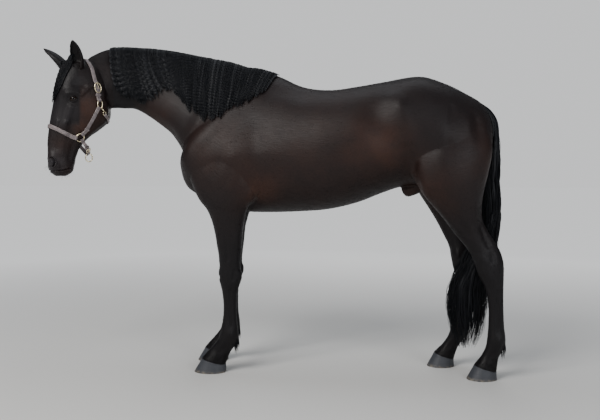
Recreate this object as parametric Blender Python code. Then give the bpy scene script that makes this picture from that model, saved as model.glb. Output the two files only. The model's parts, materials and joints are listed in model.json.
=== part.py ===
"""A black riding horse, standing square on, life size, in a leather halter.

The flesh is modelled whole: tapered lofts for the trunk, neck, head and legs
are fused, muscled by named swellings and grooves, thinned, and then parted by
thin cuts. Hair, hooves, ears, eyes and the halter are pieces of their own.

Metres, +Z up. The horse looks along -X and its left side is -Y. While it is
built, X = 0 is the middle of the back; at the end everything is moved so that
the origin is the middle of the bounding box's base.
"""

from math import cos, pi, radians, sin, sqrt

import bmesh
import bpy
import numpy as np
from mathutils import Matrix, Vector
from mathutils.bvhtree import BVHTree

GAP = 0.0003            # clearance between neighbouring solids
VOXEL = 0.010           # cell of the fused flesh before it is thinned
FLESH_FACES = 3900      # triangles of the whole flesh before it is parted
RING_POINTS = 28        # points round each loft

LEG_SPREAD = 0.13       # sideways distance of the cannons from the middle
ELBOW_CUT = 0.885       # height where the forelegs leave the trunk
STIFLE_CUT = 0.955      # height where the hind legs leave the trunk

NECK_BEND_START = -0.55  # where the neck begins to curve to the left
POLL_X = -1.16
POLL_Y = -0.17
NECK_BEND_POWER = 1.9
HEAD_TURN = radians(34.0)  # how far the face is turned to the left

EYE_RADIUS = 0.021
EYE_PLACE = (0.102, 0.085, 1.519)   # forward, sideways, height, from the poll
NOSTRIL_PLACE = (0.213, 0.047, 1.172)

STRAP_THICK = 0.004

# ---------------------------------------------------------------- finishes

COAT_BLACK = ((0.012, 0.010, 0.010), 0.45, 0.0)
HAIR_BLACK = ((0.008, 0.008, 0.011), 0.40, 0.0)
HORN_GREY = ((0.075, 0.075, 0.085), 0.55, 0.0)
EYE_BROWN = ((0.010, 0.006, 0.004), 0.08, 0.0)
HALTER_LEATHER = ((0.105, 0.080, 0.075), 0.55, 0.0)
PALE_BRASS = ((0.72, 0.62, 0.42), 0.28, 1.0)

# --------------------------------------------------------------- stations
# Each row is one ring: the name, the ring's two outline points in the XZ
# plane (first = top or front, second = bottom or back), its half width, where
# it is widest (0 at the second point, 1 at the first) and how square it is at
# the first and second point (2 is an ellipse, less is keener).

TRUNK = (
    ("breast tip", -0.658, 1.260, -0.656, 1.140, 0.060, 0.50, 2.0, 2.0),
    ("breast", -0.642, 1.360, -0.640, 1.060, 0.150, 0.45, 2.0, 2.0),
    ("shoulder point", -0.590, 1.450, -0.596, 1.004, 0.210, 0.45, 2.0, 2.0),
    ("shoulder", -0.500, 1.560, -0.508, 0.946, 0.238, 0.42, 1.8, 2.0),
    ("arm", -0.380, 1.650, -0.400, 0.908, 0.248, 0.40, 1.6, 1.9),
    ("fore withers", -0.260, 1.694, -0.285, 0.893, 0.258, 0.40, 1.5, 1.9),
    ("withers", -0.125, 1.664, -0.150, 0.892, 0.274, 0.43, 1.6, 2.0),
    ("back", 0.020, 1.600, 0.005, 0.898, 0.290, 0.45, 1.9, 2.1),
    ("saddle", 0.170, 1.580, 0.165, 0.912, 0.302, 0.46, 2.1, 2.2),
    ("loin", 0.320, 1.597, 0.325, 0.950, 0.298, 0.48, 2.1, 2.1),
    ("coupling", 0.460, 1.620, 0.460, 1.003, 0.284, 0.50, 2.1, 2.0),
    ("hip", 0.570, 1.640, 0.575, 1.040, 0.276, 0.56, 2.1, 2.0),
    ("croup", 0.680, 1.648, 0.690, 1.045, 0.270, 0.55, 2.1, 2.0),
    ("rump", 0.800, 1.612, 0.810, 1.030, 0.258, 0.50, 2.0, 2.0),
    ("haunch", 0.910, 1.560, 0.915, 1.040, 0.232, 0.46, 2.0, 2.0),
    ("dock", 0.990, 1.512, 1.000, 1.080, 0.190, 0.44, 2.0, 2.0),
    ("buttock", 1.040, 1.440, 1.042, 1.150, 0.140, 0.45, 2.0, 2.0),
    ("buttock tip", 1.060, 1.380, 1.060, 1.250, 0.060, 0.50, 2.0, 2.0),
)

NECK = (
    ("in the head", -1.180, 1.722, -1.120, 1.520, 0.050, 0.50, 2.0, 2.0),
    ("poll", -1.125, 1.776, -1.065, 1.480, 0.070, 0.50, 2.0, 2.0),
    ("throat", -1.045, 1.812, -1.000, 1.482, 0.077, 0.45, 1.8, 2.0),
    ("upper neck", -0.930, 1.814, -0.930, 1.478, 0.086, 0.44, 1.6, 2.0),
    ("middle neck", -0.800, 1.808, -0.857, 1.440, 0.100, 0.42, 1.5, 2.0),
    ("lower neck", -0.665, 1.786, -0.785, 1.386, 0.122, 0.40, 1.5, 2.0),
    ("neck root", -0.520, 1.756, -0.712, 1.322, 0.155, 0.40, 1.5, 2.1),
    ("before the blade", -0.380, 1.722, -0.645, 1.215, 0.188, 0.40, 1.5, 2.1),
    ("in the shoulder", -0.260, 1.680, -0.560, 1.110, 0.195, 0.42, 1.5, 2.0),
)

# The head's rows give forward distance from the poll in place of X.
HEAD = (
    ("crown", 0.075, 1.745, -0.020, 1.735, 0.030, 0.50, 2.0, 2.0),
    ("between the ears", 0.128, 1.715, -0.060, 1.700, 0.066, 0.50, 2.2, 2.0),
    ("temple", 0.156, 1.660, -0.095, 1.640, 0.086, 0.55, 2.4, 2.0),
    ("brow", 0.176, 1.590, -0.112, 1.570, 0.098, 0.55, 2.6, 2.0),
    ("eye", 0.188, 1.530, -0.118, 1.500, 0.101, 0.55, 2.7, 2.2),
    ("cheek", 0.199, 1.470, -0.118, 1.440, 0.095, 0.50, 2.6, 2.4),
    ("jowl", 0.210, 1.415, -0.098, 1.395, 0.087, 0.46, 2.5, 2.4),
    ("face", 0.219, 1.360, -0.048, 1.352, 0.077, 0.48, 2.4, 2.3),
    ("bars", 0.226, 1.305, 0.010, 1.305, 0.064, 0.52, 2.3, 2.2),
    ("chin groove", 0.230, 1.250, 0.052, 1.255, 0.054, 0.56, 2.2, 2.2),
    ("muzzle", 0.231, 1.200, 0.078, 1.208, 0.051, 0.60, 2.3, 2.3),
    ("nostrils", 0.228, 1.160, 0.094, 1.160, 0.055, 0.62, 2.4, 2.3),
    ("lips", 0.216, 1.122, 0.106, 1.126, 0.050, 0.56, 2.4, 2.3),
    ("lip tips", 0.190, 1.101, 0.135, 1.106, 0.030, 0.50, 2.2, 2.2),
)

# Legs add the ring's sideways place before its half width.
FORE_LEG = (
    ("shoulder", -0.560, 1.260, -0.220, 1.280, 0.165, 0.070, 0.50, 2.0, 2.0),
    ("upper arm", -0.590, 1.100, -0.205, 1.120, 0.165, 0.088, 0.50, 2.0, 2.0),
    ("elbow", -0.550, 0.980, -0.228, 0.985, 0.160, 0.086, 0.50, 2.0, 2.0),
    ("arm root", -0.500, 0.910, -0.272, 0.910, 0.153, 0.077, 0.50, 2.0, 2.0),
    ("forearm", -0.467, 0.820, -0.297, 0.820, 0.146, 0.067, 0.50, 2.0, 2.0),
    ("low forearm", -0.448, 0.700, -0.309, 0.700, 0.138, 0.055, 0.50, 2.0, 2.0),
    ("above the knee", -0.440, 0.610, -0.318, 0.610, 0.133, 0.049, 0.52, 2.1, 2.0),
    ("knee", -0.440, 0.550, -0.314, 0.545, 0.130, 0.052, 0.55, 2.3, 1.8),
    ("low knee", -0.436, 0.505, -0.318, 0.510, 0.130, 0.048, 0.55, 2.3, 1.8),
    ("below the knee", -0.426, 0.455, -0.336, 0.455, 0.130, 0.036, 0.55, 2.1, 2.0),
    ("cannon", -0.418, 0.380, -0.342, 0.380, 0.130, 0.031, 0.55, 2.1, 2.0),
    ("low cannon", -0.422, 0.300, -0.341, 0.300, 0.130, 0.033, 0.55, 2.1, 2.0),
    ("fetlock", -0.438, 0.225, -0.333, 0.225, 0.130, 0.043, 0.55, 2.1, 2.0),
    ("ergot", -0.455, 0.180, -0.336, 0.175, 0.130, 0.042, 0.55, 2.0, 1.8),
    ("pastern", -0.492, 0.135, -0.375, 0.120, 0.130, 0.036, 0.55, 2.0, 2.0),
    ("low pastern", -0.522, 0.100, -0.396, 0.078, 0.130, 0.046, 0.55, 2.0, 2.1),
    ("coronet", -0.540, 0.078, -0.408, 0.045, 0.130, 0.054, 0.55, 2.0, 2.2),
)

HIND_LEG = (
    ("thigh", 0.600, 1.320, 1.020, 1.380, 0.130, 0.095, 0.50, 2.0, 2.0),
    ("low thigh", 0.598, 1.190, 1.046, 1.250, 0.150, 0.116, 0.50, 2.0, 2.0),
    ("stifle", 0.636, 1.080, 1.026, 1.120, 0.156, 0.116, 0.50, 2.0, 1.9),
    ("below the stifle", 0.694, 0.990, 1.004, 1.015, 0.152, 0.104, 0.50, 2.0, 1.8),
    ("gaskin", 0.755, 0.915, 0.996, 0.935, 0.146, 0.086, 0.52, 2.0, 1.7),
    ("middle gaskin", 0.806, 0.852, 1.002, 0.868, 0.141, 0.071, 0.54, 2.0, 1.6),
    ("low gaskin", 0.853, 0.790, 1.028, 0.815, 0.136, 0.058, 0.56, 2.0, 1.6),
    ("above the hock", 0.905, 0.728, 1.066, 0.756, 0.132, 0.050, 0.60, 2.1, 1.6),
    ("hock top", 0.943, 0.680, 1.100, 0.698, 0.130, 0.050, 0.60, 2.1, 1.7),
    ("hock", 0.962, 0.625, 1.118, 0.632, 0.130, 0.053, 0.58, 2.2, 1.8),
    ("low hock", 0.982, 0.565, 1.120, 0.563, 0.130, 0.048, 0.58, 2.2, 1.8),
    ("below the hock", 1.014, 0.505, 1.119, 0.497, 0.130, 0.038, 0.55, 2.1, 2.0),
    ("cannon", 1.036, 0.410, 1.120, 0.410, 0.130, 0.032, 0.55, 2.1, 2.0),
    ("low cannon", 1.039, 0.300, 1.124, 0.300, 0.130, 0.034, 0.55, 2.1, 2.0),
    ("fetlock", 1.034, 0.220, 1.133, 0.225, 0.130, 0.043, 0.55, 2.1, 2.0),
    ("ergot", 1.026, 0.175, 1.128, 0.178, 0.130, 0.041, 0.55, 2.0, 1.8),
    ("pastern", 1.006, 0.132, 1.098, 0.122, 0.130, 0.036, 0.55, 2.0, 2.0),
    ("low pastern", 0.984, 0.100, 1.090, 0.078, 0.130, 0.045, 0.55, 2.0, 2.1),
    ("coronet", 0.968, 0.078, 1.086, 0.045, 0.130, 0.052, 0.55, 2.0, 2.2),
)

# How far the right hind leg stands ahead of the left one: height, distance.
HIND_STEP = ((1.40, 0.0), (1.05, 0.0), (0.80, 0.050), (0.65, 0.100), (0.50, 0.118),
             (0.35, 0.150), (0.15, 0.184), (0.05, 0.205), (0.0, 0.210))
# The right foreleg stands this much ahead of the left one at the ground.
FORE_STEP = ((1.40, 0.0), (1.05, 0.018), (0.80, 0.038), (0.0, 0.040))

SHEATH = (
    ("front", 0.560, 1.060, 0.575, 1.000, 0.030, 0.50, 2.0, 2.0),
    ("opening", 0.590, 1.060, 0.612, 0.984, 0.042, 0.50, 2.0, 2.0),
    ("back", 0.680, 1.080, 0.690, 1.012, 0.045, 0.50, 2.0, 2.0),
    ("root", 0.800, 1.100, 0.800, 1.045, 0.035, 0.50, 2.0, 2.0),
)

# Swellings (+) and grooves (-): name, start, end, radius, height. They lie
# along the line from start to end and are made on both sides.
BODY_FORMS = (
    ("shoulder point", (-0.610, 0.200, 1.230), (-0.620, 0.190, 1.180), 0.070, 0.012),
    ("triceps", (-0.340, 0.250, 1.200), (-0.300, 0.240, 1.060), 0.090, 0.020),
    ("behind the triceps", (-0.215, 0.250, 1.340), (-0.190, 0.240, 1.000), 0.045, -0.012),
    ("blade spine", (-0.230, 0.150, 1.560), (-0.520, 0.220, 1.300), 0.045, 0.007),
    ("before the blade", (-0.500, 0.180, 1.460), (-0.640, 0.180, 1.270), 0.040, -0.012),
    ("breast muscle", (-0.640, 0.085, 1.170), (-0.605, 0.090, 1.060), 0.060, 0.014),
    ("between the breasts", (-0.685, 0.000, 1.250), (-0.640, 0.000, 1.040), 0.028, -0.014),
    ("withers hollow", (-0.120, 0.110, 1.560), (0.020, 0.130, 1.540), 0.060, -0.008),
    ("hip point", (0.520, 0.245, 1.530), (0.540, 0.250, 1.500), 0.050, 0.012),
    ("flank hollow", (0.420, 0.260, 1.420), (0.480, 0.260, 1.330), 0.075, -0.014),
    ("rump muscle", (0.640, 0.170, 1.580), (0.800, 0.170, 1.540), 0.100, 0.012),
    ("croup groove", (0.640, 0.000, 1.660), (0.960, 0.000, 1.540), 0.035, -0.008),
    ("thigh", (0.780, 0.250, 1.300), (0.760, 0.240, 1.120), 0.110, 0.016),
    ("thigh groove", (0.960, 0.190, 1.430), (0.960, 0.190, 1.060), 0.030, -0.009),
    ("stifle", (0.690, 0.230, 1.050), (0.700, 0.220, 1.010), 0.050, 0.012),
    ("flank fold", (0.590, 0.240, 1.250), (0.640, 0.200, 1.060), 0.035, -0.014),
    ("girth line", (-0.280, 0.120, 0.930), (-0.240, 0.160, 0.960), 0.050, -0.010),
)

# The same, in the head's own directions: forward, sideways, height.
HEAD_FORMS = (
    ("eye rim", (0.138, 0.090, 1.549), (0.088, 0.094, 1.551), 0.022, 0.010),
    ("hollow above the eye", (0.090, 0.085, 1.594), (0.068, 0.085, 1.582), 0.024, -0.008),
    ("face crest", (0.120, 0.092, 1.470), (0.150, 0.075, 1.370), 0.018, 0.008),
    ("under the crest", (0.110, 0.082, 1.390), (0.120, 0.070, 1.320), 0.026, -0.008),
    ("cheek muscle", (0.010, 0.085, 1.460), (-0.020, 0.085, 1.430), 0.065, 0.007),
    ("behind the jaw", (-0.130, 0.070, 1.560), (-0.130, 0.070, 1.480), 0.035, -0.012),
    ("beside the nose", (0.195, 0.060, 1.330), (0.200, 0.052, 1.260), 0.026, -0.007),
    ("nostril rim", (0.222, 0.050, 1.195), (0.200, 0.058, 1.160), 0.018, 0.009),
    ("chin", (0.104, 0.000, 1.175), (0.112, 0.000, 1.150), 0.026, 0.007),
    ("lower jaw channel", (-0.010, 0.000, 1.320), (0.060, 0.000, 1.250), 0.020, -0.010),
)


# ------------------------------------------------------------------ tools

def clear_scene():
    """Remove every object the file starts with."""
    for obj in list(bpy.data.objects):
        bpy.data.objects.remove(obj, do_unlink=True)


def finish(name, look):
    """A Principled material from a colour, a roughness and a metallic value."""
    colour, roughness, metallic = look
    material = bpy.data.materials.new(name)
    material.use_nodes = True
    shader = material.node_tree.nodes["Principled BSDF"]
    shader.inputs["Base Color"].default_value = (*colour, 1.0)
    shader.inputs["Roughness"].default_value = roughness
    shader.inputs["Metallic"].default_value = metallic
    return material


def new_object(name, mesh):
    """Link a mesh to the scene as a named object."""
    obj = bpy.data.objects.new(name, mesh)
    bpy.context.scene.collection.objects.link(obj)
    return obj


def mesh_from(name, points, faces):
    """A mesh with outward faces from points and faces."""
    mesh = bpy.data.meshes.new(name)
    mesh.from_pydata([tuple(p) for p in points], [], faces)
    shape = bmesh.new()
    shape.from_mesh(mesh)
    bmesh.ops.recalc_face_normals(shape, faces=shape.faces)
    shape.to_mesh(mesh)
    shape.free()
    return mesh


def baked(obj):
    """Replace an object's mesh by its evaluated one and drop its modifiers."""
    depsgraph = bpy.context.evaluated_depsgraph_get()
    mesh = bpy.data.meshes.new_from_object(obj.evaluated_get(depsgraph))
    obj.modifiers.clear()
    obj.data = mesh
    return obj


def cut(obj, cutter, operation="DIFFERENCE"):
    """Apply an exact Boolean of obj with cutter."""
    modifier = obj.modifiers.new(operation.lower(), "BOOLEAN")
    modifier.operation = operation
    modifier.solver = "EXACT"
    modifier.object = cutter
    return baked(obj)


def discard(*objects):
    """Remove helper solids that are not part of the horse."""
    for obj in objects:
        bpy.data.objects.remove(obj, do_unlink=True)


def copy_of(obj, name):
    """A second object with its own copy of a mesh."""
    return new_object(name, obj.data.copy())


def grown(obj, distance):
    """A copy of a solid, swollen along its normals."""
    swollen = copy_of(obj, obj.name + " grown")
    mesh = swollen.data
    shape = bmesh.new()
    shape.from_mesh(mesh)
    bmesh.ops.remove_doubles(shape, verts=shape.verts, dist=1e-6)
    shape.normal_update()
    moves = [v.normal * distance * min(v.calc_shell_factor(), 2.0) for v in shape.verts]
    for vertex, move in zip(shape.verts, moves):
        vertex.co += move
    shape.to_mesh(mesh)
    shape.free()
    return swollen


def largest_part(obj):
    """Keep only the biggest connected piece of an object's mesh."""
    shape = bmesh.new()
    shape.from_mesh(obj.data)
    bmesh.ops.remove_doubles(shape, verts=shape.verts, dist=1e-6)
    unseen = set(shape.verts)
    islands = []
    while unseen:
        stack = [unseen.pop()]
        island = list(stack)
        while stack:
            for edge in stack.pop().link_edges:
                for vertex in edge.verts:
                    if vertex in unseen:
                        unseen.remove(vertex)
                        stack.append(vertex)
                        island.append(vertex)
        islands.append(island)
    islands.sort(key=len, reverse=True)
    spare = [vertex for island in islands[1:] for vertex in island]
    bmesh.ops.delete(shape, geom=spare, context="VERTS")
    bmesh.ops.triangulate(shape, faces=shape.faces)
    bmesh.ops.dissolve_degenerate(shape, edges=shape.edges, dist=1e-5)
    shape.to_mesh(obj.data)
    shape.free()
    return obj


def smooth_between(rows, steps):
    """Catmull-Rom curve through rows of numbers, with steps to each span."""
    rows = np.asarray(rows, dtype=float)
    ends = np.vstack([2 * rows[0] - rows[1], rows, 2 * rows[-1] - rows[-2]])
    curve = []
    for i in range(len(rows) - 1):
        before, start, stop, after = ends[i:i + 4]
        for step in range(steps):
            t = step / steps
            curve.append(0.5 * (2 * start + (stop - before) * t
                                + (2 * before - 5 * start + 4 * stop - after) * t * t
                                + (3 * start - before - 3 * stop + after) * t ** 3))
    curve.append(rows[-1])
    return np.array(curve)


def ramp(table, value):
    """Read a table of (position, amount) rows, with straight runs between them."""
    rows = sorted(table)
    return float(np.interp(value, [row[0] for row in rows], [row[1] for row in rows]))


def loft_mesh(name, rings, flat_ends=False):
    """A closed mesh through rings of equal length, its ends fanned or flat."""
    rings = np.asarray(rings)
    count, around = rings.shape[:2]
    points = list(rings.reshape(-1, 3))
    faces = []
    for i in range(count - 1):
        for j in range(around):
            k = (j + 1) % around
            faces.append((i * around + j, i * around + k,
                          (i + 1) * around + k, (i + 1) * around + j))
    for ring_start, ring in ((0, rings[0]), ((count - 1) * around, rings[-1])):
        if flat_ends:
            faces.append(tuple(range(ring_start, ring_start + around)))
            continue
        centre = len(points)
        points.append(ring.mean(axis=0))
        for j in range(around):
            faces.append((ring_start + j, ring_start + (j + 1) % around, centre))
    return mesh_from(name, points, faces)


# -------------------------------------------------------- places and turns

def bend_offset(x):
    """Sideways shift of the neck's middle line at a place along X."""
    reach = max(0.0, NECK_BEND_START - x) / (NECK_BEND_START - POLL_X)
    return POLL_Y * reach ** NECK_BEND_POWER


def bend_turn(x):
    """Angle of the neck's middle line at a place along X."""
    step = 0.01
    return -(bend_offset(x + step) - bend_offset(x - step)) / (2 * step)


def head_point(forward, side, height):
    """A place on the head, as the world sees it. Side is + to the left."""
    return Vector((POLL_X - forward * cos(HEAD_TURN) + side * sin(HEAD_TURN),
                   POLL_Y - forward * sin(HEAD_TURN) - side * cos(HEAD_TURN),
                   height))


def head_direction(forward, side, height):
    """A direction on the head, as the world sees it."""
    return head_point(forward, side, height) - head_point(0.0, 0.0, 0.0)


def section(row, around=RING_POINTS):
    """Offsets along (0 to 1) and across (metres) for one ring of a loft."""
    half_width, widest, square_first, square_second = row
    pairs = []
    for j in range(around):
        angle = 2 * pi * j / around
        c, s = cos(angle), sin(angle)
        power = 2.0 / (square_first if c > 0 else square_second)
        reach = abs(c) ** power
        along = widest + (1 - widest) * reach if c > 0 else widest * (1 - reach)
        across = half_width * (1 if s > 0 else -1) * abs(s) ** power
        pairs.append((along, across))
    return pairs


# ---------------------------------------------------------------- the flesh

def trunk_loft(table, name):
    """A loft along the body's middle plane."""
    rings = []
    for row in smooth_between([r[1:] for r in table], 3):
        first = np.array((row[0], 0.0, row[1]))
        second = np.array((row[2], 0.0, row[3]))
        rings.append([second + (first - second) * along + np.array((0.0, across, 0.0))
                      for along, across in section(row[4:])])
    return loft_mesh(name, rings)


def neck_loft():
    """The neck, curving to the left towards the head."""
    rings = []
    for row in smooth_between([r[1:] for r in NECK], 3):
        ring = []
        for along, across in section(row[4:]):
            x = row[2] + (row[0] - row[2]) * along
            z = row[3] + (row[1] - row[3]) * along
            turn = bend_turn(x)
            scale = 1.0 / sqrt(1.0 + turn * turn)
            ring.append((x - across * turn * scale, bend_offset(x) + across * scale, z))
        rings.append(ring)
    return loft_mesh("neck loft", rings)


def head_loft():
    """The head, in its own turned directions."""
    rings = []
    for row in smooth_between([r[1:] for r in HEAD], 3):
        ring = []
        for along, across in section(row[4:]):
            forward = row[2] + (row[0] - row[2]) * along
            height = row[3] + (row[1] - row[3]) * along
            ring.append(tuple(head_point(forward, across, height)))
        rings.append(ring)
    return loft_mesh("head loft", rings)


def leg_loft(table, side, step_table, name):
    """A leg from its table. Side is -1 for the left and +1 for the right."""
    rings = []
    for row in smooth_between([r[1:] for r in table], 3):
        ring = []
        for along, across in section(row[5:]):
            x = row[2] + (row[0] - row[2]) * along
            z = row[3] + (row[1] - row[3]) * along
            if side > 0:
                x -= ramp(step_table, z)
            ring.append((x, side * row[4] + across, z))
        rings.append(ring)
    return loft_mesh(name, rings)


def neighbour_average(points, edges):
    """The mean place of each point's neighbours."""
    total = np.zeros_like(points)
    np.add.at(total, edges[:, 0], points[edges[:, 1]])
    np.add.at(total, edges[:, 1], points[edges[:, 0]])
    count = np.bincount(edges.ravel(), minlength=len(points)).astype(float)
    return total / np.maximum(count, 1.0)[:, None]


def relax(obj, rounds, ease=0.5, swell=-0.52):
    """Smooth a mesh without shrinking it."""
    mesh = obj.data
    points = np.empty(len(mesh.vertices) * 3)
    mesh.vertices.foreach_get("co", points)
    points = points.reshape(-1, 3)
    edges = np.empty(len(mesh.edges) * 2, dtype=np.int64)
    mesh.edges.foreach_get("vertices", edges)
    edges = edges.reshape(-1, 2)
    for _ in range(rounds):
        for amount in (ease, swell):
            points += amount * (neighbour_average(points, edges) - points)
    mesh.vertices.foreach_set("co", points.ravel())
    mesh.update()


def shape_forms(obj):
    """Raise the swellings and press in the grooves of the body and head."""
    mesh = obj.data
    count = len(mesh.vertices)
    points = np.empty(count * 3)
    normals = np.empty(count * 3)
    mesh.vertices.foreach_get("co", points)
    mesh.vertices.foreach_get("normal", normals)
    points = points.reshape(-1, 3)
    normals = normals.reshape(-1, 3)
    lines = []
    for _, start, end, radius, height in BODY_FORMS:
        for side in (-1, 1) if start[1] else (1,):
            flip = Vector((1.0, side, 1.0))
            lines.append((Vector(start) * flip, Vector(end) * flip, radius, height))
    for _, start, end, radius, height in HEAD_FORMS:
        for side in (-1, 1) if start[1] else (1,):
            ends = [head_point(p[0], side * p[1], p[2]) for p in (start, end)]
            lines.append((ends[0], ends[1], radius, height))
    amount = np.zeros(count)
    for start, end, radius, height in lines:
        a, b = np.array(start), np.array(end)
        run = b - a
        share = np.clip((points - a) @ run / max(run @ run, 1e-9), 0.0, 1.0)
        distance = np.linalg.norm(points - a - share[:, None] * run, axis=1)
        amount += height * np.exp(-(distance / radius) ** 2)
    points += normals * amount[:, None]
    mesh.vertices.foreach_set("co", points.ravel())
    mesh.update()


def make_flesh():
    """The horse's body, head and legs as one closed thinned mesh."""
    meshes = [trunk_loft(TRUNK, "trunk loft"), trunk_loft(SHEATH, "sheath loft"),
              neck_loft(), head_loft()]
    for side in (-1, 1):
        meshes.append(leg_loft(FORE_LEG, side, FORE_STEP, "fore loft"))
        meshes.append(leg_loft(HIND_LEG, side, HIND_STEP, "hind loft"))
    together = bmesh.new()
    for mesh in meshes:
        together.from_mesh(mesh)
    whole = bpy.data.meshes.new("flesh")
    together.to_mesh(whole)
    together.free()
    flesh = new_object("flesh", whole)
    remesh = flesh.modifiers.new("fuse", "REMESH")
    remesh.mode = "VOXEL"
    remesh.voxel_size = VOXEL
    baked(flesh)
    relax(flesh, 6)
    shape_forms(flesh)
    relax(flesh, 2)
    thin = flesh.modifiers.new("thin", "DECIMATE")
    triangles = sum(len(face.vertices) - 2 for face in flesh.data.polygons)
    thin.ratio = FLESH_FACES / triangles
    thin.use_collapse_triangulate = True
    baked(flesh)
    return largest_part(flesh)


def slab(name, centre, forward, up, size):
    """A box cutter: its centre, two of its directions and its full size."""
    shape = bmesh.new()
    bmesh.ops.create_cube(shape, size=1.0)
    ahead = Vector(forward).normalized()
    side = Vector(up).cross(ahead).normalized()
    top = ahead.cross(side)
    turn = Matrix((ahead, side, top)).transposed()
    for vertex in shape.verts:
        local = Vector(c * s for c, s in zip(vertex.co, size))
        vertex.co = Vector(centre) + turn @ local
    mesh = bpy.data.meshes.new(name)
    shape.to_mesh(mesh)
    shape.free()
    return new_object(name, mesh)


def half_space(name, point, direction, gap=0.0):
    """A large box whose near face passes through a point, facing back."""
    reach = 3.0
    ahead = Vector(direction).normalized()
    up = (0.0, 1.0, 0.0) if abs(ahead.y) < 0.7 else (0.0, 0.0, 1.0)
    centre = Vector(point) + ahead * (reach / 2 - gap)
    return slab(name, centre, ahead, up, (reach, reach, reach))


def part_off(body, name, point, direction):
    """Split a body by a plane: what lies ahead becomes a new object."""
    ahead = half_space("ahead", point, direction)
    piece = cut(copy_of(body, name), ahead, "INTERSECT")
    discard(ahead)
    behind = half_space("ahead and gap", point, direction, GAP)
    cut(body, behind)
    discard(behind)
    return piece


def leg_region(name, fore, side, top, gap=0.0):
    """A box round one leg, up to its cut."""
    x_low, x_high = (-1.0, 0.2) if fore else (0.63, 1.6)
    centre = ((x_low + x_high) / 2, side * 0.3, top / 2 - 0.3 + gap / 2)
    size = (x_high - x_low, 0.6, top + 0.6 + gap)
    return slab(name, centre, (1.0, 0.0, 0.0), (0.0, 0.0, 1.0), size)


def hoof_top_plane(fore, side):
    """A point and the upward direction of a hoof's coronet plane."""
    table = FORE_LEG if fore else HIND_LEG
    step = (FORE_STEP if fore else HIND_STEP) if side > 0 else ((0.0, 0.0), (2.0, 0.0))
    front = Vector((table[-1][1] - ramp(step, table[-1][2]), 0.0, table[-1][2]))
    back = Vector((table[-1][3] - ramp(step, table[-1][4]), 0.0, table[-1][4]))
    middle = (front + back) / 2 + Vector((0.0, side * LEG_SPREAD, 0.0))
    along = (front - back).normalized()
    return middle, Vector((along.z, 0.0, -along.x)), front, back


def part_flesh(flesh):
    """Cut the flesh into head, neck, trunk and legs."""
    pieces = {}
    throat = (-1.085, -0.140, 1.600)
    pieces["head"] = part_off(flesh, "head", throat, (-cos(0.52), -sin(0.52), -0.20))
    root = (-0.510, 0.0, 1.500)
    pieces["neck"] = part_off(flesh, "neck", root, (-0.79, 0.0, 0.61))
    for fore, top, word in ((True, ELBOW_CUT, "fore"), (False, STIFLE_CUT, "hind")):
        for side, hand in ((-1, "left"), (1, "right")):
            name = f"leg_{word}_{hand}"
            region = leg_region("region", fore, side, top)
            leg = cut(copy_of(flesh, name), region, "INTERSECT")
            discard(region)
            point, up, _, _ = hoof_top_plane(fore, side)
            below = half_space("below", point, -up)
            cut(leg, below)
            discard(below)
            pieces[name] = leg
    for fore, top in ((True, ELBOW_CUT), (False, STIFLE_CUT)):
        for side in (-1, 1):
            region = leg_region("region", fore, side, top, GAP)
            cut(flesh, region)
            discard(region)
    flesh.name = "trunk"
    pieces["trunk"] = flesh
    for piece in pieces.values():
        largest_part(piece)
    return pieces


# ------------------------------------------------------------ hooves, eyes

def make_hoof(name, fore, side):
    """A hoof: flat sole, sloping wall, and a top on the coronet plane."""
    point, up, front, back = hoof_top_plane(fore, side)
    toe_slope = 0.60 if fore else 0.54      # run of the wall for each metre of rise
    heel_slope = 0.12
    half_top = FORE_LEG[-1][6] if fore else HIND_LEG[-1][6]
    half_sole = half_top * 1.24
    spread = side * LEG_SPREAD
    around = 16
    rings = []
    for level in (1.0, 0.10, 0.0):
        ring = []
        for j in range(around):
            angle = 2 * pi * j / around
            c, s = cos(angle), sin(angle)
            share = (1.0 + c) / 2
            top = back + (front - back) * share - up * GAP
            x_low = top.x - top.z * (toe_slope * share) + top.z * heel_slope * (1 - share)
            swell = 0.985 if level == 0.0 else 1.0
            half = half_sole + (half_top - half_sole) * level
            middle_low = (front.x + back.x) / 2 - front.z * toe_slope / 2
            x = x_low + (top.x - x_low) * level
            x = middle_low + (x - middle_low) * swell
            ring.append((x, spread + half * swell * s * (1.0 + 0.10 * c), top.z * level))
        rings.append(ring)
    return new_object(name, loft_mesh(name, rings))


def ball(name, centre, radii, turn=None, segments=12):
    """An ellipsoid, for an eye or for a hollow."""
    shape = bmesh.new()
    bmesh.ops.create_uvsphere(shape, u_segments=segments, v_segments=segments // 2 + 1,
                              radius=1.0)
    for vertex in shape.verts:
        local = Vector(c * r for c, r in zip(vertex.co, radii))
        vertex.co = Vector(centre) + ((turn @ local) if turn else local)
    mesh = bpy.data.meshes.new(name)
    shape.to_mesh(mesh)
    shape.free()
    return new_object(name, mesh)


def head_frame():
    """Rotation from the head's forward, sideways and up to the world's axes."""
    columns = (head_direction(1, 0, 0), head_direction(0, 1, 0), Vector((0, 0, 1)))
    return Matrix(columns).transposed()


def set_eyes_and_nostrils(head):
    """Sink the eyes in the head and hollow the nostrils. Returns the eyes."""
    eyes = []
    for side, hand in ((1, "left"), (-1, "right")):
        place = head_point(EYE_PLACE[0], side * EYE_PLACE[1], EYE_PLACE[2])
        socket = ball("socket", place, [EYE_RADIUS + GAP] * 3)
        cut(head, socket)
        discard(socket)
        eyes.append(ball(f"eye_{hand}", place, [EYE_RADIUS] * 3))
        mouth = head_point(NOSTRIL_PLACE[0], side * NOSTRIL_PLACE[1], NOSTRIL_PLACE[2])
        lean = Matrix.Rotation(radians(-28.0), 3, "Y")
        hollow = ball("hollow", mouth, (0.009, 0.013, 0.019), head_frame() @ lean, 8)
        cut(head, hollow)
        discard(hollow)
    largest_part(head)
    return eyes


# ---------------------------------------------------------------- the ears

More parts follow.
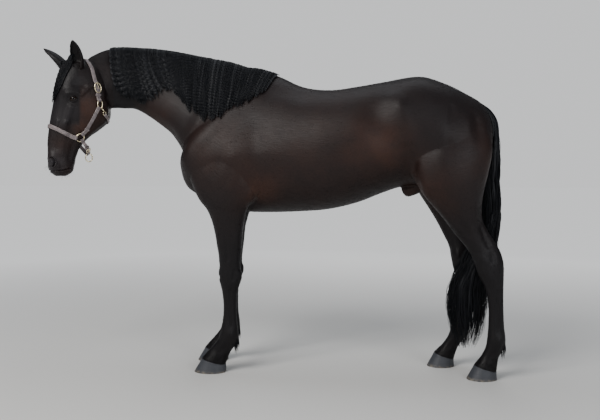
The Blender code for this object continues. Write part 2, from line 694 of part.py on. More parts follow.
EAR_RINGS = (
    # share of length, half width, depth of the cup, opening half angle
    (0.00, 0.029, 0.027, 55.0),
    (0.14, 0.034, 0.030, 62.0),
    (0.32, 0.037, 0.029, 70.0),
    (0.52, 0.036, 0.025, 74.0),
    (0.72, 0.030, 0.019, 76.0),
    (0.88, 0.020, 0.011, 78.0),
    (1.00, 0.004, 0.003, 80.0),
)
EAR_WALL = 0.0035


def make_ear(name, base, tip, opening, curl):
    """A cupped ear from base to tip, open towards a direction."""
    base, tip, opening = Vector(base), Vector(tip), Vector(opening)
    axis = (tip - base)
    length = axis.length
    axis.normalize()
    face = (opening - axis * opening.dot(axis)).normalized()
    wide = axis.cross(face)
    rings = []
    around = 7
    for share, half, depth, gape in EAR_RINGS:
        centre = base + axis * length * share + face * curl * sin(pi * share)
        start = radians(gape)
        outer, inner = [], []
        for j in range(around):
            angle = start + (2 * pi - 2 * start) * j / (around - 1)
            flat = Vector((cos(angle) * depth, sin(angle) * half))
            wall = min(EAR_WALL, depth * 0.6)
            thin = Vector((cos(angle) * (depth - wall), sin(angle) * (half - wall)))
            outer.append(centre + face * flat.x + wide * flat.y)
            inner.append(centre + face * thin.x + wide * thin.y)
        rings.append([tuple(p) for p in outer + inner[::-1]])
    return new_object(name, loft_mesh(name, rings, flat_ends=True))


def make_ears():
    """The left ear pricked up, the right one turned forward and out."""
    left = make_ear("ear_left", head_point(0.070, 0.062, 1.684),
                    head_point(0.108, 0.092, 1.834), head_direction(0.75, 0.65, 0.0), -0.008)
    right = make_ear("ear_right", head_point(0.108, -0.068, 1.690),
                     head_point(0.222, -0.122, 1.806), head_direction(0.80, -0.60, -0.3), -0.008)
    return left, right


# ------------------------------------------------------- mane and long hair

# X along the crest, height of the mane's lower edge, thickness of the hair
MANE_ROWS = (
    (-1.060, 1.700, 0.012), (-1.000, 1.560, 0.020), (-0.920, 1.550, 0.026),
    (-0.840, 1.525, 0.028), (-0.760, 1.540, 0.028), (-0.660, 1.590, 0.026),
    (-0.600, 1.500, 0.028), (-0.520, 1.425, 0.030), (-0.420, 1.425, 0.030),
    (-0.330, 1.480, 0.028), (-0.240, 1.540, 0.022), (-0.170, 1.620, 0.012),
)


def crest_height(x):
    """Height of the neck's and the withers' top line without the mane."""
    rows = [(r[1], r[2]) for r in NECK[:7]] + [(-0.380, 1.722), (-0.260, 1.694),
                                               (-0.125, 1.664), (0.020, 1.600)]
    return ramp(rows, x)


def neck_half_width(x, height):
    """Rough half width of the neck and shoulder at a place along X."""
    top = crest_height(x)
    drop = min(1.0, max(0.0, (top - height) / 0.34))
    wide = float(np.interp(x, (-1.1, -0.8, -0.5, -0.2), (0.078, 0.100, 0.155, 0.200)))
    return wide * sqrt(max(0.0, 1.0 - (1.0 - drop) ** 2.2)) + 0.004


def rest_on(obj, flesh, clearance=GAP * 2):
    """Cut away what an object would share with the flesh it lies on."""
    for piece in flesh:
        bigger = grown(piece, clearance)
        cut(obj, bigger)
        discard(bigger)
    return largest_part(obj)


def make_mane(flesh):
    """The mane: a thick curtain of hair over the crest and down the left side."""
    rings = []
    down_steps = 5
    for x, low, thick in smooth_between(MANE_ROWS, 1):
        turn = bend_turn(x)
        scale = 1.0 / sqrt(1.0 + turn * turn)
        top = crest_height(x)

        def place(across, height):
            return (x - across * turn * scale, bend_offset(x) + across * scale, height)

        outer = [place(0.030, top - 0.012), place(0.016, top + thick * 0.75),
                 place(-0.008, top + thick)]
        for step in range(1, down_steps + 1):
            height = top + (low - top) * step / down_steps
            taper = 1.0 - 0.45 * step / down_steps
            outer.append(place(-neck_half_width(x, height) - thick * taper, height))
        inner = [place(-neck_half_width(x, low) * 0.75, low + 0.004),
                 place(-neck_half_width(x, (top + low) / 2) * 0.45, (top + low) / 2),
                 place(0.0, top - 0.035)]
        rings.append(outer + inner)
    return rest_on(new_object("mane", loft_mesh("mane", rings, flat_ends=True)), flesh)


TAIL_ROWS = (
    # X, Y and Z of the middle line, half width along X, half width along Y
    (0.990, 0.000, 1.500, 0.018, 0.020),
    (1.030, 0.000, 1.462, 0.034, 0.034),
    (1.066, 0.002, 1.400, 0.040, 0.044),
    (1.078, 0.004, 1.310, 0.044, 0.052),
    (1.072, 0.004, 1.200, 0.054, 0.060),
    (1.062, 0.004, 1.060, 0.062, 0.066),
    (1.056, 0.004, 0.920, 0.064, 0.070),
    (1.040, 0.004, 0.780, 0.070, 0.070),
    (1.004, 0.004, 0.640, 0.088, 0.064),
    (0.972, 0.004, 0.500, 0.098, 0.062),
    (0.960, 0.004, 0.380, 0.096, 0.058),
    (0.958, 0.004, 0.280, 0.082, 0.050),
    (0.950, 0.004, 0.190, 0.056, 0.036),
    (0.944, 0.004, 0.112, 0.020, 0.014),
)


def make_tail(flesh):
    """The tail, from the dock down between the hocks."""
    rings = []
    around = 14
    for x, y, z, deep, wide in smooth_between(TAIL_ROWS, 1):
        rings.append([(x + deep * cos(2 * pi * j / around), y + wide * sin(2 * pi * j / around),
                       z) for j in range(around)])
    return rest_on(new_object("tail", loft_mesh("tail", rings)), flesh)


FORELOCK_ROWS = (
    # forward of the poll, height, half width, thickness above the forehead
    (0.070, 1.750, 0.022, 0.010),
    (0.122, 1.732, 0.034, 0.014),
    (0.154, 1.680, 0.042, 0.014),
    (0.172, 1.620, 0.044, 0.012),
    (0.184, 1.560, 0.036, 0.010),
    (0.190, 1.500, 0.016, 0.006),
)


def make_forelock(head):
    """The forelock: a lock lying down the forehead from between the ears."""
    rings = []
    around = 12
    for forward, height, half, thick in smooth_between(FORELOCK_ROWS, 1):
        ring = []
        for j in range(around):
            angle = 2 * pi * j / around
            out = thick * cos(angle) * (1.0 if cos(angle) > 0 else 1.6)
            ring.append(tuple(head_point(forward - 0.006 + out, half * sin(angle),
                                         height + out * 0.35)))
        rings.append(ring)
    return rest_on(new_object("forelock", loft_mesh("forelock", rings)), [head])


# ---------------------------------------------------------------- the halter

def surface_tree(pieces):
    """A search tree over several solids."""
    together = bmesh.new()
    for piece in pieces:
        together.from_mesh(piece.data)
    bmesh.ops.triangulate(together, faces=together.faces)
    tree = BVHTree.FromBMesh(together)
    together.free()
    return tree


def ribbon(name, path, normals, half, thick, closed=False):
    """A flat strap along a path, its outer side on the normals."""
    rings = []
    count = len(path)
    for i, (point, normal) in enumerate(zip(path, normals)):
        ahead = path[(i + 1) % count] if closed or i + 1 < count else path[i]
        behind = path[i - 1] if closed or i else path[0]
        along = (ahead - behind).normalized()
        out = (normal - along * normal.dot(along)).normalized()
        across = along.cross(out)
        rings.append([tuple(point + across * a + out * b) for a, b in
                      ((-half, 0.0), (half, 0.0), (half, thick), (-half, thick))])
    if not closed:
        return new_object(name, loft_mesh(name, rings))
    points = [p for ring in rings for p in ring]
    faces = []
    for i in range(count):
        k = (i + 1) % count
        for j in range(4):
            n = (j + 1) % 4
            faces.append((i * 4 + j, i * 4 + n, k * 4 + n, k * 4 + j))
    return new_object(name, mesh_from(name, points, faces))


def laid_strap(name, guide, tree, half, clearance, steps=4):
    """A strap laid on the flesh under a guide line through the air."""
    path, normals = [], []
    for place in smooth_between([tuple(p) for p in guide], steps):
        point = Vector(place)
        spot, normal, _, _ = tree.find_nearest(point)
        out = (point - spot)
        if out.dot(normal) < 0:
            out = -out
        out = normal if out.length < 1e-4 else out.normalized()
        path.append(spot + out * clearance)
        normals.append(out)
    smooth = [path[0]] + [(path[i - 1] + path[i] * 2 + path[i + 1]) / 4
                          for i in range(1, len(path) - 1)] + [path[-1]]
    return ribbon(name, smooth, normals, half, STRAP_THICK)


def ring_fitting(name, centre, normal, up, radii, wire, segments=12):
    """A metal ring: an oval of wire lying across a normal."""
    normal, up = Vector(normal).normalized(), Vector(up)
    up = (up - normal * up.dot(normal)).normalized()
    side = up.cross(normal)
    points, faces = [], []
    wire_sides = 5
    for i in range(segments):
        a = 2 * pi * i / segments
        spoke = side * cos(a) * radii[0] + up * sin(a) * radii[1]
        out = (side * cos(a) * radii[1] + up * sin(a) * radii[0]).normalized()
        for j in range(wire_sides):
            b = 2 * pi * j / wire_sides
            points.append(Vector(centre) + spoke + out * wire * cos(b) + normal * wire * sin(b))
    for i in range(segments):
        for j in range(wire_sides):
            k, n = (i + 1) % segments, (j + 1) % wire_sides
            faces.append((i * wire_sides + j, i * wire_sides + n,
                          k * wire_sides + n, k * wire_sides + j))
    return new_object(name, mesh_from(name, points, faces))


UPPER_RING = (-0.034, 0.098, 1.493)
LOWER_RING = (0.066, 0.082, 1.306)
CROWN_BUCKLE = (-0.024, 0.100, 1.584)
RING_CLEAR = 0.0085


def on_head(place, side, tree, clearance):
    """The spot above the flesh nearest to a place, and its outward normal."""
    point = head_point(place[0], side * place[1], place[2])
    spot, normal, _, _ = tree.find_nearest(point)
    return spot + normal * clearance, normal


def make_halter(flesh):
    """Leather straps and brass rings round the head. Returns straps, brass."""
    tree = surface_tree(flesh)
    straps, brass = [], []
    clear = 0.0022
    up_left = head_direction(-0.1, 0.0, 1.0)
    for side, hand in ((1, "left"), (-1, "right")):
        spot, out = on_head(UPPER_RING, side, tree, RING_CLEAR)
        brass.append(ring_fitting(f"ring_upper_{hand}", spot, out, up_left,
                                  (0.013, 0.019), 0.0024))
        spot, out = on_head(LOWER_RING, side, tree, RING_CLEAR)
        brass.append(ring_fitting(f"ring_lower_{hand}", spot, out, up_left,
                                  (0.020, 0.020), 0.0026))
        guide = [head_point(f, side * s, z) for f, s, z in
                 ((0.046, 0.095, 1.336), (0.026, 0.105, 1.372), (0.002, 0.110, 1.415),
                  (-0.020, 0.110, 1.462))]
        straps.append(laid_strap(f"cheek_strap_{hand}", guide, tree, 0.0095, clear))
    over = [head_point(f, s, z) for f, s, z in
            ((-0.030, 0.110, 1.528), (-0.026, 0.110, 1.584), (-0.012, 0.108, 1.650),
             (0.006, 0.100, 1.718), (0.020, 0.068, 1.782), (0.022, 0.0, 1.812),
             (0.020, -0.068, 1.782), (0.006, -0.100, 1.718), (-0.012, -0.108, 1.650),
             (-0.026, -0.110, 1.584), (-0.030, -0.110, 1.528))]
    straps.append(laid_strap("crown_strap", over, tree, 0.011, clear, 2))
    nose = [head_point(f, s, z) for f, s, z in
            ((0.090, 0.088, 1.309), (0.150, 0.090, 1.334), (0.205, 0.070, 1.358),
             (0.240, 0.030, 1.372), (0.244, 0.0, 1.374), (0.240, -0.030, 1.372),
             (0.205, -0.070, 1.358), (0.150, -0.090, 1.334), (0.090, -0.088, 1.309))]
    straps.append(laid_strap("noseband", nose, tree, 0.0115, clear, 3))
    chin = [head_point(f, s, z) for f, s, z in
            ((0.052, 0.070, 1.284), (0.034, 0.064, 1.262), (0.020, 0.040, 1.242),
             (0.014, 0.0, 1.234), (0.020, -0.040, 1.242), (0.034, -0.064, 1.262),
             (0.052, -0.070, 1.284))]
    chin_path = [Vector(p) for p in smooth_between([tuple(p) for p in chin], 2)]
    middle = head_point(0.080, 0.0, 1.300)
    chin_out = [(p - middle).normalized() for p in chin_path]
    straps.append(ribbon("chin_strap", chin_path, chin_out, 0.010, STRAP_THICK))
    throat = [head_point(f, s, z) for f, s, z in
              ((-0.072, 0.094, 1.436), (-0.108, 0.060, 1.408), (-0.122, 0.0, 1.398),
               (-0.108, -0.060, 1.408), (-0.072, -0.094, 1.436))]
    straps.append(laid_strap("throat_strap", throat, tree, 0.007, clear, 4))
    spot, out = on_head(CROWN_BUCKLE, 1, tree, 0.0105)
    brass.append(ring_fitting("crown_buckle", spot, out, up_left, (0.017, 0.024), 0.0026))
    brass.append(ring_fitting("chin_ring", head_point(0.000, 0.0, 1.198),
                              head_direction(0.1, 1.0, 0.0), (0, 0, 1),
                              (0.017, 0.021), 0.0026))
    brass.append(ring_fitting("throat_ring", head_point(-0.062, 0.104, 1.452),
                              head_direction(-0.5, 1.0, 0.0), (0, 0, 1),
                              (0.008, 0.011), 0.0020, 10))
    return straps, brass


# ------------------------------------------------------------ the whole horse

def set_down(objects):
    """Move everything so the origin is the middle of the box's base."""
    corners = np.array([v.co for obj in objects for v in obj.data.vertices])
    low, high = corners.min(axis=0), corners.max(axis=0)
    shift = Vector((-(low[0] + high[0]) / 2, -(low[1] + high[1]) / 2, -low[2]))
    for obj in objects:
        obj.data.transform(Matrix.Translation(shift))
        obj.data.update()


def dress(objects, material):
    """Give objects one material each and shade them smooth."""
    for obj in objects:
        obj.data.materials.clear()
        obj.data.materials.append(material)
        obj.data.shade_smooth()
        obj.data.set_sharp_from_angle(angle=radians(40.0))


def main():
    """Build the horse."""
    clear_scene()
    pieces = part_flesh(make_flesh())
    eyes = set_eyes_and_nostrils(pieces["head"])
    ears = make_ears()
    for ear in ears:
        rest_on(ear, [pieces["head"]])
    hooves = [make_hoof(f"hoof_{word}_{hand}", fore, side)
              for fore, word in ((True, "fore"), (False, "hind"))
              for side, hand in ((-1, "left"), (1, "right"))]
    forelock = make_forelock(pieces["head"])
    straps, brass = make_halter([pieces["head"], pieces["neck"]])
    for strap in straps:
        rest_on(strap, [pieces["head"], pieces["neck"]])
    mane = make_mane([pieces["head"], pieces["neck"], pieces["trunk"]])
    tail = make_tail([pieces["trunk"], pieces["leg_hind_left"], pieces["leg_hind_right"]])
    flesh = list(pieces.values()) + list(ears)
    dress(flesh, finish("coat", COAT_BLACK))
    dress([mane, tail, forelock], finish("long hair", HAIR_BLACK))
    dress(hooves, finish("horn", HORN_GREY))
    dress(eyes, finish("eye", EYE_BROWN))
    dress(straps, finish("leather", HALTER_LEATHER))
    dress(brass, finish("brass", PALE_BRASS))
    set_down(flesh + [mane, tail, forelock] + hooves + eyes + straps + brass)


main()
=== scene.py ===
"""The looks of a black riding horse that stands in a leather halter.

One skin takes the place of all the flesh. Hooves, eyes, mane, tail, forelock,
coat tufts and the halter are pieces of their own, set on that skin.

Metres, +Z up. Places are worked out in the horse's own directions: X = 0 is the
middle of the back, the horse looks along -X and its left side is -Y. At the end
each mesh is set down by one shift in the place that the solids have.
"""

import json
import logging
from collections.abc import Iterator
from dataclasses import dataclass, field
from enum import Enum
from math import atan, cos, pi, radians, sin, sqrt

import bmesh
import bpy
import numpy as np
from mathutils import Matrix, Vector
from mathutils.bvhtree import BVHTree

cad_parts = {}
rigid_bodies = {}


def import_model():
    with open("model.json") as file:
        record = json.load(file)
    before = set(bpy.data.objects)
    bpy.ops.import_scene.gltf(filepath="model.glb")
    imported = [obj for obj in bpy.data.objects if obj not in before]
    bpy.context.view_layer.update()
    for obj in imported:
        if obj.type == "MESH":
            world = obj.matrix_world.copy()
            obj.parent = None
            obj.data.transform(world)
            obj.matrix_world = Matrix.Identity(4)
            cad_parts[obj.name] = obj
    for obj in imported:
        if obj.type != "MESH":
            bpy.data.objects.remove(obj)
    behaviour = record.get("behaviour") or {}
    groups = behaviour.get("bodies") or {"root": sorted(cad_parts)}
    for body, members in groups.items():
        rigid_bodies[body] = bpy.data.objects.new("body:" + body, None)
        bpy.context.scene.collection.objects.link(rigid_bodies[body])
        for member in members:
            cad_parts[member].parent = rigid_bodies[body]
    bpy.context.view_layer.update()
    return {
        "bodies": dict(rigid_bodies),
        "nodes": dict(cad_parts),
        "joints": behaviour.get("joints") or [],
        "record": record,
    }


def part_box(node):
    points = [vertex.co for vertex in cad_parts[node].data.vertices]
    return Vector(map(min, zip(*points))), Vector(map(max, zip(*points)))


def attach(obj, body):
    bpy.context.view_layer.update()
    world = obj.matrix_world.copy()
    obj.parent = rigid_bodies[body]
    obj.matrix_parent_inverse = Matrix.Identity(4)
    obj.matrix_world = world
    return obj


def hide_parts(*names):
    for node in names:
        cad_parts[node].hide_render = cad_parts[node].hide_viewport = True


LOG = logging.getLogger("horse")
BODY = "root"               # the one body that every piece rides on
BAKE_MAP = "OFBake"         # map that gives each tuft the colour at its root
BAKE_PATCH = 0.003          # width of one tuft's patch on that map
LIE_MAP = "Lie"             # map that runs along the lie of the coat, in metres

# --------------------------------------------------------------- stations


def ring_rows(*rows: tuple) -> tuple[tuple[float, ...], ...]:
    """A table's rings in metres, without their names.

    Args:
        rows: For each ring its name, its two outline points in the XZ plane
            (first = top or front, second = bottom or back) and its half width
            in millimetres, where it is widest in hundredths (0 at the second
            point, 100 at the first), and how square it is at the first and
            second point in tenths (20 is an ellipse, less is keener).
    """
    return tuple((*(v / 1000 for v in row[1:-3]), row[-3] / 100, row[-2] / 10, row[-1] / 10)
                 for row in rows)


TRUNK = ring_rows(
    ("breast tip", -658, 1260, -656, 1140, 60, 50, 20, 20),
    ("breast", -642, 1360, -640, 1060, 150, 45, 20, 20),
    ("shoulder point", -590, 1450, -596, 1004, 210, 45, 20, 20),
    ("shoulder", -500, 1560, -508, 946, 238, 42, 18, 20),
    ("arm", -380, 1650, -400, 908, 248, 40, 16, 19),
    ("fore withers", -260, 1694, -285, 893, 258, 40, 15, 19),
    ("withers", -125, 1664, -150, 892, 274, 43, 16, 20),
    ("back", 20, 1600, 5, 898, 290, 45, 19, 21),
    ("saddle", 170, 1580, 165, 912, 302, 46, 21, 22),
    ("loin", 320, 1597, 325, 950, 298, 48, 21, 21),
    ("coupling", 460, 1620, 460, 1003, 284, 50, 21, 20),
    ("hip", 570, 1640, 575, 1040, 276, 56, 21, 20),
    ("croup", 680, 1648, 690, 1045, 270, 55, 21, 20),
    ("rump", 800, 1612, 810, 1030, 258, 50, 20, 20),
    ("haunch", 910, 1560, 915, 1040, 232, 46, 20, 20),
    ("dock", 990, 1512, 1000, 1080, 190, 44, 20, 20),
    ("buttock", 1040, 1440, 1042, 1150, 140, 45, 20, 20),
    ("buttock tip", 1060, 1380, 1060, 1250, 60, 50, 20, 20))

NECK = ring_rows(
    ("in the head", -1180, 1722, -1120, 1520, 50, 50, 20, 20),
    ("poll", -1125, 1776, -1065, 1480, 70, 50, 20, 20),
    ("throat", -1045, 1812, -1000, 1482, 77, 45, 18, 20),
    ("upper neck", -930, 1814, -930, 1478, 86, 44, 16, 20),
    ("middle neck", -800, 1808, -857, 1440, 100, 42, 15, 20),
    ("lower neck", -665, 1786, -785, 1386, 122, 40, 15, 20),
    ("neck root", -520, 1756, -712, 1322, 155, 40, 15, 21),
    ("before the blade", -380, 1722, -645, 1215, 188, 40, 15, 21),
    ("in the shoulder", -260, 1680, -560, 1110, 195, 42, 15, 20))

# The head's rows give forward distance from the poll in place of X.
HEAD = ring_rows(
    ("crown", 75, 1745, -20, 1735, 30, 50, 20, 20),
    ("between the ears", 128, 1715, -60, 1700, 66, 50, 22, 20),
    ("temple", 156, 1660, -95, 1640, 86, 55, 24, 20),
    ("brow", 176, 1590, -112, 1570, 98, 55, 26, 20),
    ("eye", 188, 1530, -118, 1500, 101, 55, 27, 22),
    ("cheek", 199, 1470, -118, 1440, 95, 50, 26, 24),
    ("jowl", 210, 1415, -98, 1395, 87, 46, 25, 24),
    ("face", 219, 1360, -48, 1352, 77, 48, 24, 23),
    ("bars", 226, 1305, 10, 1305, 64, 52, 23, 22),
    ("chin groove", 230, 1250, 52, 1255, 54, 56, 22, 22),
    ("muzzle", 231, 1200, 78, 1208, 51, 60, 23, 23),
    ("nostrils", 228, 1160, 94, 1160, 55, 62, 24, 23),
    ("lips", 216, 1122, 106, 1126, 50, 56, 24, 23),
    ("lip tips", 190, 1101, 135, 1106, 30, 50, 22, 22))

# Legs add the ring's sideways place before its half width.
FORE_LEG = ring_rows(
    ("shoulder", -560, 1260, -220, 1280, 165, 70, 50, 20, 20),
    ("upper arm", -590, 1100, -205, 1120, 165, 88, 50, 20, 20),
    ("elbow", -550, 980, -228, 985, 160, 86, 50, 20, 20),
    ("arm root", -500, 910, -272, 910, 153, 77, 50, 20, 20),
    ("forearm", -467, 820, -297, 820, 146, 67, 50, 20, 20),
    ("low forearm", -448, 700, -309, 700, 138, 55, 50, 20, 20),
    ("above the knee", -440, 610, -318, 610, 133, 49, 52, 21, 20),
    ("knee", -440, 550, -314, 545, 130, 52, 55, 23, 18),
    ("low knee", -436, 505, -318, 510, 130, 48, 55, 23, 18),
    ("below the knee", -426, 455, -336, 455, 130, 36, 55, 21, 20),
    ("cannon", -418, 380, -342, 380, 130, 31, 55, 21, 20),
    ("low cannon", -422, 300, -341, 300, 130, 33, 55, 21, 20),
    ("fetlock", -438, 225, -333, 225, 130, 43, 55, 21, 20),
    ("ergot", -455, 180, -336, 175, 130, 42, 55, 20, 18),
    ("pastern", -492, 135, -375, 120, 130, 36, 55, 20, 20),
    ("low pastern", -522, 100, -396, 78, 130, 46, 55, 20, 21),
    ("coronet", -540, 78, -408, 45, 130, 54, 55, 20, 22))

HIND_LEG = ring_rows(
    ("thigh", 600, 1320, 1020, 1380, 130, 95, 50, 20, 20),
    ("low thigh", 598, 1190, 1046, 1250, 150, 116, 50, 20, 20),
    ("stifle", 636, 1080, 1026, 1120, 156, 116, 50, 20, 19),
    ("below the stifle", 694, 990, 1004, 1015, 152, 104, 50, 20, 18),
    ("gaskin", 755, 915, 996, 935, 146, 86, 52, 20, 17),
    ("middle gaskin", 806, 852, 1002, 868, 141, 71, 54, 20, 16),
    ("low gaskin", 853, 790, 1028, 815, 136, 58, 56, 20, 16),
    ("above the hock", 905, 728, 1066, 756, 132, 50, 60, 21, 16),
    ("hock top", 943, 680, 1100, 698, 130, 50, 60, 21, 17),
    ("hock", 962, 625, 1118, 632, 130, 53, 58, 22, 18),
    ("low hock", 982, 565, 1120, 563, 130, 48, 58, 22, 18),
    ("below the hock", 1014, 505, 1119, 497, 130, 38, 55, 21, 20),
    ("cannon", 1036, 410, 1120, 410, 130, 32, 55, 21, 20),
    ("low cannon", 1039, 300, 1124, 300, 130, 34, 55, 21, 20),
    ("fetlock", 1034, 220, 1133, 225, 130, 43, 55, 21, 20),
    ("ergot", 1026, 175, 1128, 178, 130, 41, 55, 20, 18),
    ("pastern", 1006, 132, 1098, 122, 130, 36, 55, 20, 20),
    ("low pastern", 984, 100, 1090, 78, 130, 45, 55, 20, 21),
    ("coronet", 968, 78, 1086, 45, 130, 52, 55, 20, 22))

# How far the right leg stands ahead of the left one: height, distance.
HIND_STEP = ((0.0, 0.210), (0.05, 0.205), (0.15, 0.184), (0.35, 0.150), (0.50, 0.118),
             (0.65, 0.100), (0.80, 0.050), (1.05, 0.0), (1.40, 0.0))
FORE_STEP = ((0.0, 0.040), (0.80, 0.038), (1.05, 0.018), (1.40, 0.0))

SHEATH = ring_rows(
    ("front", 560, 1060, 575, 1000, 30, 50, 20, 20),
    ("opening", 590, 1060, 612, 984, 42, 50, 20, 20),
    ("back", 680, 1080, 690, 1012, 45, 50, 20, 20),
    ("root", 800, 1100, 800, 1045, 35, 50, 20, 20))

# --------------------------------------------------------- places and turns


class Side(Enum):
    """A side of the horse; the value is the sign of Y there."""

    LEFT = -1
    RIGHT = 1

    @property
    def word(self) -> str:
        """The side's word in the names of pieces."""
        return self.name.lower()


@dataclass(frozen=True)
class NeckBend:
    """The sideways curve of the neck from the shoulders to the poll."""

    start_x: float = -0.55
    poll_x: float = -1.16
    poll_y: float = -0.17
    power: float = 1.9

    def offset(self, x: float | np.ndarray) -> np.ndarray:
        """Sideways shift of the neck's middle line at a place along X."""
        reach = np.maximum(0.0, self.start_x - np.asarray(x)) / (self.start_x - self.poll_x)
        return self.poll_y * reach ** self.power

    def turn(self, x: float | np.ndarray) -> np.ndarray:
        """Slope of the neck's middle line at a place along X."""
        step = 0.01
        return -(self.offset(x + step) - self.offset(x - step)) / (2 * step)


@dataclass(frozen=True)
class HeadFrame:
    """The head's own directions: forward, side (+ to the left) and height."""

    poll_x: float = -1.16
    poll_y: float = -0.17
    turn: float = radians(34.0)

    def point(self, forward: float, side: float, height: float) -> Vector:
        """A place on the head, in the horse's directions."""
        return Vector(self.points(np.array((forward, side, height))))

    def points(self, places: np.ndarray) -> np.ndarray:
        """Many places on the head, in the horse's directions.

        Args:
            places: Forward, side and height, in the last axis.

        Returns:
            Places of the same shape.
        """
        c, s = cos(self.turn), sin(self.turn)
        f, a, z = places[..., 0], places[..., 1], places[..., 2]
        return np.stack((self.poll_x - f * c + a * s, self.poll_y - f * s - a * c, z), axis=-1)

    def direction(self, forward: float, side: float, height: float) -> Vector:
        """A direction on the head, in the horse's directions."""
        return self.point(forward, side, height) - self.point(0.0, 0.0, 0.0)

    def local(self, points: np.ndarray) -> np.ndarray:
        """Places in the horse's directions as forward, side and height.

        Args:
            points: Places in the last axis.

        Returns:
            Places of the same shape.
        """
        c, s = cos(self.turn), sin(self.turn)
        x, y = points[..., 0] - self.poll_x, points[..., 1] - self.poll_y
        return np.stack((-x * c - y * s, x * s - y * c, points[..., 2]), axis=-1)


BEND = NeckBend()
FACE = HeadFrame()

EYE_PLACE = (0.102, 0.085, 1.519)       # forward, side, height on the head
LEG_SPREAD = 0.13           # from the middle of the horse to the middle of a leg
ELBOW_CUT = 0.885           # height where a fore leg's sheet of the map begins
STIFLE_CUT = 0.955          # height where a hind leg's sheet begins


def step_of(fore: bool, side: Side, height: float | np.ndarray) -> np.ndarray:
    """How far a leg stands ahead of its table at a height.

    Args:
        fore: Whether it is a fore leg.
        side: The leg's side.
        height: One height or many.

    Returns:
        The distances, in metres.
    """
    if side is Side.LEFT:
        return np.zeros_like(np.asarray(height, dtype=float))
    rows = FORE_STEP if fore else HIND_STEP
    return np.interp(height, [row[0] for row in rows], [row[1] for row in rows])


def smooth_between(rows: list | tuple | np.ndarray, steps: int) -> np.ndarray:
    """A Catmull-Rom curve through rows of numbers.

    Args:
        rows: The rows that the curve passes through.
        steps: How many points each span has.

    Returns:
        The rows of the curve, the last row included.
    """
    rows = np.asarray(rows, dtype=float)
    ends = np.vstack([2 * rows[0] - rows[1], rows, 2 * rows[-1] - rows[-2]])
    curve = []
    for i in range(len(rows) - 1):
        before, start, stop, after = ends[i:i + 4]
        for t in np.arange(steps) / steps:
            curve.append(0.5 * (2 * start + (stop - before) * t
                                + (2 * before - 5 * start + 4 * stop - after) * t * t
                                + (3 * start - before - 3 * stop + after) * t ** 3))
    curve.append(rows[-1])
    return np.array(curve)


def smooth_step(low: float, high: float, value: np.ndarray) -> np.ndarray:
    """0 below low, 1 above high and a soft change between them."""
    t = np.clip((value - low) / (high - low), 0.0, 1.0)
    return t * t * (3.0 - 2.0 * t)


def hump(value: np.ndarray, middle: float, reach: float) -> np.ndarray:
    """A soft hill of height one over a middle value."""
    return np.exp(-((value - middle) / reach) ** 2)


def unit(vectors: np.ndarray) -> np.ndarray:
    """Vectors scaled to length one."""
    return vectors / np.maximum(np.linalg.norm(vectors, axis=-1, keepdims=True), 1e-12)


# --------------------------------------------------------------- mesh tools


def new_object(name: str, mesh: bpy.types.Mesh) -> bpy.types.Object:
    """Link a mesh to the scene as a named object.

    Args:
        name: The object's name.
        mesh: Its mesh.

    Returns:
        The object.
    """
    obj = bpy.data.objects.new(name, mesh)
    bpy.context.scene.collection.objects.link(obj)
    return obj


def discard(*objects: bpy.types.Object) -> None:
    """Remove helper objects that are no part of the horse."""
    for obj in objects:
        bpy.data.objects.remove(obj, do_unlink=True)


def mesh_of(name: str, points: np.ndarray, faces: list, check: bool = True) -> bpy.types.Mesh:
    """A mesh from points and groups of faces.

    Args:
        name: The mesh's name.
        points: Places, one row each.
        faces: Arrays of faces; in each array all faces have as many corners.
        check: Look for faults in the mesh.

    Returns:
        The new mesh.
    """
    mesh = bpy.data.meshes.new(name)
    mesh.vertices.add(len(points))
    mesh.vertices.foreach_set("co", np.ascontiguousarray(points, dtype=np.float32).ravel())
    groups = [np.asarray(group, dtype=np.int32) for group in faces if len(group)]
    corners = np.concatenate([group.ravel() for group in groups])
    sizes = np.concatenate([np.full(len(group), group.shape[1]) for group in groups])
    mesh.loops.add(len(corners))
    mesh.loops.foreach_set("vertex_index", corners)
    mesh.polygons.add(len(sizes))
    starts = np.concatenate(([0], np.cumsum(sizes)[:-1])).astype(np.int32)
    mesh.polygons.foreach_set("loop_start", starts)
    mesh.update(calc_edges=True)
    if check:
        mesh.validate()
    return mesh


def outward(mesh: bpy.types.Mesh) -> bpy.types.Mesh:
    """Turn the faces of closed shells outward.

    Args:
        mesh: A mesh of closed shells.

    Returns:
        The same mesh.
    """
    shape = bmesh.new()
    shape.from_mesh(mesh)
    shape.normal_update()
    bmesh.ops.recalc_face_normals(shape, faces=shape.faces)
    shape.to_mesh(mesh)
    shape.free()
    return mesh


def baked(obj: bpy.types.Object) -> bpy.types.Object:
    """Replace an object's mesh by its evaluated one and drop its modifiers.

    Args:
        obj: The object.

    Returns:
        The same object.
    """
    depsgraph = bpy.context.evaluated_depsgraph_get()
    mesh = bpy.data.meshes.new_from_object(obj.evaluated_get(depsgraph))
    obj.modifiers.clear()
    obj.data = mesh
    return obj


def tube_faces(rings: int, around: int, closed: bool = False) -> np.ndarray:
    """Faces between rings of places, and from the last to the first if closed.

    Args:
        rings: Number of rings.
        around: Places on a ring.
        closed: Join the last ring to the first.

    Returns:
        Faces of four corners, one row each.
    """
    i, j = np.meshgrid(np.arange(rings if closed else rings - 1), np.arange(around), indexing="ij")
    k, n = (i + 1) % rings, (j + 1) % around
    return np.stack((i * around + j, i * around + n, k * around + n, k * around + j),
                    axis=-1).reshape(-1, 4)


def joined(name: str, meshes: list[bpy.types.Mesh]) -> bpy.types.Object:
    """One object from the shells of several meshes.

    Args:
        name: The object's name.
        meshes: The meshes.

    Returns:
        The object.
    """
    together = bmesh.new()
    for mesh in meshes:
        together.from_mesh(mesh)
    whole = bpy.data.meshes.new(name)
    together.to_mesh(whole)
    together.free()
    return new_object(name, whole)


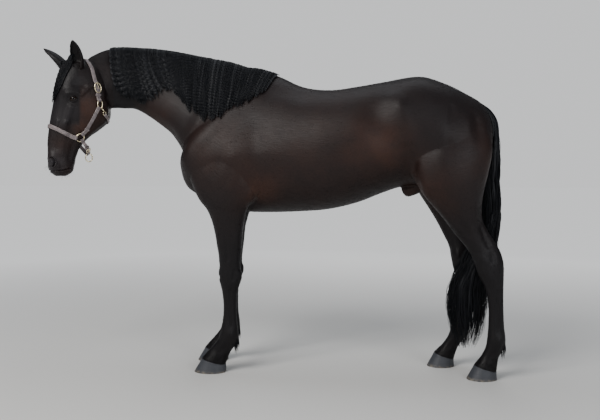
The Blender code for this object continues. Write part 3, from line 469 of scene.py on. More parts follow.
def numbers(items: bpy.types.bpy_prop_collection, name: str, width: int = 3) -> np.ndarray:
    """Read one property of every vertex, face or corner as rows.

    Args:
        items: The mesh's vertices, edges, faces or corners.
        name: The property's name.
        width: How many numbers each item has.

    Returns:
        One row for each item, or one number where the width is 1.
    """
    values = np.empty(len(items) * width)
    items.foreach_get(name, values)
    return values.reshape(-1, width) if width > 1 else values


def ring_section(row: np.ndarray, around: int) -> np.ndarray:
    """Offsets along (0 to 1) and across (metres) for one ring of a loft.

    Args:
        row: Half width, where it is widest, and how square it is at both ends.
        around: Places on the ring.

    Returns:
        One row for each place.
    """
    half_width, widest, square_first, square_second = row
    angle = 2 * pi * np.arange(around) / around
    c, s = np.cos(angle), np.sin(angle)
    power = 2.0 / np.where(c > 0, square_first, square_second)
    reach = np.abs(c) ** power
    along = np.where(c > 0, widest + (1 - widest) * reach, widest * (1 - reach))
    across = half_width * np.sign(s) * np.abs(s) ** power
    return np.stack((along, across), axis=1)


def loft_mesh(name: str, rings: np.ndarray, flat_ends: bool = False) -> bpy.types.Mesh:
    """A closed mesh through rings of equal length.

    Args:
        name: The mesh's name.
        rings: Rings of places, each of the same length.
        flat_ends: Close each end by one face, not by a fan.

    Returns:
        The mesh, its faces outward.
    """
    rings = np.asarray(rings, dtype=float)
    count, around = rings.shape[:2]
    points = rings.reshape(-1, 3)
    sides = tube_faces(count, around)
    loop = np.arange(around)
    last = (count - 1) * around
    if flat_ends:
        return outward(mesh_of(name, points, [sides, [loop], [loop + last]]))
    points = np.vstack([points, rings[0].mean(axis=0), rings[-1].mean(axis=0)])
    fans = [np.stack((base + loop, base + (loop + 1) % around, np.full(around, middle)), axis=1)
            for base, middle in ((0, count * around), (last, count * around + 1))]
    return outward(mesh_of(name, points, [sides, *fans]))


def smooth_shaded(mesh: bpy.types.Mesh, angle: float = 60.0) -> bpy.types.Mesh:
    """Shade a mesh smooth, with sharp edges past an angle in degrees.

    Args:
        mesh: The mesh.
        angle: The angle past which an edge is sharp.

    Returns:
        The same mesh.
    """
    mesh.shade_smooth()
    mesh.set_sharp_from_angle(angle=radians(angle))
    return mesh


def surface_tree(mesh: bpy.types.Mesh) -> BVHTree:
    """A search tree over a mesh.

    Args:
        mesh: The mesh.

    Returns:
        The tree.
    """
    shape = bmesh.new()
    shape.from_mesh(mesh)
    tree = BVHTree.FromBMesh(shape)
    shape.free()
    return tree


def with_value(mesh: bpy.types.Mesh, name: str, values: np.ndarray) -> None:
    """Store one number at each point of a mesh for its material to read."""
    layer = mesh.attributes.new(name, "FLOAT", "POINT")
    layer.data.foreach_set("value", np.ascontiguousarray(values, dtype=np.float32))


def write_map(mesh: bpy.types.Mesh, name: str, values: np.ndarray) -> None:
    """Store one map on a mesh, a row for each corner."""
    layer = mesh.uv_layers.new(name=name)
    layer.uv.foreach_set("vector", values.astype(np.float32).ravel())


def map_points(mesh: bpy.types.Mesh, name: str, places: np.ndarray) -> None:
    """Store one map on a mesh, told by a row for each point."""
    write_map(mesh, name, places[numbers(mesh.loops, "vertex_index", 1).astype(int)])


# ----------------------------------------------------------------- the skin


class Region(Enum):
    """Whose directions a swelling or groove is told in."""

    BODY = "body"
    NECK = "neck"
    HEAD = "head"
    FORE = "fore"
    HIND = "hind"


def placed(region: Region, x: np.ndarray, across: np.ndarray, z: np.ndarray) -> np.ndarray:
    """Places told in a region's directions, in the horse's own.

    Args:
        region: The body, the neck or the head.
        x: Places along X, or forward on the head.
        across: Places to the right, or to the left on the head.
        z: Heights.

    Returns:
        The places, one row each.
    """
    if region is Region.NECK:
        turn = BEND.turn(x)
        across = across / np.sqrt(1.0 + turn * turn)
        return np.stack((x - across * turn, BEND.offset(x) + across, z), axis=-1)
    places = np.stack((x, across, z), axis=-1)
    return FACE.points(places) if region is Region.HEAD else places


@dataclass(frozen=True)
class Form:
    """A swelling (+) or groove (-) along a line on the flesh.

    Places are X, side and height for body and neck, forward, side and height
    for the head, and X, outward from the leg's middle and height for a leg.
    """

    name: str
    region: Region
    line: tuple[tuple[float, float, float], ...]
    radius: float
    height: float

    @property
    def on_leg(self) -> bool:
        """Whether the form is told in a leg's directions."""
        return self.region in (Region.FORE, Region.HIND)

    def on_side(self, side: Side) -> np.ndarray:
        """The line's places on one side, in the horse's directions.

        Args:
            side: The side.

        Returns:
            The places, one row each.
        """
        x, out, z = np.array(self.line).T
        if self.on_leg:
            x = x - step_of(self.region is Region.FORE, side, z)
            out = LEG_SPREAD + out
        sign = -side.value if self.region is Region.HEAD else side.value
        return placed(self.region, x, sign * out, z)

    def sides(self) -> tuple[Side, ...]:
        """Both sides, or one where the line runs down the middle."""
        alone = not self.on_leg and all(place[1] == 0.0 for place in self.line)
        return (Side.LEFT,) if alone else (Side.LEFT, Side.RIGHT)


def forms(region: Region, *rows: tuple) -> tuple[Form, ...]:
    """The forms of one region.

    Args:
        region: Whose directions they are told in.
        rows: For each form its name, its radius, its height and the places of
            its line, in millimetres. A + before the name stands for two forms,
            on the outer and the inner face of the leg.

    Returns:
        The forms, in metres.
    """
    made = []
    for name, radius, height, *line in rows:
        for face in (1, -1) if name[0] == "+" else (1,):
            places = tuple((x / 1000, face * out / 1000, z / 1000) for x, out, z in line)
            made.append(Form(name.strip("+"), region, places, round(radius / 1000, 7),
                             round(height / 1000, 7)))
    return tuple(made)


MAIN_FORMS = forms(
    Region.BODY,
    ("shoulder point", 70, 12, (-610, 200, 1230), (-620, 190, 1180)),
    ("triceps", 100, 15, (-340, 250, 1200), (-300, 240, 1060)),
    ("behind the triceps", 60, -9, (-215, 250, 1340), (-190, 240, 1000)),
    ("blade spine", 45, 7, (-230, 150, 1560), (-520, 220, 1300)),
    ("before the blade", 40, -12, (-500, 180, 1460), (-640, 180, 1270)),
    ("breast muscle", 60, 14, (-640, 85, 1170), (-605, 90, 1060)),
    ("between the breasts", 28, -14, (-685, 0, 1250), (-640, 0, 1040)),
    ("withers hollow", 60, -8, (-120, 110, 1560), (20, 130, 1540)),
    ("hip point", 50, 12, (520, 245, 1530), (540, 250, 1500)),
    ("flank hollow", 75, -14, (420, 260, 1420), (480, 260, 1330)),
    ("rump muscle", 100, 12, (640, 170, 1580), (800, 170, 1540)),
    ("croup groove", 35, -8, (640, 0, 1660), (960, 0, 1540)),
    ("thigh", 110, 16, (780, 250, 1300), (760, 240, 1120)),
    ("thigh groove", 30, -9, (960, 190, 1430), (960, 190, 1060)),
    ("stifle", 50, 12, (690, 230, 1050), (700, 220, 1010)),
    ("flank fold", 35, -14, (590, 240, 1250), (640, 200, 1060)),
    ("girth line", 50, -10, (-280, 120, 930), (-240, 160, 960))
) + forms(
    Region.HEAD,
    ("eye rim", 22, 10, (138, 90, 1549), (88, 94, 1551)),
    ("hollow above the eye", 24, -8, (90, 85, 1594), (68, 85, 1582)),
    ("face crest", 18, 8, (120, 92, 1470), (150, 75, 1370)),
    ("under the crest", 26, -8, (110, 82, 1390), (120, 70, 1320)),
    ("cheek muscle", 65, 7, (10, 85, 1460), (-20, 85, 1430)),
    ("behind the jaw", 35, -12, (-130, 70, 1560), (-130, 70, 1480)),
    ("beside the nose", 26, -7, (195, 60, 1330), (200, 52, 1260)),
    ("nostril rim", 18, 9, (222, 50, 1195), (200, 58, 1160)),
    ("chin", 26, 7, (104, 0, 1175), (112, 0, 1150)),
    ("lower jaw channel", 20, -10, (-10, 0, 1320), (60, 0, 1250)))

FINE_FORMS = forms(
    Region.BODY,
    ("blade fore muscle", 50, 3, (-380, 190, 1480), (-570, 210, 1320)),
    ("blade rear muscle", 60, 3, (-250, 200, 1480), (-420, 240, 1300)),
    ("deltoid", 55, 2.5, (-400, 250, 1280), (-490, 240, 1150)),
    ("under the deltoid", 30, -2, (-375, 250, 1240), (-440, 250, 1120)),
    ("triceps split", 22, -1.8, (-300, 260, 1210), (-390, 260, 1050)),
    ("arm muscle", 34, 7, (-560, 190, 1120), (-530, 200, 1040)),
    ("elbow", 30, 10, (-245, 200, 1010), (-240, 195, 985)),
    ("elbow fold", 8, -4, (-205, 200, 1010), (-250, 160, 920)),
    ("elbow second fold", 7, -3, (-180, 205, 1000), (-220, 165, 915)),
    ("belly vein", 7, 2.2, (-160, 235, 1050), (20, 262, 1030), (260, 262, 1050)),
    ("thigh front muscle", 45, 8, (560, 255, 1450), (655, 245, 1140)),
    ("rump groove", 20, -5, (830, 230, 1470), (800, 260, 1300), (840, 250, 1080)),
    ("rear thigh bulge", 36, 6, (905, 215, 1400), (905, 225, 1160)),
    ("flank crease", 10, -4, (575, 240, 1200), (655, 190, 1020)),
    ("back muscle", 50, 5, (60, 90, 1600), (440, 100, 1620)),
    ("back groove", 18, -4, (60, 0, 1590), (480, 0, 1612)),
    ("sheath fold", 10, -4, (590, 45, 1010), (650, 48, 1030)),
    ("sheath mouth", 12, -10, (572, 0, 1006), (570, 0, 1016))
) + forms(
    Region.NECK,
    ("jugular groove", 17, -8, (-1020, 80, 1530), (-860, 88, 1475), (-720, 110, 1360),
     (-640, 120, 1240)),
    ("neck strap muscle", 45, 7, (-1010, 85, 1590), (-820, 105, 1510), (-640, 160, 1350)),
    ("windpipe", 28, 5, (-1000, 30, 1490), (-840, 40, 1420), (-720, 50, 1300)),
    ("neck base hollow", 50, -7, (-660, 130, 1550), (-540, 170, 1450)),
    ("crest groove", 30, -6, (-1000, 60, 1740), (-600, 85, 1700)),
    ("throat fold", 8, -4, (-1060, 80, 1600), (-1025, 70, 1505)),
    ("throat second fold", 7, -3, (-1030, 85, 1590), (-998, 72, 1500))
) + forms(
    Region.HEAD,
    ("cheek arch", 12, 6, (62, 100, 1546), (24, 97, 1584), (-20, 88, 1610)),
    ("brow bone", 11, 6, (54, 88, 1572), (96, 83, 1571), (136, 70, 1560)),
    ("brow fold", 5, -3.5, (66, 101, 1552), (102, 97, 1558), (134, 84, 1551)),
    ("temple hollow", 17, -7, (64, 81, 1614), (50, 82, 1602)),
    ("jaw joint", 16, 5, (-12, 88, 1588), (-16, 88, 1572)),
    ("cheek rear edge", 16, 5, (-60, 80, 1560), (-96, 78, 1470), (-70, 78, 1400)),
    ("cheek lower edge", 14, 4, (-60, 75, 1395), (10, 64, 1325)),
    ("before the cheek", 14, -5, (66, 86, 1470), (75, 78, 1400), (55, 68, 1330)),
    ("tear vein", 4.2, 2.4, (138, 92, 1488), (152, 81, 1430), (170, 66, 1365), (168, 60, 1300)),
    ("jaw vein", 4.5, 2.6, (30, 74, 1330), (84, 80, 1372), (136, 78, 1402)),
    ("crest end", 10, 4, (146, 78, 1396), (150, 75, 1384)),
    ("nose muscle", 9, 3, (186, 56, 1400), (205, 46, 1250)),
    ("nose notch", 12, -5, (213, 46, 1292), (218, 42, 1245)),
    ("nose bridge", 22, 3, (200, 0, 1500), (232, 0, 1280)),
    ("lip muscle", 12, 3.5, (150, 56, 1330), (165, 54, 1220)),
    ("bars hollow", 20, -6, (100, 52, 1300), (120, 50, 1200)),
    ("lip groove", 7, -3, (236, 0, 1190), (230, 0, 1128)),
    ("upper lip", 14, 4, (226, 26, 1150), (190, 46, 1146)),
    ("chin beard", 24, 5, (118, 0, 1136), (140, 0, 1112))
) + forms(
    Region.FORE,
    ("knee cap", 16, 4, (-438, 16, 572), (-438, 16, 556)),
    ("knee inner cap", 16, 4, (-438, -18, 572), (-438, -18, 556)),
    ("knee crease", 7, -3, (-440, -30, 540), (-440, 30, 540)),
    ("knee low bones", 12, 3, (-436, -22, 520), (-436, 22, 520)),
    ("knee rear bone", 16, 7, (-316, 10, 562), (-316, 12, 538)),
    ("knee side hollow", 12, -4, (-345, 45, 575), (-350, 45, 530)),
    ("forearm front muscle", 30, 6, (-440, 50, 870), (-420, 40, 720)),
    ("forearm groove", 11, -6, (-402, 74, 910), (-380, 50, 640)),
    ("forearm rear muscle", 26, 5, (-330, 50, 880), (-336, 40, 730)),
    ("forearm vein", 6, 3, (-410, -50, 630), (-430, -62, 740), (-446, -70, 880)),
    ("+cannon groove", 7, -5, (-374, 34, 470), (-372, 34, 260)),
    ("+sinew groove", 5, -2.5, (-352, 28, 450), (-350, 30, 270)),
    ("+fetlock", 18, 5, (-372, 42, 222), (-366, 40, 196)),
    ("+pastern hollow", 14, -4, (-400, 36, 150), (-430, 36, 120))
) + forms(
    Region.HIND,
    ("gaskin groove", 14, -7, (800, 86, 980), (850, 70, 890), (930, 50, 790)),
    ("gaskin front muscle", 28, 6, (770, 70, 930), (860, 55, 820)),
    ("gaskin rear muscle", 32, 6, (930, 70, 980), (950, 60, 890)),
    ("+heel cord hollow", 18, -7.5, (985, 40, 840), (1030, 40, 735)),
    ("hock outer knob", 17, 6, (990, 48, 672), (1000, 48, 655)),
    ("hock inner knob", 19, 7, (985, -50, 668), (992, -50, 650)),
    ("hock front cord", 10, 4, (930, 10, 700), (1000, 6, 590)),
    ("hock side hollow", 14, -5, (1050, 46, 690), (1055, 48, 650)),
    ("hock low bones", 14, 3, (1020, 44, 590), (1040, 42, 560)),
    ("+hind groove", 7, -5, (1080, 34, 490), (1084, 34, 260)),
    ("+hind sinew", 5, -2.5, (1104, 26, 470), (1106, 28, 270)),
    ("+hind fetlock", 18, 5, (1094, 42, 222), (1098, 40, 196)),
    ("+hind pastern", 14, -4, (1060, 36, 150), (1040, 36, 120)))


# Wrinkles round the eye, pressed in after the lids.
EYE_FORMS = forms(
    Region.HEAD,
    ("inner corner fold", 2.2, -2.2, (121, 90, 1511), (136, 90, 1505), (150, 86, 1503)),
    ("inner corner lower fold", 2, -1.4, (120, 92, 1503), (134, 90, 1495), (146, 86, 1494)),
    ("first wrinkle below", 2.2, -1.3, (128, 92, 1492), (106, 96, 1484), (84, 98, 1489)),
    ("second wrinkle below", 2.2, -1, (122, 92, 1481), (102, 95, 1475), (84, 97, 1480)),
    ("third wrinkle below", 2.2, -0.8, (116, 91, 1471), (98, 94, 1467)),
    ("brow wrinkle", 2.6, -1.4, (70, 94, 1551), (98, 94, 1559), (128, 88, 1555)),
    ("upper brow wrinkle", 2.8, -1.2, (86, 90, 1566), (112, 86, 1570), (138, 80, 1563)),
    ("outer corner fold", 2, -1.2, (78, 98, 1520), (66, 100, 1515)))


def line_distance(points: np.ndarray, line: np.ndarray) -> tuple[np.ndarray, np.ndarray]:
    """Distance of points from a line of places, and how far along it they are.

    Args:
        points: Places, one row each.
        line: The line's places.

    Returns:
        The distance and the share of the line (0 at its start, 1 at its end).
    """
    best = np.full(len(points), np.inf)
    where = np.zeros(len(points))
    for i in range(len(line) - 1):
        run = line[i + 1] - line[i]
        share = np.clip((points - line[i]) @ run / max(run @ run, 1e-12), 0.0, 1.0)
        distance = np.linalg.norm(points - line[i] - share[:, None] * run, axis=1)
        nearer = distance < best
        best = np.where(nearer, distance, best)
        where = np.where(nearer, (i + share) / (len(line) - 1), where)
    return best, where


class Sculpt:
    """A mesh held as arrays, so that its points can be pushed about."""

    def __init__(self, obj: bpy.types.Object) -> None:
        """Read an object's mesh.

        Args:
            obj: The object whose mesh is shaped.
        """
        self.obj = obj
        mesh = obj.data
        self.points = numbers(mesh.vertices, "co")
        self.edges = numbers(mesh.edges, "vertices", 2).astype(np.int64)
        self.count = np.maximum(np.bincount(self.edges.ravel(), minlength=len(self.points)), 1)

    def write(self) -> None:
        """Put the points back in the mesh."""
        self.obj.data.vertices.foreach_set("co", self.points.astype(np.float32).ravel())
        self.obj.data.update()

    def normals(self) -> np.ndarray:
        """Outward directions at the points."""
        self.write()
        return numbers(self.obj.data.vertices, "normal")

    def mean(self) -> np.ndarray:
        """The mean place of each point's neighbours.

        Returns:
            One row for each point.
        """
        first, second = self.edges.T
        total = np.empty_like(self.points)
        for axis in range(3):
            along = self.points[:, axis]
            total[:, axis] = np.bincount(first, along[second], len(along))
            total[:, axis] += np.bincount(second, along[first], len(along))
        return total / self.count[:, None]

    def relax(self, rounds: int, weight: np.ndarray | float = 1.0, ease: float = 0.5,
              swell: float = -0.52) -> None:
        """Smooth the mesh without shrinking it.

        Args:
            rounds: How often the points ease towards their neighbours.
            weight: How much each point takes part.
            ease: Share of the way that a point moves to its neighbours' mean.
            swell: The step back that keeps the size.
        """
        amount = np.broadcast_to(np.asarray(weight, dtype=float), len(self.points))[:, None]
        for _ in range(rounds):
            for step in (ease, swell):
                self.points += step * amount * (self.mean() - self.points)

    def raise_forms(self, raised: tuple[Form, ...]) -> None:
        """Push out the swellings and press in the grooves.

        Args:
            raised: The forms.
        """
        normals = self.normals()
        amount = np.zeros(len(self.points))
        for form in raised:
            for side in form.sides():
                line = form.on_side(side)
                reach = 3.0 * form.radius
                near = np.all((self.points > line.min(axis=0) - reach)
                              & (self.points < line.max(axis=0) + reach), axis=1)
                distance, _ = line_distance(self.points[near], line)
                amount[near] += form.height * hump(distance, 0.0, form.radius)
        self.points += normals * amount[:, None]


@dataclass(frozen=True)
class Ear:
    """A cupped ear: its base, tip, the way it opens and how far it curls."""

    side: Side
    base: tuple[float, float, float]
    tip: tuple[float, float, float]
    opening: tuple[float, float, float]
    curl: float = -0.008
    wall: float = 0.0062
    # share of length, half width, depth of the cup, opening half angle
    stations: tuple[tuple[float, float, float, float], ...] = (
        (0.00, 0.029, 0.027, 40.0), (0.14, 0.034, 0.030, 50.0), (0.32, 0.037, 0.029, 62.0),
        (0.52, 0.036, 0.025, 68.0), (0.72, 0.030, 0.019, 70.0), (0.88, 0.020, 0.012, 70.0),
        (1.00, 0.0060, 0.0055, 70.0))

    def frame(self) -> tuple[Vector, Vector, Vector, float]:
        """The ear's axis, the way it opens, its width's direction and its length.

        Returns:
            Three directions and a length.
        """
        base, tip = FACE.point(*self.base), FACE.point(*self.tip)
        axis = tip - base
        length = axis.length
        axis.normalize()
        opening = FACE.direction(*self.opening)
        face = (opening - axis * opening.dot(axis)).normalized()
        return axis, face, axis.cross(face), length

    def centre(self, share: float) -> Vector:
        """The middle of the ear's cup at a share of its length."""
        axis, face, _, length = self.frame()
        return FACE.point(*self.base) + axis * length * share + face * self.curl * sin(pi * share)

    def mesh(self) -> bpy.types.Mesh:
        """The ear as a closed cupped shell.

        Returns:
            The mesh.
        """
        _, face, wide, _ = self.frame()
        around = 25
        rings = []
        for share, half, depth, gape in smooth_between(self.stations, 6):
            start = radians(gape)
            angle = start + (2 * pi - 2 * start) * np.arange(around) / (around - 1)
            wall = min(self.wall, depth * 0.9)
            outer = np.stack((np.cos(angle) * depth, np.sin(angle) * half), axis=1)
            inner = np.stack((np.cos(angle) * (depth - wall),
                              np.sin(angle) * max(half - wall, 0.0005)), axis=1)
            flat = np.vstack([outer, inner[::-1]])
            ring = np.array(self.centre(share)) + flat[:, :1] * np.array(face)
            rings.append(ring + flat[:, 1:] * np.array(wide))
        return loft_mesh(f"ear shell {self.side.word}", rings, flat_ends=True)


EARS = (
    Ear(Side.LEFT, (0.070, 0.062, 1.684), (0.108, 0.092, 1.832), (0.75, 0.65, 0.0)),
    Ear(Side.RIGHT, (0.108, -0.068, 1.690), (0.220, -0.121, 1.804), (0.80, -0.60, -0.3)),
)


@dataclass(frozen=True)
class EyeOpening:
    """The lids of one eye: an almond opening over the eyeball."""

    side: Side
    ball: float = 0.0235        # radius of the eyeball
    sunk: float = 0.0042        # how much deeper it sits than the solid's
    half_length: float = 0.0208
    upper: float = 0.0112       # height of the upper lid's edge over the middle line
    lower: float = 0.0092
    lid: float = 0.0024         # thickness of the lids' edge
    mound: float = 0.042        # how far from the middle the lids reach

    def centre(self) -> np.ndarray:
        """The middle of the eyeball."""
        forward, side, height = EYE_PLACE
        return np.array(FACE.point(forward, -self.side.value * (side - self.sunk), height))

    def axes(self) -> tuple[np.ndarray, np.ndarray, np.ndarray]:
        """Directions along the lids to the inner corner, up, and out of the head.

        Returns:
            Three directions.
        """
        sign = -self.side.value
        out = np.array(FACE.direction(0.34, sign * 0.94, 0.04).normalized())
        along = np.array(FACE.direction(0.90, -sign * 0.30, -0.33))
        along = unit(along - out * (along @ out))
        up = np.cross(out, along) * sign
        return along, up * np.sign(up[2]), out

    def flat(self, points: np.ndarray) -> tuple[np.ndarray, np.ndarray, np.ndarray]:
        """Places along, up and out of the eye.

        Args:
            points: Places in the horse's directions, one row each.

        Returns:
            The three numbers of each place.
        """
        along, up, out = self.axes()
        offset = points - self.centre()
        return offset @ along, offset @ up, offset @ out

    def edge(self, u: np.ndarray) -> tuple[np.ndarray, np.ndarray]:
        """Heights of the upper and lower lid edges at places along the eye.

        Args:
            u: Places along the eye.

        Returns:
            Heights of the upper and of the lower edge.
        """
        t = np.clip(u / self.half_length, -1.0, 1.0)
        bow = 1.0 - t * t
        skew = 1.0 + 0.22 * t
        dip = -0.0022 * smooth_step(0.55, 1.0, t)
        return self.upper * bow ** 0.70 * skew + dip, -self.lower * bow ** 0.85 + dip

    def ring(self, count: int) -> np.ndarray:
        """The opening's outline as places along and up.

        Args:
            count: Places on the outline.

        Returns:
            One row for each place.
        """
        angle = 2 * pi * np.arange(count) / count
        u = self.half_length * np.cos(angle)
        high, low = self.edge(u)
        return np.stack((u, np.where(np.sin(angle) >= 0, high, low)), axis=1)


@dataclass
class Skin:
    """The one skin over all the flesh, from the crown down to the coronets."""

    voxel: float = 0.0042
    coat_depth: float = 0.0025
    budget: int = 138000        # triangles before the face is refined
    obj: bpy.types.Object | None = None
    tree: BVHTree | None = None

    def rough(self) -> bpy.types.Object:
        """All the lofts of the flesh, fused to one closed surface.

        Returns:
            The object.
        """
        meshes = []
        for table, region in ((TRUNK, Region.BODY), (SHEATH, Region.BODY), (NECK, Region.NECK),
                              (HEAD, Region.HEAD)):
            meshes.append(loft_mesh("loft", [placed(region, *ring[:3])
                                             for ring in self.rings(table)]))
        for side in Side:
            meshes.extend(self.leg(fore, side) for fore in (True, False))
        meshes.extend(ear.mesh() for ear in EARS)
        whole = joined("skin", meshes)
        remesh = whole.modifiers.new("fuse", "REMESH")
        remesh.mode = "VOXEL"
        remesh.voxel_size = self.voxel
        return baked(whole)

    @staticmethod
    def rings(table: tuple | list, steps: int = 6, around: int = 72) -> Iterator[tuple]:
        """The rings through a table.

        Args:
            table: Rows as ring_rows gives them.
            steps: Rings for each row.
            around: Places on a ring.

        Yields:
            Places along, across and up, and the row that they come from.
        """
        for row in smooth_between(table, steps):
            share, across = ring_section(row[-4:], around).T
            yield (row[2] + (row[0] - row[2]) * share, across,
                   row[3] + (row[1] - row[3]) * share, row)

    @classmethod
    def leg(cls, fore: bool, side: Side) -> bpy.types.Mesh:
        """A leg, down to its coronet and a little into the hoof.

        Args:
            fore: Whether it is a fore leg.
            side: The leg's side.

        Returns:
            The leg's mesh.
        """
        table = FORE_LEG if fore else HIND_LEG
        inside = np.array(table[-1]) + (0.006, -0.012, -0.012, -0.010, 0.0, -0.008, 0.0, 0.0, 0.0)
        return loft_mesh("leg loft", [
            np.stack((x - step_of(fore, side, z), side.value * row[4] + across, z), axis=1)
            for x, across, z, row in cls.rings([*table, tuple(inside)])])

    def build(self) -> bpy.types.Object:
        """Make the skin, its folds, lids, nostrils and lips.

        Returns:
            The skin's object.
        """
        self.obj = self.rough()
        work = Sculpt(self.obj)
        local = FACE.local(work.points)
        ears = smooth_step(1.700, 1.725, local[:, 2]) * smooth_step(-0.03, 0.0, local[:, 0])
        work.relax(30, 1.0 - ears)
        work.relax(16, ears)
        hips = (work.points * (1, 0, 1) - (0.74, 0, 1.34)) / (0.26, 1.0, 0.13)
        work.relax(60, np.exp(-(hips ** 2).sum(axis=1)) * (np.abs(work.points[:, 1]) > 0.10))
        work.raise_forms(MAIN_FORMS)
        work.relax(10, 1.0 - ears)
        work.raise_forms(FINE_FORMS)
        work.relax(2, 1.0 - ears)
        feet = 1.0 - 0.6 * smooth_step(0.5, 0.2, work.points[:, 2])
        face = 1.0 - 0.6 * smooth_step(-0.05, 0.05, local[:, 0]) * (local[:, 0] < 0.3)
        inset = self.coat_depth * feet * face * (1.0 - ears)
        work.points -= work.normals() * inset[:, None]
        work.write()
        self.thin()
        self.refine()
        self.model_face()
        self.open_lids()
        smooth_shaded(self.obj.data, 62.0)
        self.tree = surface_tree(self.obj.data)
        return self.obj

    @staticmethod
    def head_share(points: np.ndarray) -> np.ndarray:
        """1 on the head and ears, 0 behind them.

        Args:
            points: Places in the horse's directions, one row each.

        Returns:
            One number for each place.
        """
        local = FACE.local(points)
        return ((local[:, 0] > -0.125) & (local[:, 2] > 1.05)
                & (points[:, 0] < -1.03)).astype(float)

    def thin(self) -> None:
        """Fewer triangles on the body; the head keeps all of its own."""
        mesh = self.obj.data
        points = numbers(mesh.vertices, "co")
        body = np.flatnonzero(self.head_share(points) < 0.5)
        group = self.obj.vertex_groups.new(name="body")
        group.add(body.tolist(), 1.0, "REPLACE")
        triangles = sum(len(face.vertices) - 2 for face in mesh.polygons)
        thin = self.obj.modifiers.new("thin", "DECIMATE")
        thin.ratio = self.budget / triangles
        thin.vertex_group = "body"
        thin.vertex_group_factor = 0.001
        thin.use_collapse_triangulate = True
        baked(self.obj)
        self.obj.vertex_groups.clear()
        LOG.info("skin thinned from %d to %d triangles", triangles, len(self.obj.data.polygons))

    def refine(self) -> None:
        """Divide the faces round the eyes, nostrils and lips."""
        shape = bmesh.new()
        shape.from_mesh(self.obj.data)
        spots = [(opening.centre(), 1.15) for opening in EYES]
        spots += [(np.array(FACE.point(0.213, side * 0.040, 1.180)), 1.0) for side in (-1, 1)]
        for reach, lips in ((0.040, 0.016), (0.034, 0.009)):
            shape.verts.index_update()
            shape.verts.ensure_lookup_table()
            points = np.array([v.co for v in shape.verts])
            local = FACE.local(points)
            close = (np.abs(local[:, 2] - 1.134) < lips) & (local[:, 0] > 0.100)
            for centre, scale in spots:
                close |= np.linalg.norm(points - centre, axis=1) < reach * scale
            edges = [e for e in shape.edges
                     if close[e.verts[0].index] and close[e.verts[1].index]]
            bmesh.ops.subdivide_edges(shape, edges=edges, cuts=1, use_grid_fill=True)
            bmesh.ops.triangulate(shape, faces=shape.faces)
        shape.to_mesh(self.obj.data)
        shape.free()

    def model_face(self) -> None:
        """Lids over the eyeballs, nostrils, and the line of the mouth."""
        work = Sculpt(self.obj)
        near = self.head_share(work.points)
        work.relax(5, near * (FACE.local(work.points)[:, 2] < 1.69))
        for opening in EYES:
            self.model_lids(work, opening)
        work.raise_forms(EYE_FORMS)
        for side in Side:
            self.model_nostril(work, side)
        self.model_mouth(work)
        work.write()

    @staticmethod
    def model_lids(work: Sculpt, opening: EyeOpening) -> None:
        """Lay the skin round one eye over the eyeball as two lids.

        Args:
            work: The skin that is shaped.
            opening: The eye's opening.
        """
        u, v, w = opening.flat(work.points)
        reach = np.hypot(u, v * 1.15)
        near = (w > 0.0) & (reach < opening.mound * 1.2)
        offset = work.points[near] - opening.centre()
        radius = np.linalg.norm(offset, axis=1)
        u, v, reach = u[near], v[near], reach[near]
        high, low = opening.edge(u)
        above = np.maximum(v - high, low - v)
        above = np.where(np.abs(u) > opening.half_length,
                         np.maximum(above, np.abs(u) - opening.half_length), above)
        crease = 0.0024 * hump(above, 0.0075, 0.0014) + 0.0014 * hump(above, 0.0125, 0.0016)
        pouch = 0.0017 * hump(above, 0.0068, 0.0014) + 0.0013 * hump(above, 0.0120, 0.0016)
        swell = 0.0012 * hump(above, 0.0035, 0.0026)
        hood = 0.0016 * hump(above, 0.0100, 0.0022) * (v > 0)
        lid = opening.ball + opening.lid + swell + hood - np.where(v > 0, crease, pouch)
        share = 1.0 - smooth_step(0.0175, opening.mound, reach)
        target = radius + (lid - radius) * share
        work.points[near] = opening.centre() + offset / radius[:, None] * target[:, None]

    @staticmethod
    def model_nostril(work: Sculpt, side: Side) -> None:
        """Hollow one comma-shaped nostril and raise the rim round it.

        Args:
            work: The skin that is shaped.
            side: The nostril's side.
        """
        sign = -side.value
        path = smooth_between([(forward, sign * out, height) for forward, out, height in (
            (0.230, 0.022, 1.198), (0.224, 0.034, 1.203), (0.214, 0.045, 1.197),
            (0.206, 0.052, 1.182), (0.206, 0.052, 1.166), (0.212, 0.047, 1.154))], 4)
        line = FACE.points(path)
        near = np.linalg.norm(work.points - np.array(FACE.point(0.213, sign * 0.042, 1.180)),
                              axis=1) < 0.050
        spots = work.points[near]
        distance, share = line_distance(spots, line)
        half = np.interp(share, np.linspace(0, 1, 6),
                         (0.0016, 0.0034, 0.0052, 0.0066, 0.0064, 0.0030))
        normals = work.normals()[near]
        inward = np.array(FACE.direction(-0.62, -sign * 0.62, 0.48).normalized())
        pit = smooth_step(half + 0.0016, half - 0.0036, distance)
        rim = 0.0030 * hump(distance - half, 0.0034, 0.0034)
        wing_place = np.array(FACE.point(0.2235, sign * 0.036, 1.1760))
        wing = 0.0018 * hump(np.linalg.norm(spots - wing_place, axis=1), 0.0, 0.012)
        lift = (rim * (0.6 + 0.8 * share) + wing) * (1.0 - pit)
        work.points[near] = spots + normals * lift[:, None] + inward * (0.017 * pit)[:, None]

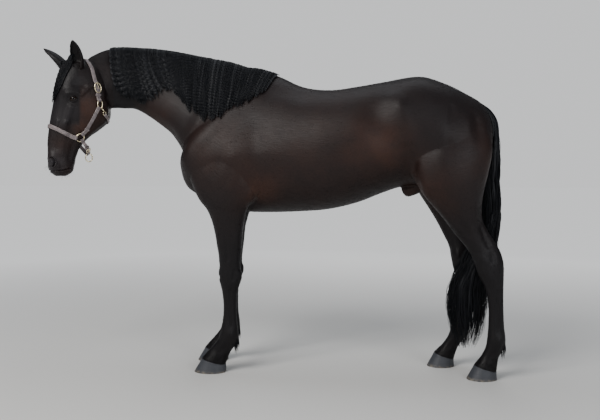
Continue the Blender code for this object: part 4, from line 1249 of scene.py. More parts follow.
    @staticmethod
    def model_mouth(work: Sculpt) -> None:
        """Press in the mouth's line between the full upper lip and the lower.

        Args:
            work: The skin that is shaped.
        """
        normals = work.normals()
        local = FACE.local(work.points)
        height = np.interp(local[:, 0], (0.100, 0.119, 0.162, 0.232),
                           (1.150, 1.146, 1.1345, 1.1290))
        off = local[:, 2] - height
        here = smooth_step(0.112, 0.124, local[:, 0]) * (np.abs(off) < 0.04)
        groove = -0.0042 * hump(off, 0.0, 0.0022)
        upper = 0.0020 * hump(off, 0.0065, 0.0045)
        lower = 0.0022 * hump(off, -0.0075, 0.0050)
        tuck = -0.0010 * smooth_step(0.180, 0.225, local[:, 0]) * smooth_step(0.001, -0.004, off)
        corner = np.linalg.norm(local - np.array((0.117, 0.0, 1.1465)) * (1, 0, 1)
                                - local * (0, 1, 0), axis=1)
        dimple = -0.0022 * hump(corner, 0.0, 0.006) * (np.abs(local[:, 1]) > 0.02)
        work.points += normals * (here * (groove + upper + lower + tuck) + dimple)[:, None]

    def open_lids(self) -> None:
        """Cut the two almond openings through the lids."""
        cutter = joined("eye openings", [self.opening_cutter(opening) for opening in EYES])
        cut = self.obj.modifiers.new("open", "BOOLEAN")
        cut.operation = "DIFFERENCE"
        cut.solver = "EXACT"
        cut.object = cutter
        baked(self.obj)
        discard(cutter)

    @staticmethod
    def opening_cutter(opening: EyeOpening) -> bpy.types.Mesh:
        """A solid that takes away the skin in front of and behind one eyeball.

        Args:
            opening: The eye's opening.

        Returns:
            The solid's mesh.
        """
        along, up, out = opening.axes()
        rings = []
        for depth, scale in ((0.040, 1.06), (0.0255, 1.03), (0.0225, 1.0), (0.0120, 1.0)):
            flat = opening.ring(64) * scale
            rings.append(opening.centre() + out * depth + flat[:, :1] * along + flat[:, 1:] * up)
        return loft_mesh("opening cutter", rings, flat_ends=True)


EYES = (EyeOpening(Side.LEFT), EyeOpening(Side.RIGHT))


# ---------------------------------------------------------------- finishes

Colour = tuple[float, float, float]
Socket = bpy.types.NodeSocket


class Tree:
    """A node tree that is filled by short calls."""

    def __init__(self, tree: bpy.types.NodeTree) -> None:
        """Take the tree that the nodes go into."""
        self.tree = tree

    def node(self, kind: str, **options: object) -> bpy.types.Node:
        """Add a node of a type and set its options.

        Args:
            kind: The node's whole type.
            options: Its options by name.

        Returns:
            The new node.
        """
        node = self.tree.nodes.new(kind)
        for name, value in options.items():
            setattr(node, name, value)
        return node

    def add(self, kind: str, **inputs: object) -> bpy.types.Node:
        """Add a shader node and set its inputs.

        Args:
            kind: The node's type, without the leading ShaderNode.
            inputs: Values or output sockets by the input's name, with _ for a
                space, or by its number after an i, such as i1.

        Returns:
            The new node.
        """
        return self.feed(self.node("ShaderNode" + kind), **inputs)

    def feed(self, node: bpy.types.Node, **inputs: object) -> bpy.types.Node:
        """Set or link a node's inputs, as add does, and give it back.

        Args:
            node: The node.
            inputs: Values or sockets, as in add.

        Returns:
            The same node.
        """
        for key, value in inputs.items():
            numbered = key[0] == "i" and key[1:].isdigit()
            socket = node.inputs[int(key[1:]) if numbered else key.replace("_", " ")]
            if isinstance(value, Socket):
                self.tree.links.new(value, socket)
            else:
                socket.default_value = value
        return node

    def maths(self, operation: str, first: object, second: object = 0.0) -> Socket:
        """One sum of two numbers."""
        node = self.node("ShaderNodeMath", operation=operation)
        return self.feed(node, i0=first, i1=second).outputs[0]

    def times(self, first: object, second: object) -> Socket:
        """Two numbers multiplied."""
        return self.maths("MULTIPLY", first, second)

    def vectors(self, operation: str, **inputs: object) -> bpy.types.Node:
        """One sum with vectors."""
        return self.feed(self.node("ShaderNodeVectorMath", operation=operation), **inputs)

    def spread(self, value: object, low: float = 0.0, high: float = 1.0, to_low: float = 0.0,
               to_high: float = 1.0) -> Socket:
        """A number moved from one range to another, and held inside it."""
        node = self.add("MapRange", i0=value, i1=low, i2=high, i3=to_low, i4=to_high)
        return node.outputs[0]

    def blend(self, share: object, first: object, second: object) -> Socket:
        """A mix of two colours."""
        node = self.node("ShaderNodeMix", data_type="RGBA")
        return self.feed(node, i0=share, i6=rgba(first), i7=rgba(second)).outputs[2]

    def noise(self, place: Socket, scale: float, detail: float, **more: float) -> Socket:
        """Cloudy noise of a scale."""
        return self.add("TexNoise", Vector=place, Scale=scale, Detail=detail,
                        **more).outputs["Fac"]

    def value(self, name: str) -> Socket:
        """The number that the mesh stores under a name."""
        return self.node("ShaderNodeAttribute", attribute_name=name).outputs["Fac"]

    def along_map(self) -> Socket:
        """The places on the map that runs along the lie of the hair."""
        return self.node("ShaderNodeUVMap", uv_map=LIE_MAP).outputs["UV"]

    def solid(self) -> Socket:
        """Places on the object, in metres."""
        return self.add("TexCoord").outputs["Object"]


def rgba(colour: object) -> object:
    """A colour with its alpha; a socket stays as it is."""
    return colour if isinstance(colour, Socket) else (*colour, 1.0)


def half_of(colour: Colour, share: float) -> Colour:
    """A colour made darker by a share."""
    return tuple(share * part for part in colour)


def new_material(name: str) -> tuple[bpy.types.Material, Tree, bpy.types.Node]:
    """An empty material, its tree and its Principled shader.

    Args:
        name: The material's name.

    Returns:
        The material, its tree and its shader.
    """
    material = bpy.data.materials.new(name)
    material.use_nodes = True
    return material, Tree(material.node_tree), material.node_tree.nodes["Principled BSDF"]


def give_sockets(group: bpy.types.NodeTree, given: dict[str, str], made: dict[str, str]) -> None:
    """Name a node group's inputs and outputs, each with its kind.

    Args:
        group: The node group.
        given: Kinds of its inputs by name.
        made: Kinds of its outputs by name.
    """
    for way, sockets in (("INPUT", given), ("OUTPUT", made)):
        for name, kind in sockets.items():
            group.interface.new_socket(name, in_out=way, socket_type="NodeSocket" + kind)


def grain_group() -> bpy.types.NodeTree:
    """The node group of fine strokes that lie one way, made once.

    Returns:
        A group with a Place, two scales and two outputs: Strokes, from 0 to 1,
        and Clumps, which are wider and softer.
    """
    name = "Grain that lies one way"
    if name in bpy.data.node_groups:
        return bpy.data.node_groups[name]
    group = bpy.data.node_groups.new(name, "ShaderNodeTree")
    give_sockets(group, {"Place": "Vector", "Along": "Float", "Across": "Float"},
                 {"Strokes": "Float", "Clumps": "Float"})
    tree = Tree(group)
    given = tree.node("NodeGroupInput").outputs
    scale = tree.add("CombineXYZ", X=given["Along"], Y=given["Across"])
    place = tree.vectors("MULTIPLY", i0=given["Place"], i1=scale.outputs[0]).outputs[0]
    strokes = tree.spread(tree.noise(place, 1.0, 2.0, Roughness=0.6), 0.30, 0.70)
    clumps = tree.spread(tree.noise(place, 0.22, 2.0, Roughness=0.5), 0.30, 0.70)
    tree.feed(tree.node("NodeGroupOutput"), Strokes=strokes, Clumps=clumps)
    return group


def grain(tree: Tree, place: Socket, along: float, across: float) -> tuple[Socket, Socket]:
    """The grain group's strokes and clumps, placed in a material with its own scales.

    Args:
        tree: The material's tree.
        place: The places that the grain is read at.
        along: Its scale along the lie.
        across: Its scale across it.

    Returns:
        The strokes and the clumps.
    """
    node = tree.feed(tree.node("ShaderNodeGroup", node_tree=grain_group()),
                     Place=place, Along=along, Across=across)
    return node.outputs["Strokes"], node.outputs["Clumps"]


def bump(tree: Tree, height: Socket, strength: float, distance: float,
         **normal: Socket) -> Socket:
    """A Bump node over a height, on top of another Normal if one is given."""
    return tree.add("Bump", Strength=strength, Distance=distance, Height=height,
                    **normal).outputs["Normal"]


@dataclass(frozen=True)
class CoatFinish:
    """Short sleek hair: near black, browner where the mesh's Warm says so."""

    name: str = "coat"
    black: Colour = (0.0060, 0.0051, 0.0060)
    brown: Colour = (0.0340, 0.0150, 0.0102)
    bare: Colour = (0.0190, 0.0165, 0.0185)
    roughness: float = 0.47
    level: float = 0.20

    def material(self) -> bpy.types.Material:
        """The coat's material for the skin and the short tufts.

        Returns:
            The material.
        """
        material, tree, shader = new_material(self.name)
        strokes, clumps = grain(tree, tree.along_map(), 70.0, 900.0)
        solid, bare = tree.solid(), tree.value("Bare")
        mottle = tree.spread(tree.noise(solid, 9.0, 3.0, Roughness=0.55), 0.3, 0.7, 0.75, 1.25)
        # Warm is mostly the coat's own brown, but on the flank it is partly a painted highlight and
        # behind the ears partly a painted shadow.
        colour = tree.blend(tree.times(tree.value("Warm"), mottle), self.black, self.brown)
        shaded = tree.vectors("SCALE", i0=colour, Scale=tree.spread(strokes, 0, 1, 0.72, 1.28))
        hairy = tree.times(strokes, tree.spread(bare, 0.0, 1.0, 1.0, 0.12))
        pores = tree.noise(solid, 650.0, 2.0, Roughness=0.6)
        height = tree.maths("ADD", hairy, tree.times(pores, 0.25))
        tree.feed(shader, Base_Color=tree.blend(bare, shaded.outputs[0], self.bare),
                  Roughness=tree.spread(clumps, 0, 1, self.roughness - 0.05,
                                        self.roughness + 0.07),
                  Normal=bump(tree, height, 0.30, 0.00045, Normal=bump(tree, clumps, 0.22, 0.0012)),
                  Specular_IOR_Level=self.level)
        return material


@dataclass(frozen=True)
class HairFinish:
    """Long hair: black with a cold sheen, its strokes along the strands."""

    name: str = "long_hair"
    dark: Colour = (0.0024, 0.0026, 0.0036)
    light: Colour = (0.0056, 0.0072, 0.0118)
    roughness: float = 0.48
    level: float = 0.22

    def material(self) -> bpy.types.Material:
        """The long hair's material.

        Returns:
            The material.
        """
        material, tree, shader = new_material(self.name)
        strokes, _ = grain(tree, tree.along_map(), 28.0, 1500.0)
        own = tree.value("Strand")
        share = tree.maths("ADD", tree.times(own, 0.14), tree.times(strokes, 0.45))
        tree.feed(shader, Base_Color=tree.blend(share, self.dark, self.light),
                  Roughness=tree.spread(own, 0, 1, self.roughness - 0.04, self.roughness + 0.08),
                  Normal=bump(tree, strokes, 0.45, 0.0006), Specular_IOR_Level=self.level)
        return material


@dataclass(frozen=True)
class HornFinish:
    """Hoof horn: dark grey with rings of growth and dust at the ground."""

    name: str = "horn"
    dark: Colour = (0.022, 0.024, 0.030)
    light: Colour = (0.078, 0.083, 0.096)
    dust: Colour = (0.190, 0.165, 0.130)

    def material(self) -> bpy.types.Material:
        """The horn's material, its map running down and round the wall.

        Returns:
            The material.
        """
        material, tree, shader = new_material(self.name)
        place = tree.along_map()
        tubes, _ = grain(tree, place, 30.0, 1100.0)
        stretched = tree.vectors("MULTIPLY", i0=place, i1=(150.0, 6.0, 1.0))
        rings = tree.noise(stretched.outputs[0], 1.0, 1.0)
        shade = tree.maths("ADD", tree.times(tubes, 0.35), tree.times(rings, 0.45))
        patch = tree.noise(tree.solid(), 60.0, 4.0)
        low = tree.times(tree.value("Worn"), tree.spread(patch, 0.35, 0.65))
        height = tree.maths("ADD", rings, tree.times(tubes, 0.3))
        wall = tree.blend(shade, self.dark, self.light)
        tree.feed(shader, Base_Color=tree.blend(low, wall, self.dust),
                  Roughness=tree.spread(patch, 0.3, 0.7, 0.38, 0.58),
                  Normal=bump(tree, height, 0.5, 0.0008), Specular_IOR_Level=0.45)
        return material


@dataclass(frozen=True)
class EyeFinish:
    """A wet dark eye: brown iris with a wide level pupil under clear cornea."""

    name: str = "eye"
    white: Colour = (0.016, 0.011, 0.010)
    iris: Colour = (0.0130, 0.0062, 0.0034)
    pupil: Colour = (0.0015, 0.0018, 0.0030)

    def material(self) -> bpy.types.Material:
        """The eye's material; the mesh's Ring and Pupil say where it changes.

        Returns:
            The material.
        """
        material, tree, shader = new_material(self.name)
        fibres = tree.spread(tree.noise(tree.solid(), 420.0, 3.0), 0.35, 0.65)
        brown = tree.blend(fibres, half_of(self.iris, 0.55), self.iris)
        globe = tree.blend(tree.spread(tree.value("Ring"), 0.90, 1.10), brown, self.white)
        pupil = tree.spread(tree.value("Pupil"), 0.85, 1.05)
        tree.feed(shader, Base_Color=tree.blend(pupil, self.pupil, globe), Roughness=0.16,
                  Specular_IOR_Level=0.14, Coat_Weight=0.28, Coat_Roughness=0.04, Coat_IOR=1.38)
        return material


@dataclass(frozen=True)
class LeatherFinish:
    """Oiled brown leather with fine grain and rubbed edges."""

    name: str = "halter_leather"
    deep: Colour = (0.095, 0.077, 0.080)
    face: Colour = (0.205, 0.172, 0.178)
    rubbed: Colour = (0.290, 0.245, 0.235)
    roughness: float = 0.42

    def material(self) -> bpy.types.Material:
        """The straps' material; the mesh's Edge says where it is rubbed.

        Returns:
            The material.
        """
        material, tree, shader = new_material(self.name)
        solid = tree.solid()
        cells = tree.feed(tree.node("ShaderNodeTexVoronoi", feature="F1"), Vector=solid,
                          Scale=950.0).outputs["Distance"]
        patch = tree.noise(solid, 42.0, 5.0, Roughness=0.6)
        pulled = tree.noise(solid, 260.0, 3.0, Roughness=0.6)
        face = tree.blend(tree.spread(patch, 0.32, 0.68), self.deep, self.face)
        edge = tree.times(tree.value("Edge"), tree.spread(pulled, 0.35, 0.60))
        height = tree.maths("ADD", cells, tree.times(pulled, 0.8))
        tree.feed(shader, Base_Color=tree.blend(tree.times(edge, 0.65), face, self.rubbed),
                  Roughness=tree.spread(patch, 0.3, 0.7, self.roughness - 0.06,
                                        self.roughness + 0.12),
                  Normal=bump(tree, height, 0.35, 0.0003), Specular_IOR_Level=0.6)
        return material


@dataclass(frozen=True)
class BrassFinish:
    """Pale worn brass, duller and browner in patches."""

    name: str = "halter_brass"
    bright: Colour = (0.860, 0.760, 0.540)
    dull: Colour = (0.480, 0.390, 0.240)

    def material(self) -> bpy.types.Material:
        """The metal's material.

        Returns:
            The material.
        """
        material, tree, shader = new_material(self.name)
        solid = tree.solid()
        patch = tree.noise(solid, 120.0, 4.0, Roughness=0.6)
        rub = tree.noise(solid, 900.0, 2.0)
        colour = tree.blend(tree.spread(patch, 0.40, 0.75), self.bright, self.dull)
        tree.feed(shader, Base_Color=colour, Metallic=1.0,
                  Roughness=tree.spread(patch, 0.3, 0.7, 0.16, 0.36),
                  Normal=bump(tree, rub, 0.12, 0.0001))
        return material


@dataclass(frozen=True)
class ThreadFinish:
    """Waxed thread, a little paler than the leather."""

    name: str = "thread"
    colour: Colour = (0.300, 0.240, 0.180)

    def material(self) -> bpy.types.Material:
        """The thread's material.

        Returns:
            The material.
        """
        material, tree, shader = new_material(self.name)
        twist = tree.noise(tree.solid(), 2600.0, 1.0)
        colour = tree.blend(tree.spread(twist, 0.3, 0.7), half_of(self.colour, 0.5), self.colour)
        tree.feed(shader, Base_Color=colour, Roughness=0.6,
                  Normal=bump(tree, twist, 0.3, 0.0002))
        return material


class Tones:
    """Where the coat is browner or blacker, told for skin and tufts alike; on the flank this is
    partly a painted highlight, and behind the ears partly a painted shadow.
    """

    # centre, radius and share of each browner place, or blacker one where the
    # share is below 0: body places by X, side, height; head places by forward,
    # side, height. The browner flank place is partly a painted highlight, and the blacker place
    # behind the ears is partly painted shadow.
    # The flank place (0.46, 0.26, 1.26) is partly the coat's seal brown and partly a painted
    # highlight where sunlight falls on the flank.
    BODY = (((-0.20, 0.22, 1.02), 0.10, 0.75), ((0.46, 0.26, 1.26), 0.14, 0.80),
            ((0.10, 0.28, 1.22), 0.34, 0.30), ((0.72, 0.20, 1.05), 0.14, 0.55),
            ((-0.42, 0.24, 1.25), 0.20, 0.35), ((0.98, 0.14, 1.20), 0.16, 0.45),
            ((-0.80, 0.08, 1.44), 0.12, 0.45), ((0.62, 0.04, 1.01), 0.08, 0.55),
            # Behind the ears the coat is blacker, partly its own black and partly a painted shadow
            # cast by the mane.
            ((-1.02, 0.08, 1.60), 0.13, -0.60))
    HEAD = (((0.025, 0.09, 1.47), 0.080, 1.00), ((0.060, 0.07, 1.36), 0.050, 0.80),
            ((0.215, 0.03, 1.20), 0.060, 0.22), ((0.160, 0.05, 1.27), 0.060, 0.34),
            ((0.130, 0.04, 1.13), 0.040, 0.20))
    # greyer places of the face
    GREY = (((0.115, 0.09, 1.43), 0.050, 0.50), ((0.190, 0.04, 1.43), 0.075, 0.50),
            ((0.205, 0.04, 1.20), 0.075, 0.60), ((0.070, 0.08, 1.62), 0.030, 0.30))
    BASE = 0.10                 # share of brown everywhere

    # bare skin of the mouth and the nostrils, and how much its width counts
    BARE = (((0.220, 0.000, 1.130), 0.5, 0.028, 0.8), ((0.213, -0.047, 1.176), 1.0, 0.020, 0.9),
            ((0.213, 0.047, 1.176), 1.0, 0.020, 0.9))

    @staticmethod
    def nearness(points: np.ndarray, centre: tuple, radius: float) -> np.ndarray:
        """How near points are to a place or to its mirror image, from 1 to 0."""
        folded = np.abs(points * (0, 1, 0)) + points * (1, 0, 1)
        return hump(np.linalg.norm(folded - np.array(centre), axis=1), 0.0, radius)

    @classmethod
    def warmth(cls, points: np.ndarray) -> np.ndarray:
        """Share of brown at places in the horse's directions.

        Args:
            points: Places in the horse's directions, one row each.

        Returns:
            Shares from 0 to 1.
        """
        local, z = FACE.local(points), points[:, 2]
        head = Skin.head_share(points)
        share = np.full(len(points), cls.BASE)
        for places, where, mask in ((cls.BODY, points, 1.0 - head), (cls.HEAD, local, head)):
            for centre, radius, amount in places:
                share += mask * amount * cls.nearness(where, centre, radius)
        black_leg = smooth_step(0.90, 0.62, z)
        ear = smooth_step(1.70, 1.76, z) * head
        before = head * smooth_step(0.066, 0.082, local[:, 0]) * smooth_step(1.37, 1.40, z)
        keep = (1.0 - 0.9 * black_leg) * (1.0 - 0.7 * ear) * (1.0 - 0.85 * before)
        return np.clip(share, 0.0, 1.0) * keep

    @classmethod
    def bareness(cls, points: np.ndarray) -> np.ndarray:
        """Share of grey: 1 where the skin has no hair, at the lips and nostrils.

        Args:
            points: Places in the horse's directions, one row each.

        Returns:
            Shares from 0 to 1.
        """
        local = FACE.local(points)
        share = np.zeros(len(points))
        for spot, flat, radius, amount in cls.BARE:
            off = np.linalg.norm((local - np.array(spot)) * (1, flat, 1), axis=1)
            share += amount * hump(off, 0.0, radius)
        head = Skin.head_share(points)
        for centre, radius, amount in cls.GREY:
            share += head * amount * cls.nearness(local, centre, radius)
        for opening in EYES:
            u, v, w = opening.flat(points)
            share *= 1.0 - np.exp(-((np.hypot(u / 1.6, v) / 0.0175) ** 4)) * (w > 0)
        return np.clip(share, 0.0, 1.0)


# --------------------------------------------------- maps over the skin's shape


class Chart:
    """An unrolling of the horse's own shape: one sheet for each part.

    On a sheet the first number runs along the lie of the coat and the second
    round the part, both in metres. The sheets lie side by side in one square.
    """

    # scale of the sheets in the square, and each one's corner there
    SCALE = 0.145
    CORNERS = ((0.02, 0.80), (0.02, 0.36), (0.52, 0.84), (0.52, 0.64), (0.52, 0.44), (0.52, 0.24))

    @classmethod
    def part_of(cls, points: np.ndarray) -> np.ndarray:
        """The number of the sheet that each place belongs to.

        Args:
            points: Places in the horse's directions, one row each.

        Returns:
            0 for the head, 1 for the body, 2 to 5 for the legs.
        """
        part = np.ones(len(points), dtype=int)
        part[Skin.head_share(points) > 0.5] = 0
        for number, (fore, side) in enumerate(LEGS, start=2):
            low = points[:, 2] < (ELBOW_CUT if fore else STIFLE_CUT)
            front = points[:, 0] < 0.3
            here = low & (front == fore) & (points[:, 1] * side.value > 0)
            here &= (points[:, 0] < 0.3) | (points[:, 0] > 0.62)
            part[here] = number
        return part

    @classmethod
    def place(cls, points: np.ndarray, part: np.ndarray,
              beside: np.ndarray | None = None) -> np.ndarray:
        """Distances along and round the part for each place.

        Args:
            points: Places in the horse's directions.
            part: The sheet of each place.
            beside: Angles that the places' own angles are kept next to, so that
                a face isn't torn where the sheet is rolled open.

        Returns:
            Along and round, in metres.
        """
        along, angle, radius = cls.rolled(points, part)
        if beside is not None:
            angle = angle + 2 * pi * np.round((beside - angle) / (2 * pi))
        return np.stack((along, angle * radius), axis=1)

    @staticmethod
    def rolled(points: np.ndarray, part: np.ndarray) -> tuple[np.ndarray, np.ndarray, np.ndarray]:
        """Distance along each part, the angle round it and its mean radius.

        Args:
            points: Places in the horse's directions, one row each.
            part: The sheet of each place.

        Returns:
            Distance along, angle and radius for each place.
        """
        local = FACE.local(points)
        x, y, z = points.T
        along, angle = x.copy(), np.arctan2(y - BEND.offset(x), z - np.interp(
            x, (-1.1, -0.8, -0.4, 0.3, 1.0), (1.62, 1.60, 1.36, 1.28, 1.30)))
        radius = np.full(len(points), 0.24)
        head = part == 0
        along[head] = 1.80 - local[head, 2]
        angle[head] = np.arctan2(local[head, 1], local[head, 0] - 0.085)
        radius[head] = 0.085
        for number, (fore, side) in enumerate(LEGS, start=2):
            here = part == number
            table = np.array(FORE_LEG if fore else HIND_LEG)[::-1]
            height = (table[:, 1] + table[:, 3]) / 2
            middle = np.interp(z[here], height, (table[:, 0] + table[:, 2]) / 2)
            middle = middle - step_of(fore, side, z[here])
            along[here] = 1.10 - z[here]
            angle[here] = np.arctan2(x[here] - middle, (y[here] - side.value * LEG_SPREAD)
                                     * side.value)
            radius[here] = 0.045
        return along, angle, radius

    @classmethod
    def square(cls, points: np.ndarray) -> np.ndarray:
        """Places on the one square that holds every sheet.

        Args:
            points: Places in the horse's directions, one row each.

        Returns:
            Two numbers from 0 to 1 for each place.
        """
        part = cls.part_of(points)
        flat = cls.place(points, part)
        corner = np.array(cls.CORNERS)[part]
        start = np.array((0.0, -1.25, 0.0, 0.0, 0.0, 0.0))[part]
        middle = np.array((0.06, 0.13, 0.03, 0.03, 0.03, 0.03))[part]
        u = corner[:, 0] + (flat[:, 0] - start) * cls.SCALE
        v = corner[:, 1] + middle + flat[:, 1] * cls.SCALE
        return np.clip(np.stack((u, v), axis=1), 0.002, 0.996)

    @classmethod
    def map_skin(cls, mesh: bpy.types.Mesh) -> None:
        """Give the skin the map that runs along the lie of the coat.

        Args:
            mesh: The skin's mesh.
        """
        points = numbers(mesh.vertices, "co")
        corners = numbers(mesh.loops, "vertex_index", 1).astype(int)
        sizes = numbers(mesh.polygons, "loop_total", 1).astype(int)
        centres = numbers(mesh.polygons, "center")
        part = np.repeat(cls.part_of(centres), sizes)
        _, beside, _ = cls.rolled(np.repeat(centres, sizes, axis=0), part)
        write_map(mesh, LIE_MAP, cls.place(points[corners], part, beside))


LEGS = ((True, Side.LEFT), (True, Side.RIGHT), (False, Side.LEFT), (False, Side.RIGHT))


# --------------------------------------------------------------- long hair


def blade(count: int) -> np.ndarray:
    """The outline of a thin hair or tuft across its length."""
    angle = 2 * pi * np.arange(count) / count
    return np.stack((np.cos(angle), np.sin(angle)), axis=1)


def fluted(count: int, flutes: int, depth: float) -> np.ndarray:
    """The outline of a flat lock with ridges of hair on its faces.

    Args:
        count: Places on the outline.
        flutes: Number of ridges.
        depth: Their height, of the half thickness.

    Returns:
        One row for each place.
    """
    angle = 2 * pi * np.arange(count) / count
    ridge = 1.0 + depth * np.cos(flutes * angle)
    return np.stack((np.cos(angle), np.sin(angle) * ridge), axis=1)


@dataclass
class Hair:
    """Many hairs or locks of one kind, swept along their paths.

    Arrays hold one row for each hair and one column for each place on it.
    """

    paths: np.ndarray       # hairs x places x 3
    out: np.ndarray         # the way each place faces, away from the body
    width: np.ndarray       # half width at each place
    thick: np.ndarray       # half thickness at each place
    outline: np.ndarray     # the section, in half widths and half thicknesses
    strand: np.ndarray      # each hair's own number from 0 to 1

    def mesh(self, name: str) -> bpy.types.Mesh:
        """Sweep the outline along the paths: a closed shell for each hair.

        Args:
            name: The mesh's name.

        Returns:
            The mesh.
        """
        hairs, places = self.paths.shape[:2]
        sides = len(self.outline)
        ahead = unit(np.gradient(self.paths, axis=1))
        across = unit(np.cross(ahead, self.out))
        face = np.cross(across, ahead)
        ring = (across[:, :, None] * self.outline[None, None, :, :1] * self.width[..., None, None]
                + face[:, :, None] * self.outline[None, None, :, 1:]
                * self.thick[..., None, None])
        points = (self.paths[:, :, None] + ring).reshape(-1, 3)
        h, p, k = np.meshgrid(np.arange(hairs), np.arange(places - 1), np.arange(sides),
                              indexing="ij")
        n = (k + 1) % sides
        first = (h * places + p) * sides
        second = first + sides
        quads = np.stack((first + n, first + k, second + k, second + n), axis=-1).reshape(-1, 4)
        start = np.arange(hairs)[:, None] * places * sides + np.arange(sides)
        end = start + (places - 1) * sides
        mesh = mesh_of(name, points, [quads, start, end[:, ::-1]], check=False)
        self.add_maps(mesh, h, p, k)
        with_value(mesh, "Strand", np.repeat(self.strand, places * sides))
        mesh.shade_smooth()
        return mesh

    def add_maps(self, mesh: bpy.types.Mesh, h: np.ndarray, p: np.ndarray, k: np.ndarray) -> None:
        """The map along the strands, and the patch of each hair by its root.

        Args:
            mesh: The swept shells.
            h: The hair that each quad belongs to.
            p: Its place along the hair.
            k: Its place round it.
        """
        hairs, places = self.paths.shape[:2]
        sides = len(self.outline)
        length = distances(self.paths)
        girth = 4.0 * self.width.mean(axis=1)
        own = self.strand * 7.0
        rows, steps = [], []
        for dp, dk in ((0, 1), (0, 0), (1, 0), (1, 1)):
            u = length[h, p + dp] + own[h]
            v = girth[h] * (k + dk) / sides + own[h]
            rows.append(np.stack((u, v), axis=-1))
            steps.append(np.stack(((p + dp) / (places - 1), (k + dk) / sides), axis=-1))
        lie = np.stack(rows, axis=-2).reshape(-1, 2)
        write_map(mesh, LIE_MAP, np.vstack([lie, np.zeros((2 * hairs * sides, 2))]))
        root = Chart.square(self.paths[:, 0])
        patch = np.stack(steps, axis=-2) * BAKE_PATCH + root[h][..., None, :]
        start = np.repeat(root, sides, axis=0)
        end = start + np.array((BAKE_PATCH, 0.0))
        write_map(mesh, BAKE_MAP, np.vstack([patch.reshape(-1, 2), start, end]))

    def piece(self, name: str) -> bpy.types.Object:
        """The hairs as one piece."""
        return new_object(name, self.mesh(name))


def shell_piece(mesh: bpy.types.Mesh, flat: np.ndarray) -> bpy.types.Object:
    """A piece from one shell of hair and each point's place on its map.

    Args:
        mesh: The shell.
        flat: Two numbers for each of its points.

    Returns:
        The piece.
    """
    mesh.shade_smooth()
    map_points(mesh, LIE_MAP, flat)
    map_points(mesh, BAKE_MAP, Chart.square(numbers(mesh.vertices, "co")))
    with_value(mesh, "Strand", np.zeros(len(flat)))
    return new_object(mesh.name, mesh)


def tapered(places: int, root: float, root_end: float, tip: float, tip_start: float) -> np.ndarray:
    """Shares of a lock's full width along it.

    Args:
        places: Number of places along the lock.
        root: Share of the width that is missing at the root.
        root_end: Share of the length where the full width begins.
        tip: Share of the width that is missing at the tip.
        tip_start: Share of the length where it begins to go.

    Returns:
        One row of shares.
    """
    t = np.linspace(0, 1, places)[None, :]
    return ((1.0 - root + root * smooth_step(0, root_end, t))
            * (1.0 - tip * smooth_step(tip_start, 1.0, t)))


def distances(paths: np.ndarray) -> np.ndarray:
    """Distance from the start at each place of one path or of many."""
    steps = np.linalg.norm(np.diff(paths, axis=-2), axis=-1).cumsum(axis=-1)
    return np.concatenate((np.zeros((*paths.shape[:-2], 1)), steps), axis=-1)


def read_rows(at: np.ndarray, along: np.ndarray, rows: np.ndarray) -> np.ndarray:
    """The columns of a table at places between its rows."""
    return np.stack([np.interp(at, along, column) for column in rows.T], axis=-1)


def resampled(path: np.ndarray, count: int) -> np.ndarray:
    """A path with its places evenly spaced."""
    length = distances(path)
    return read_rows(np.linspace(0.0, length[-1], count), length, path)


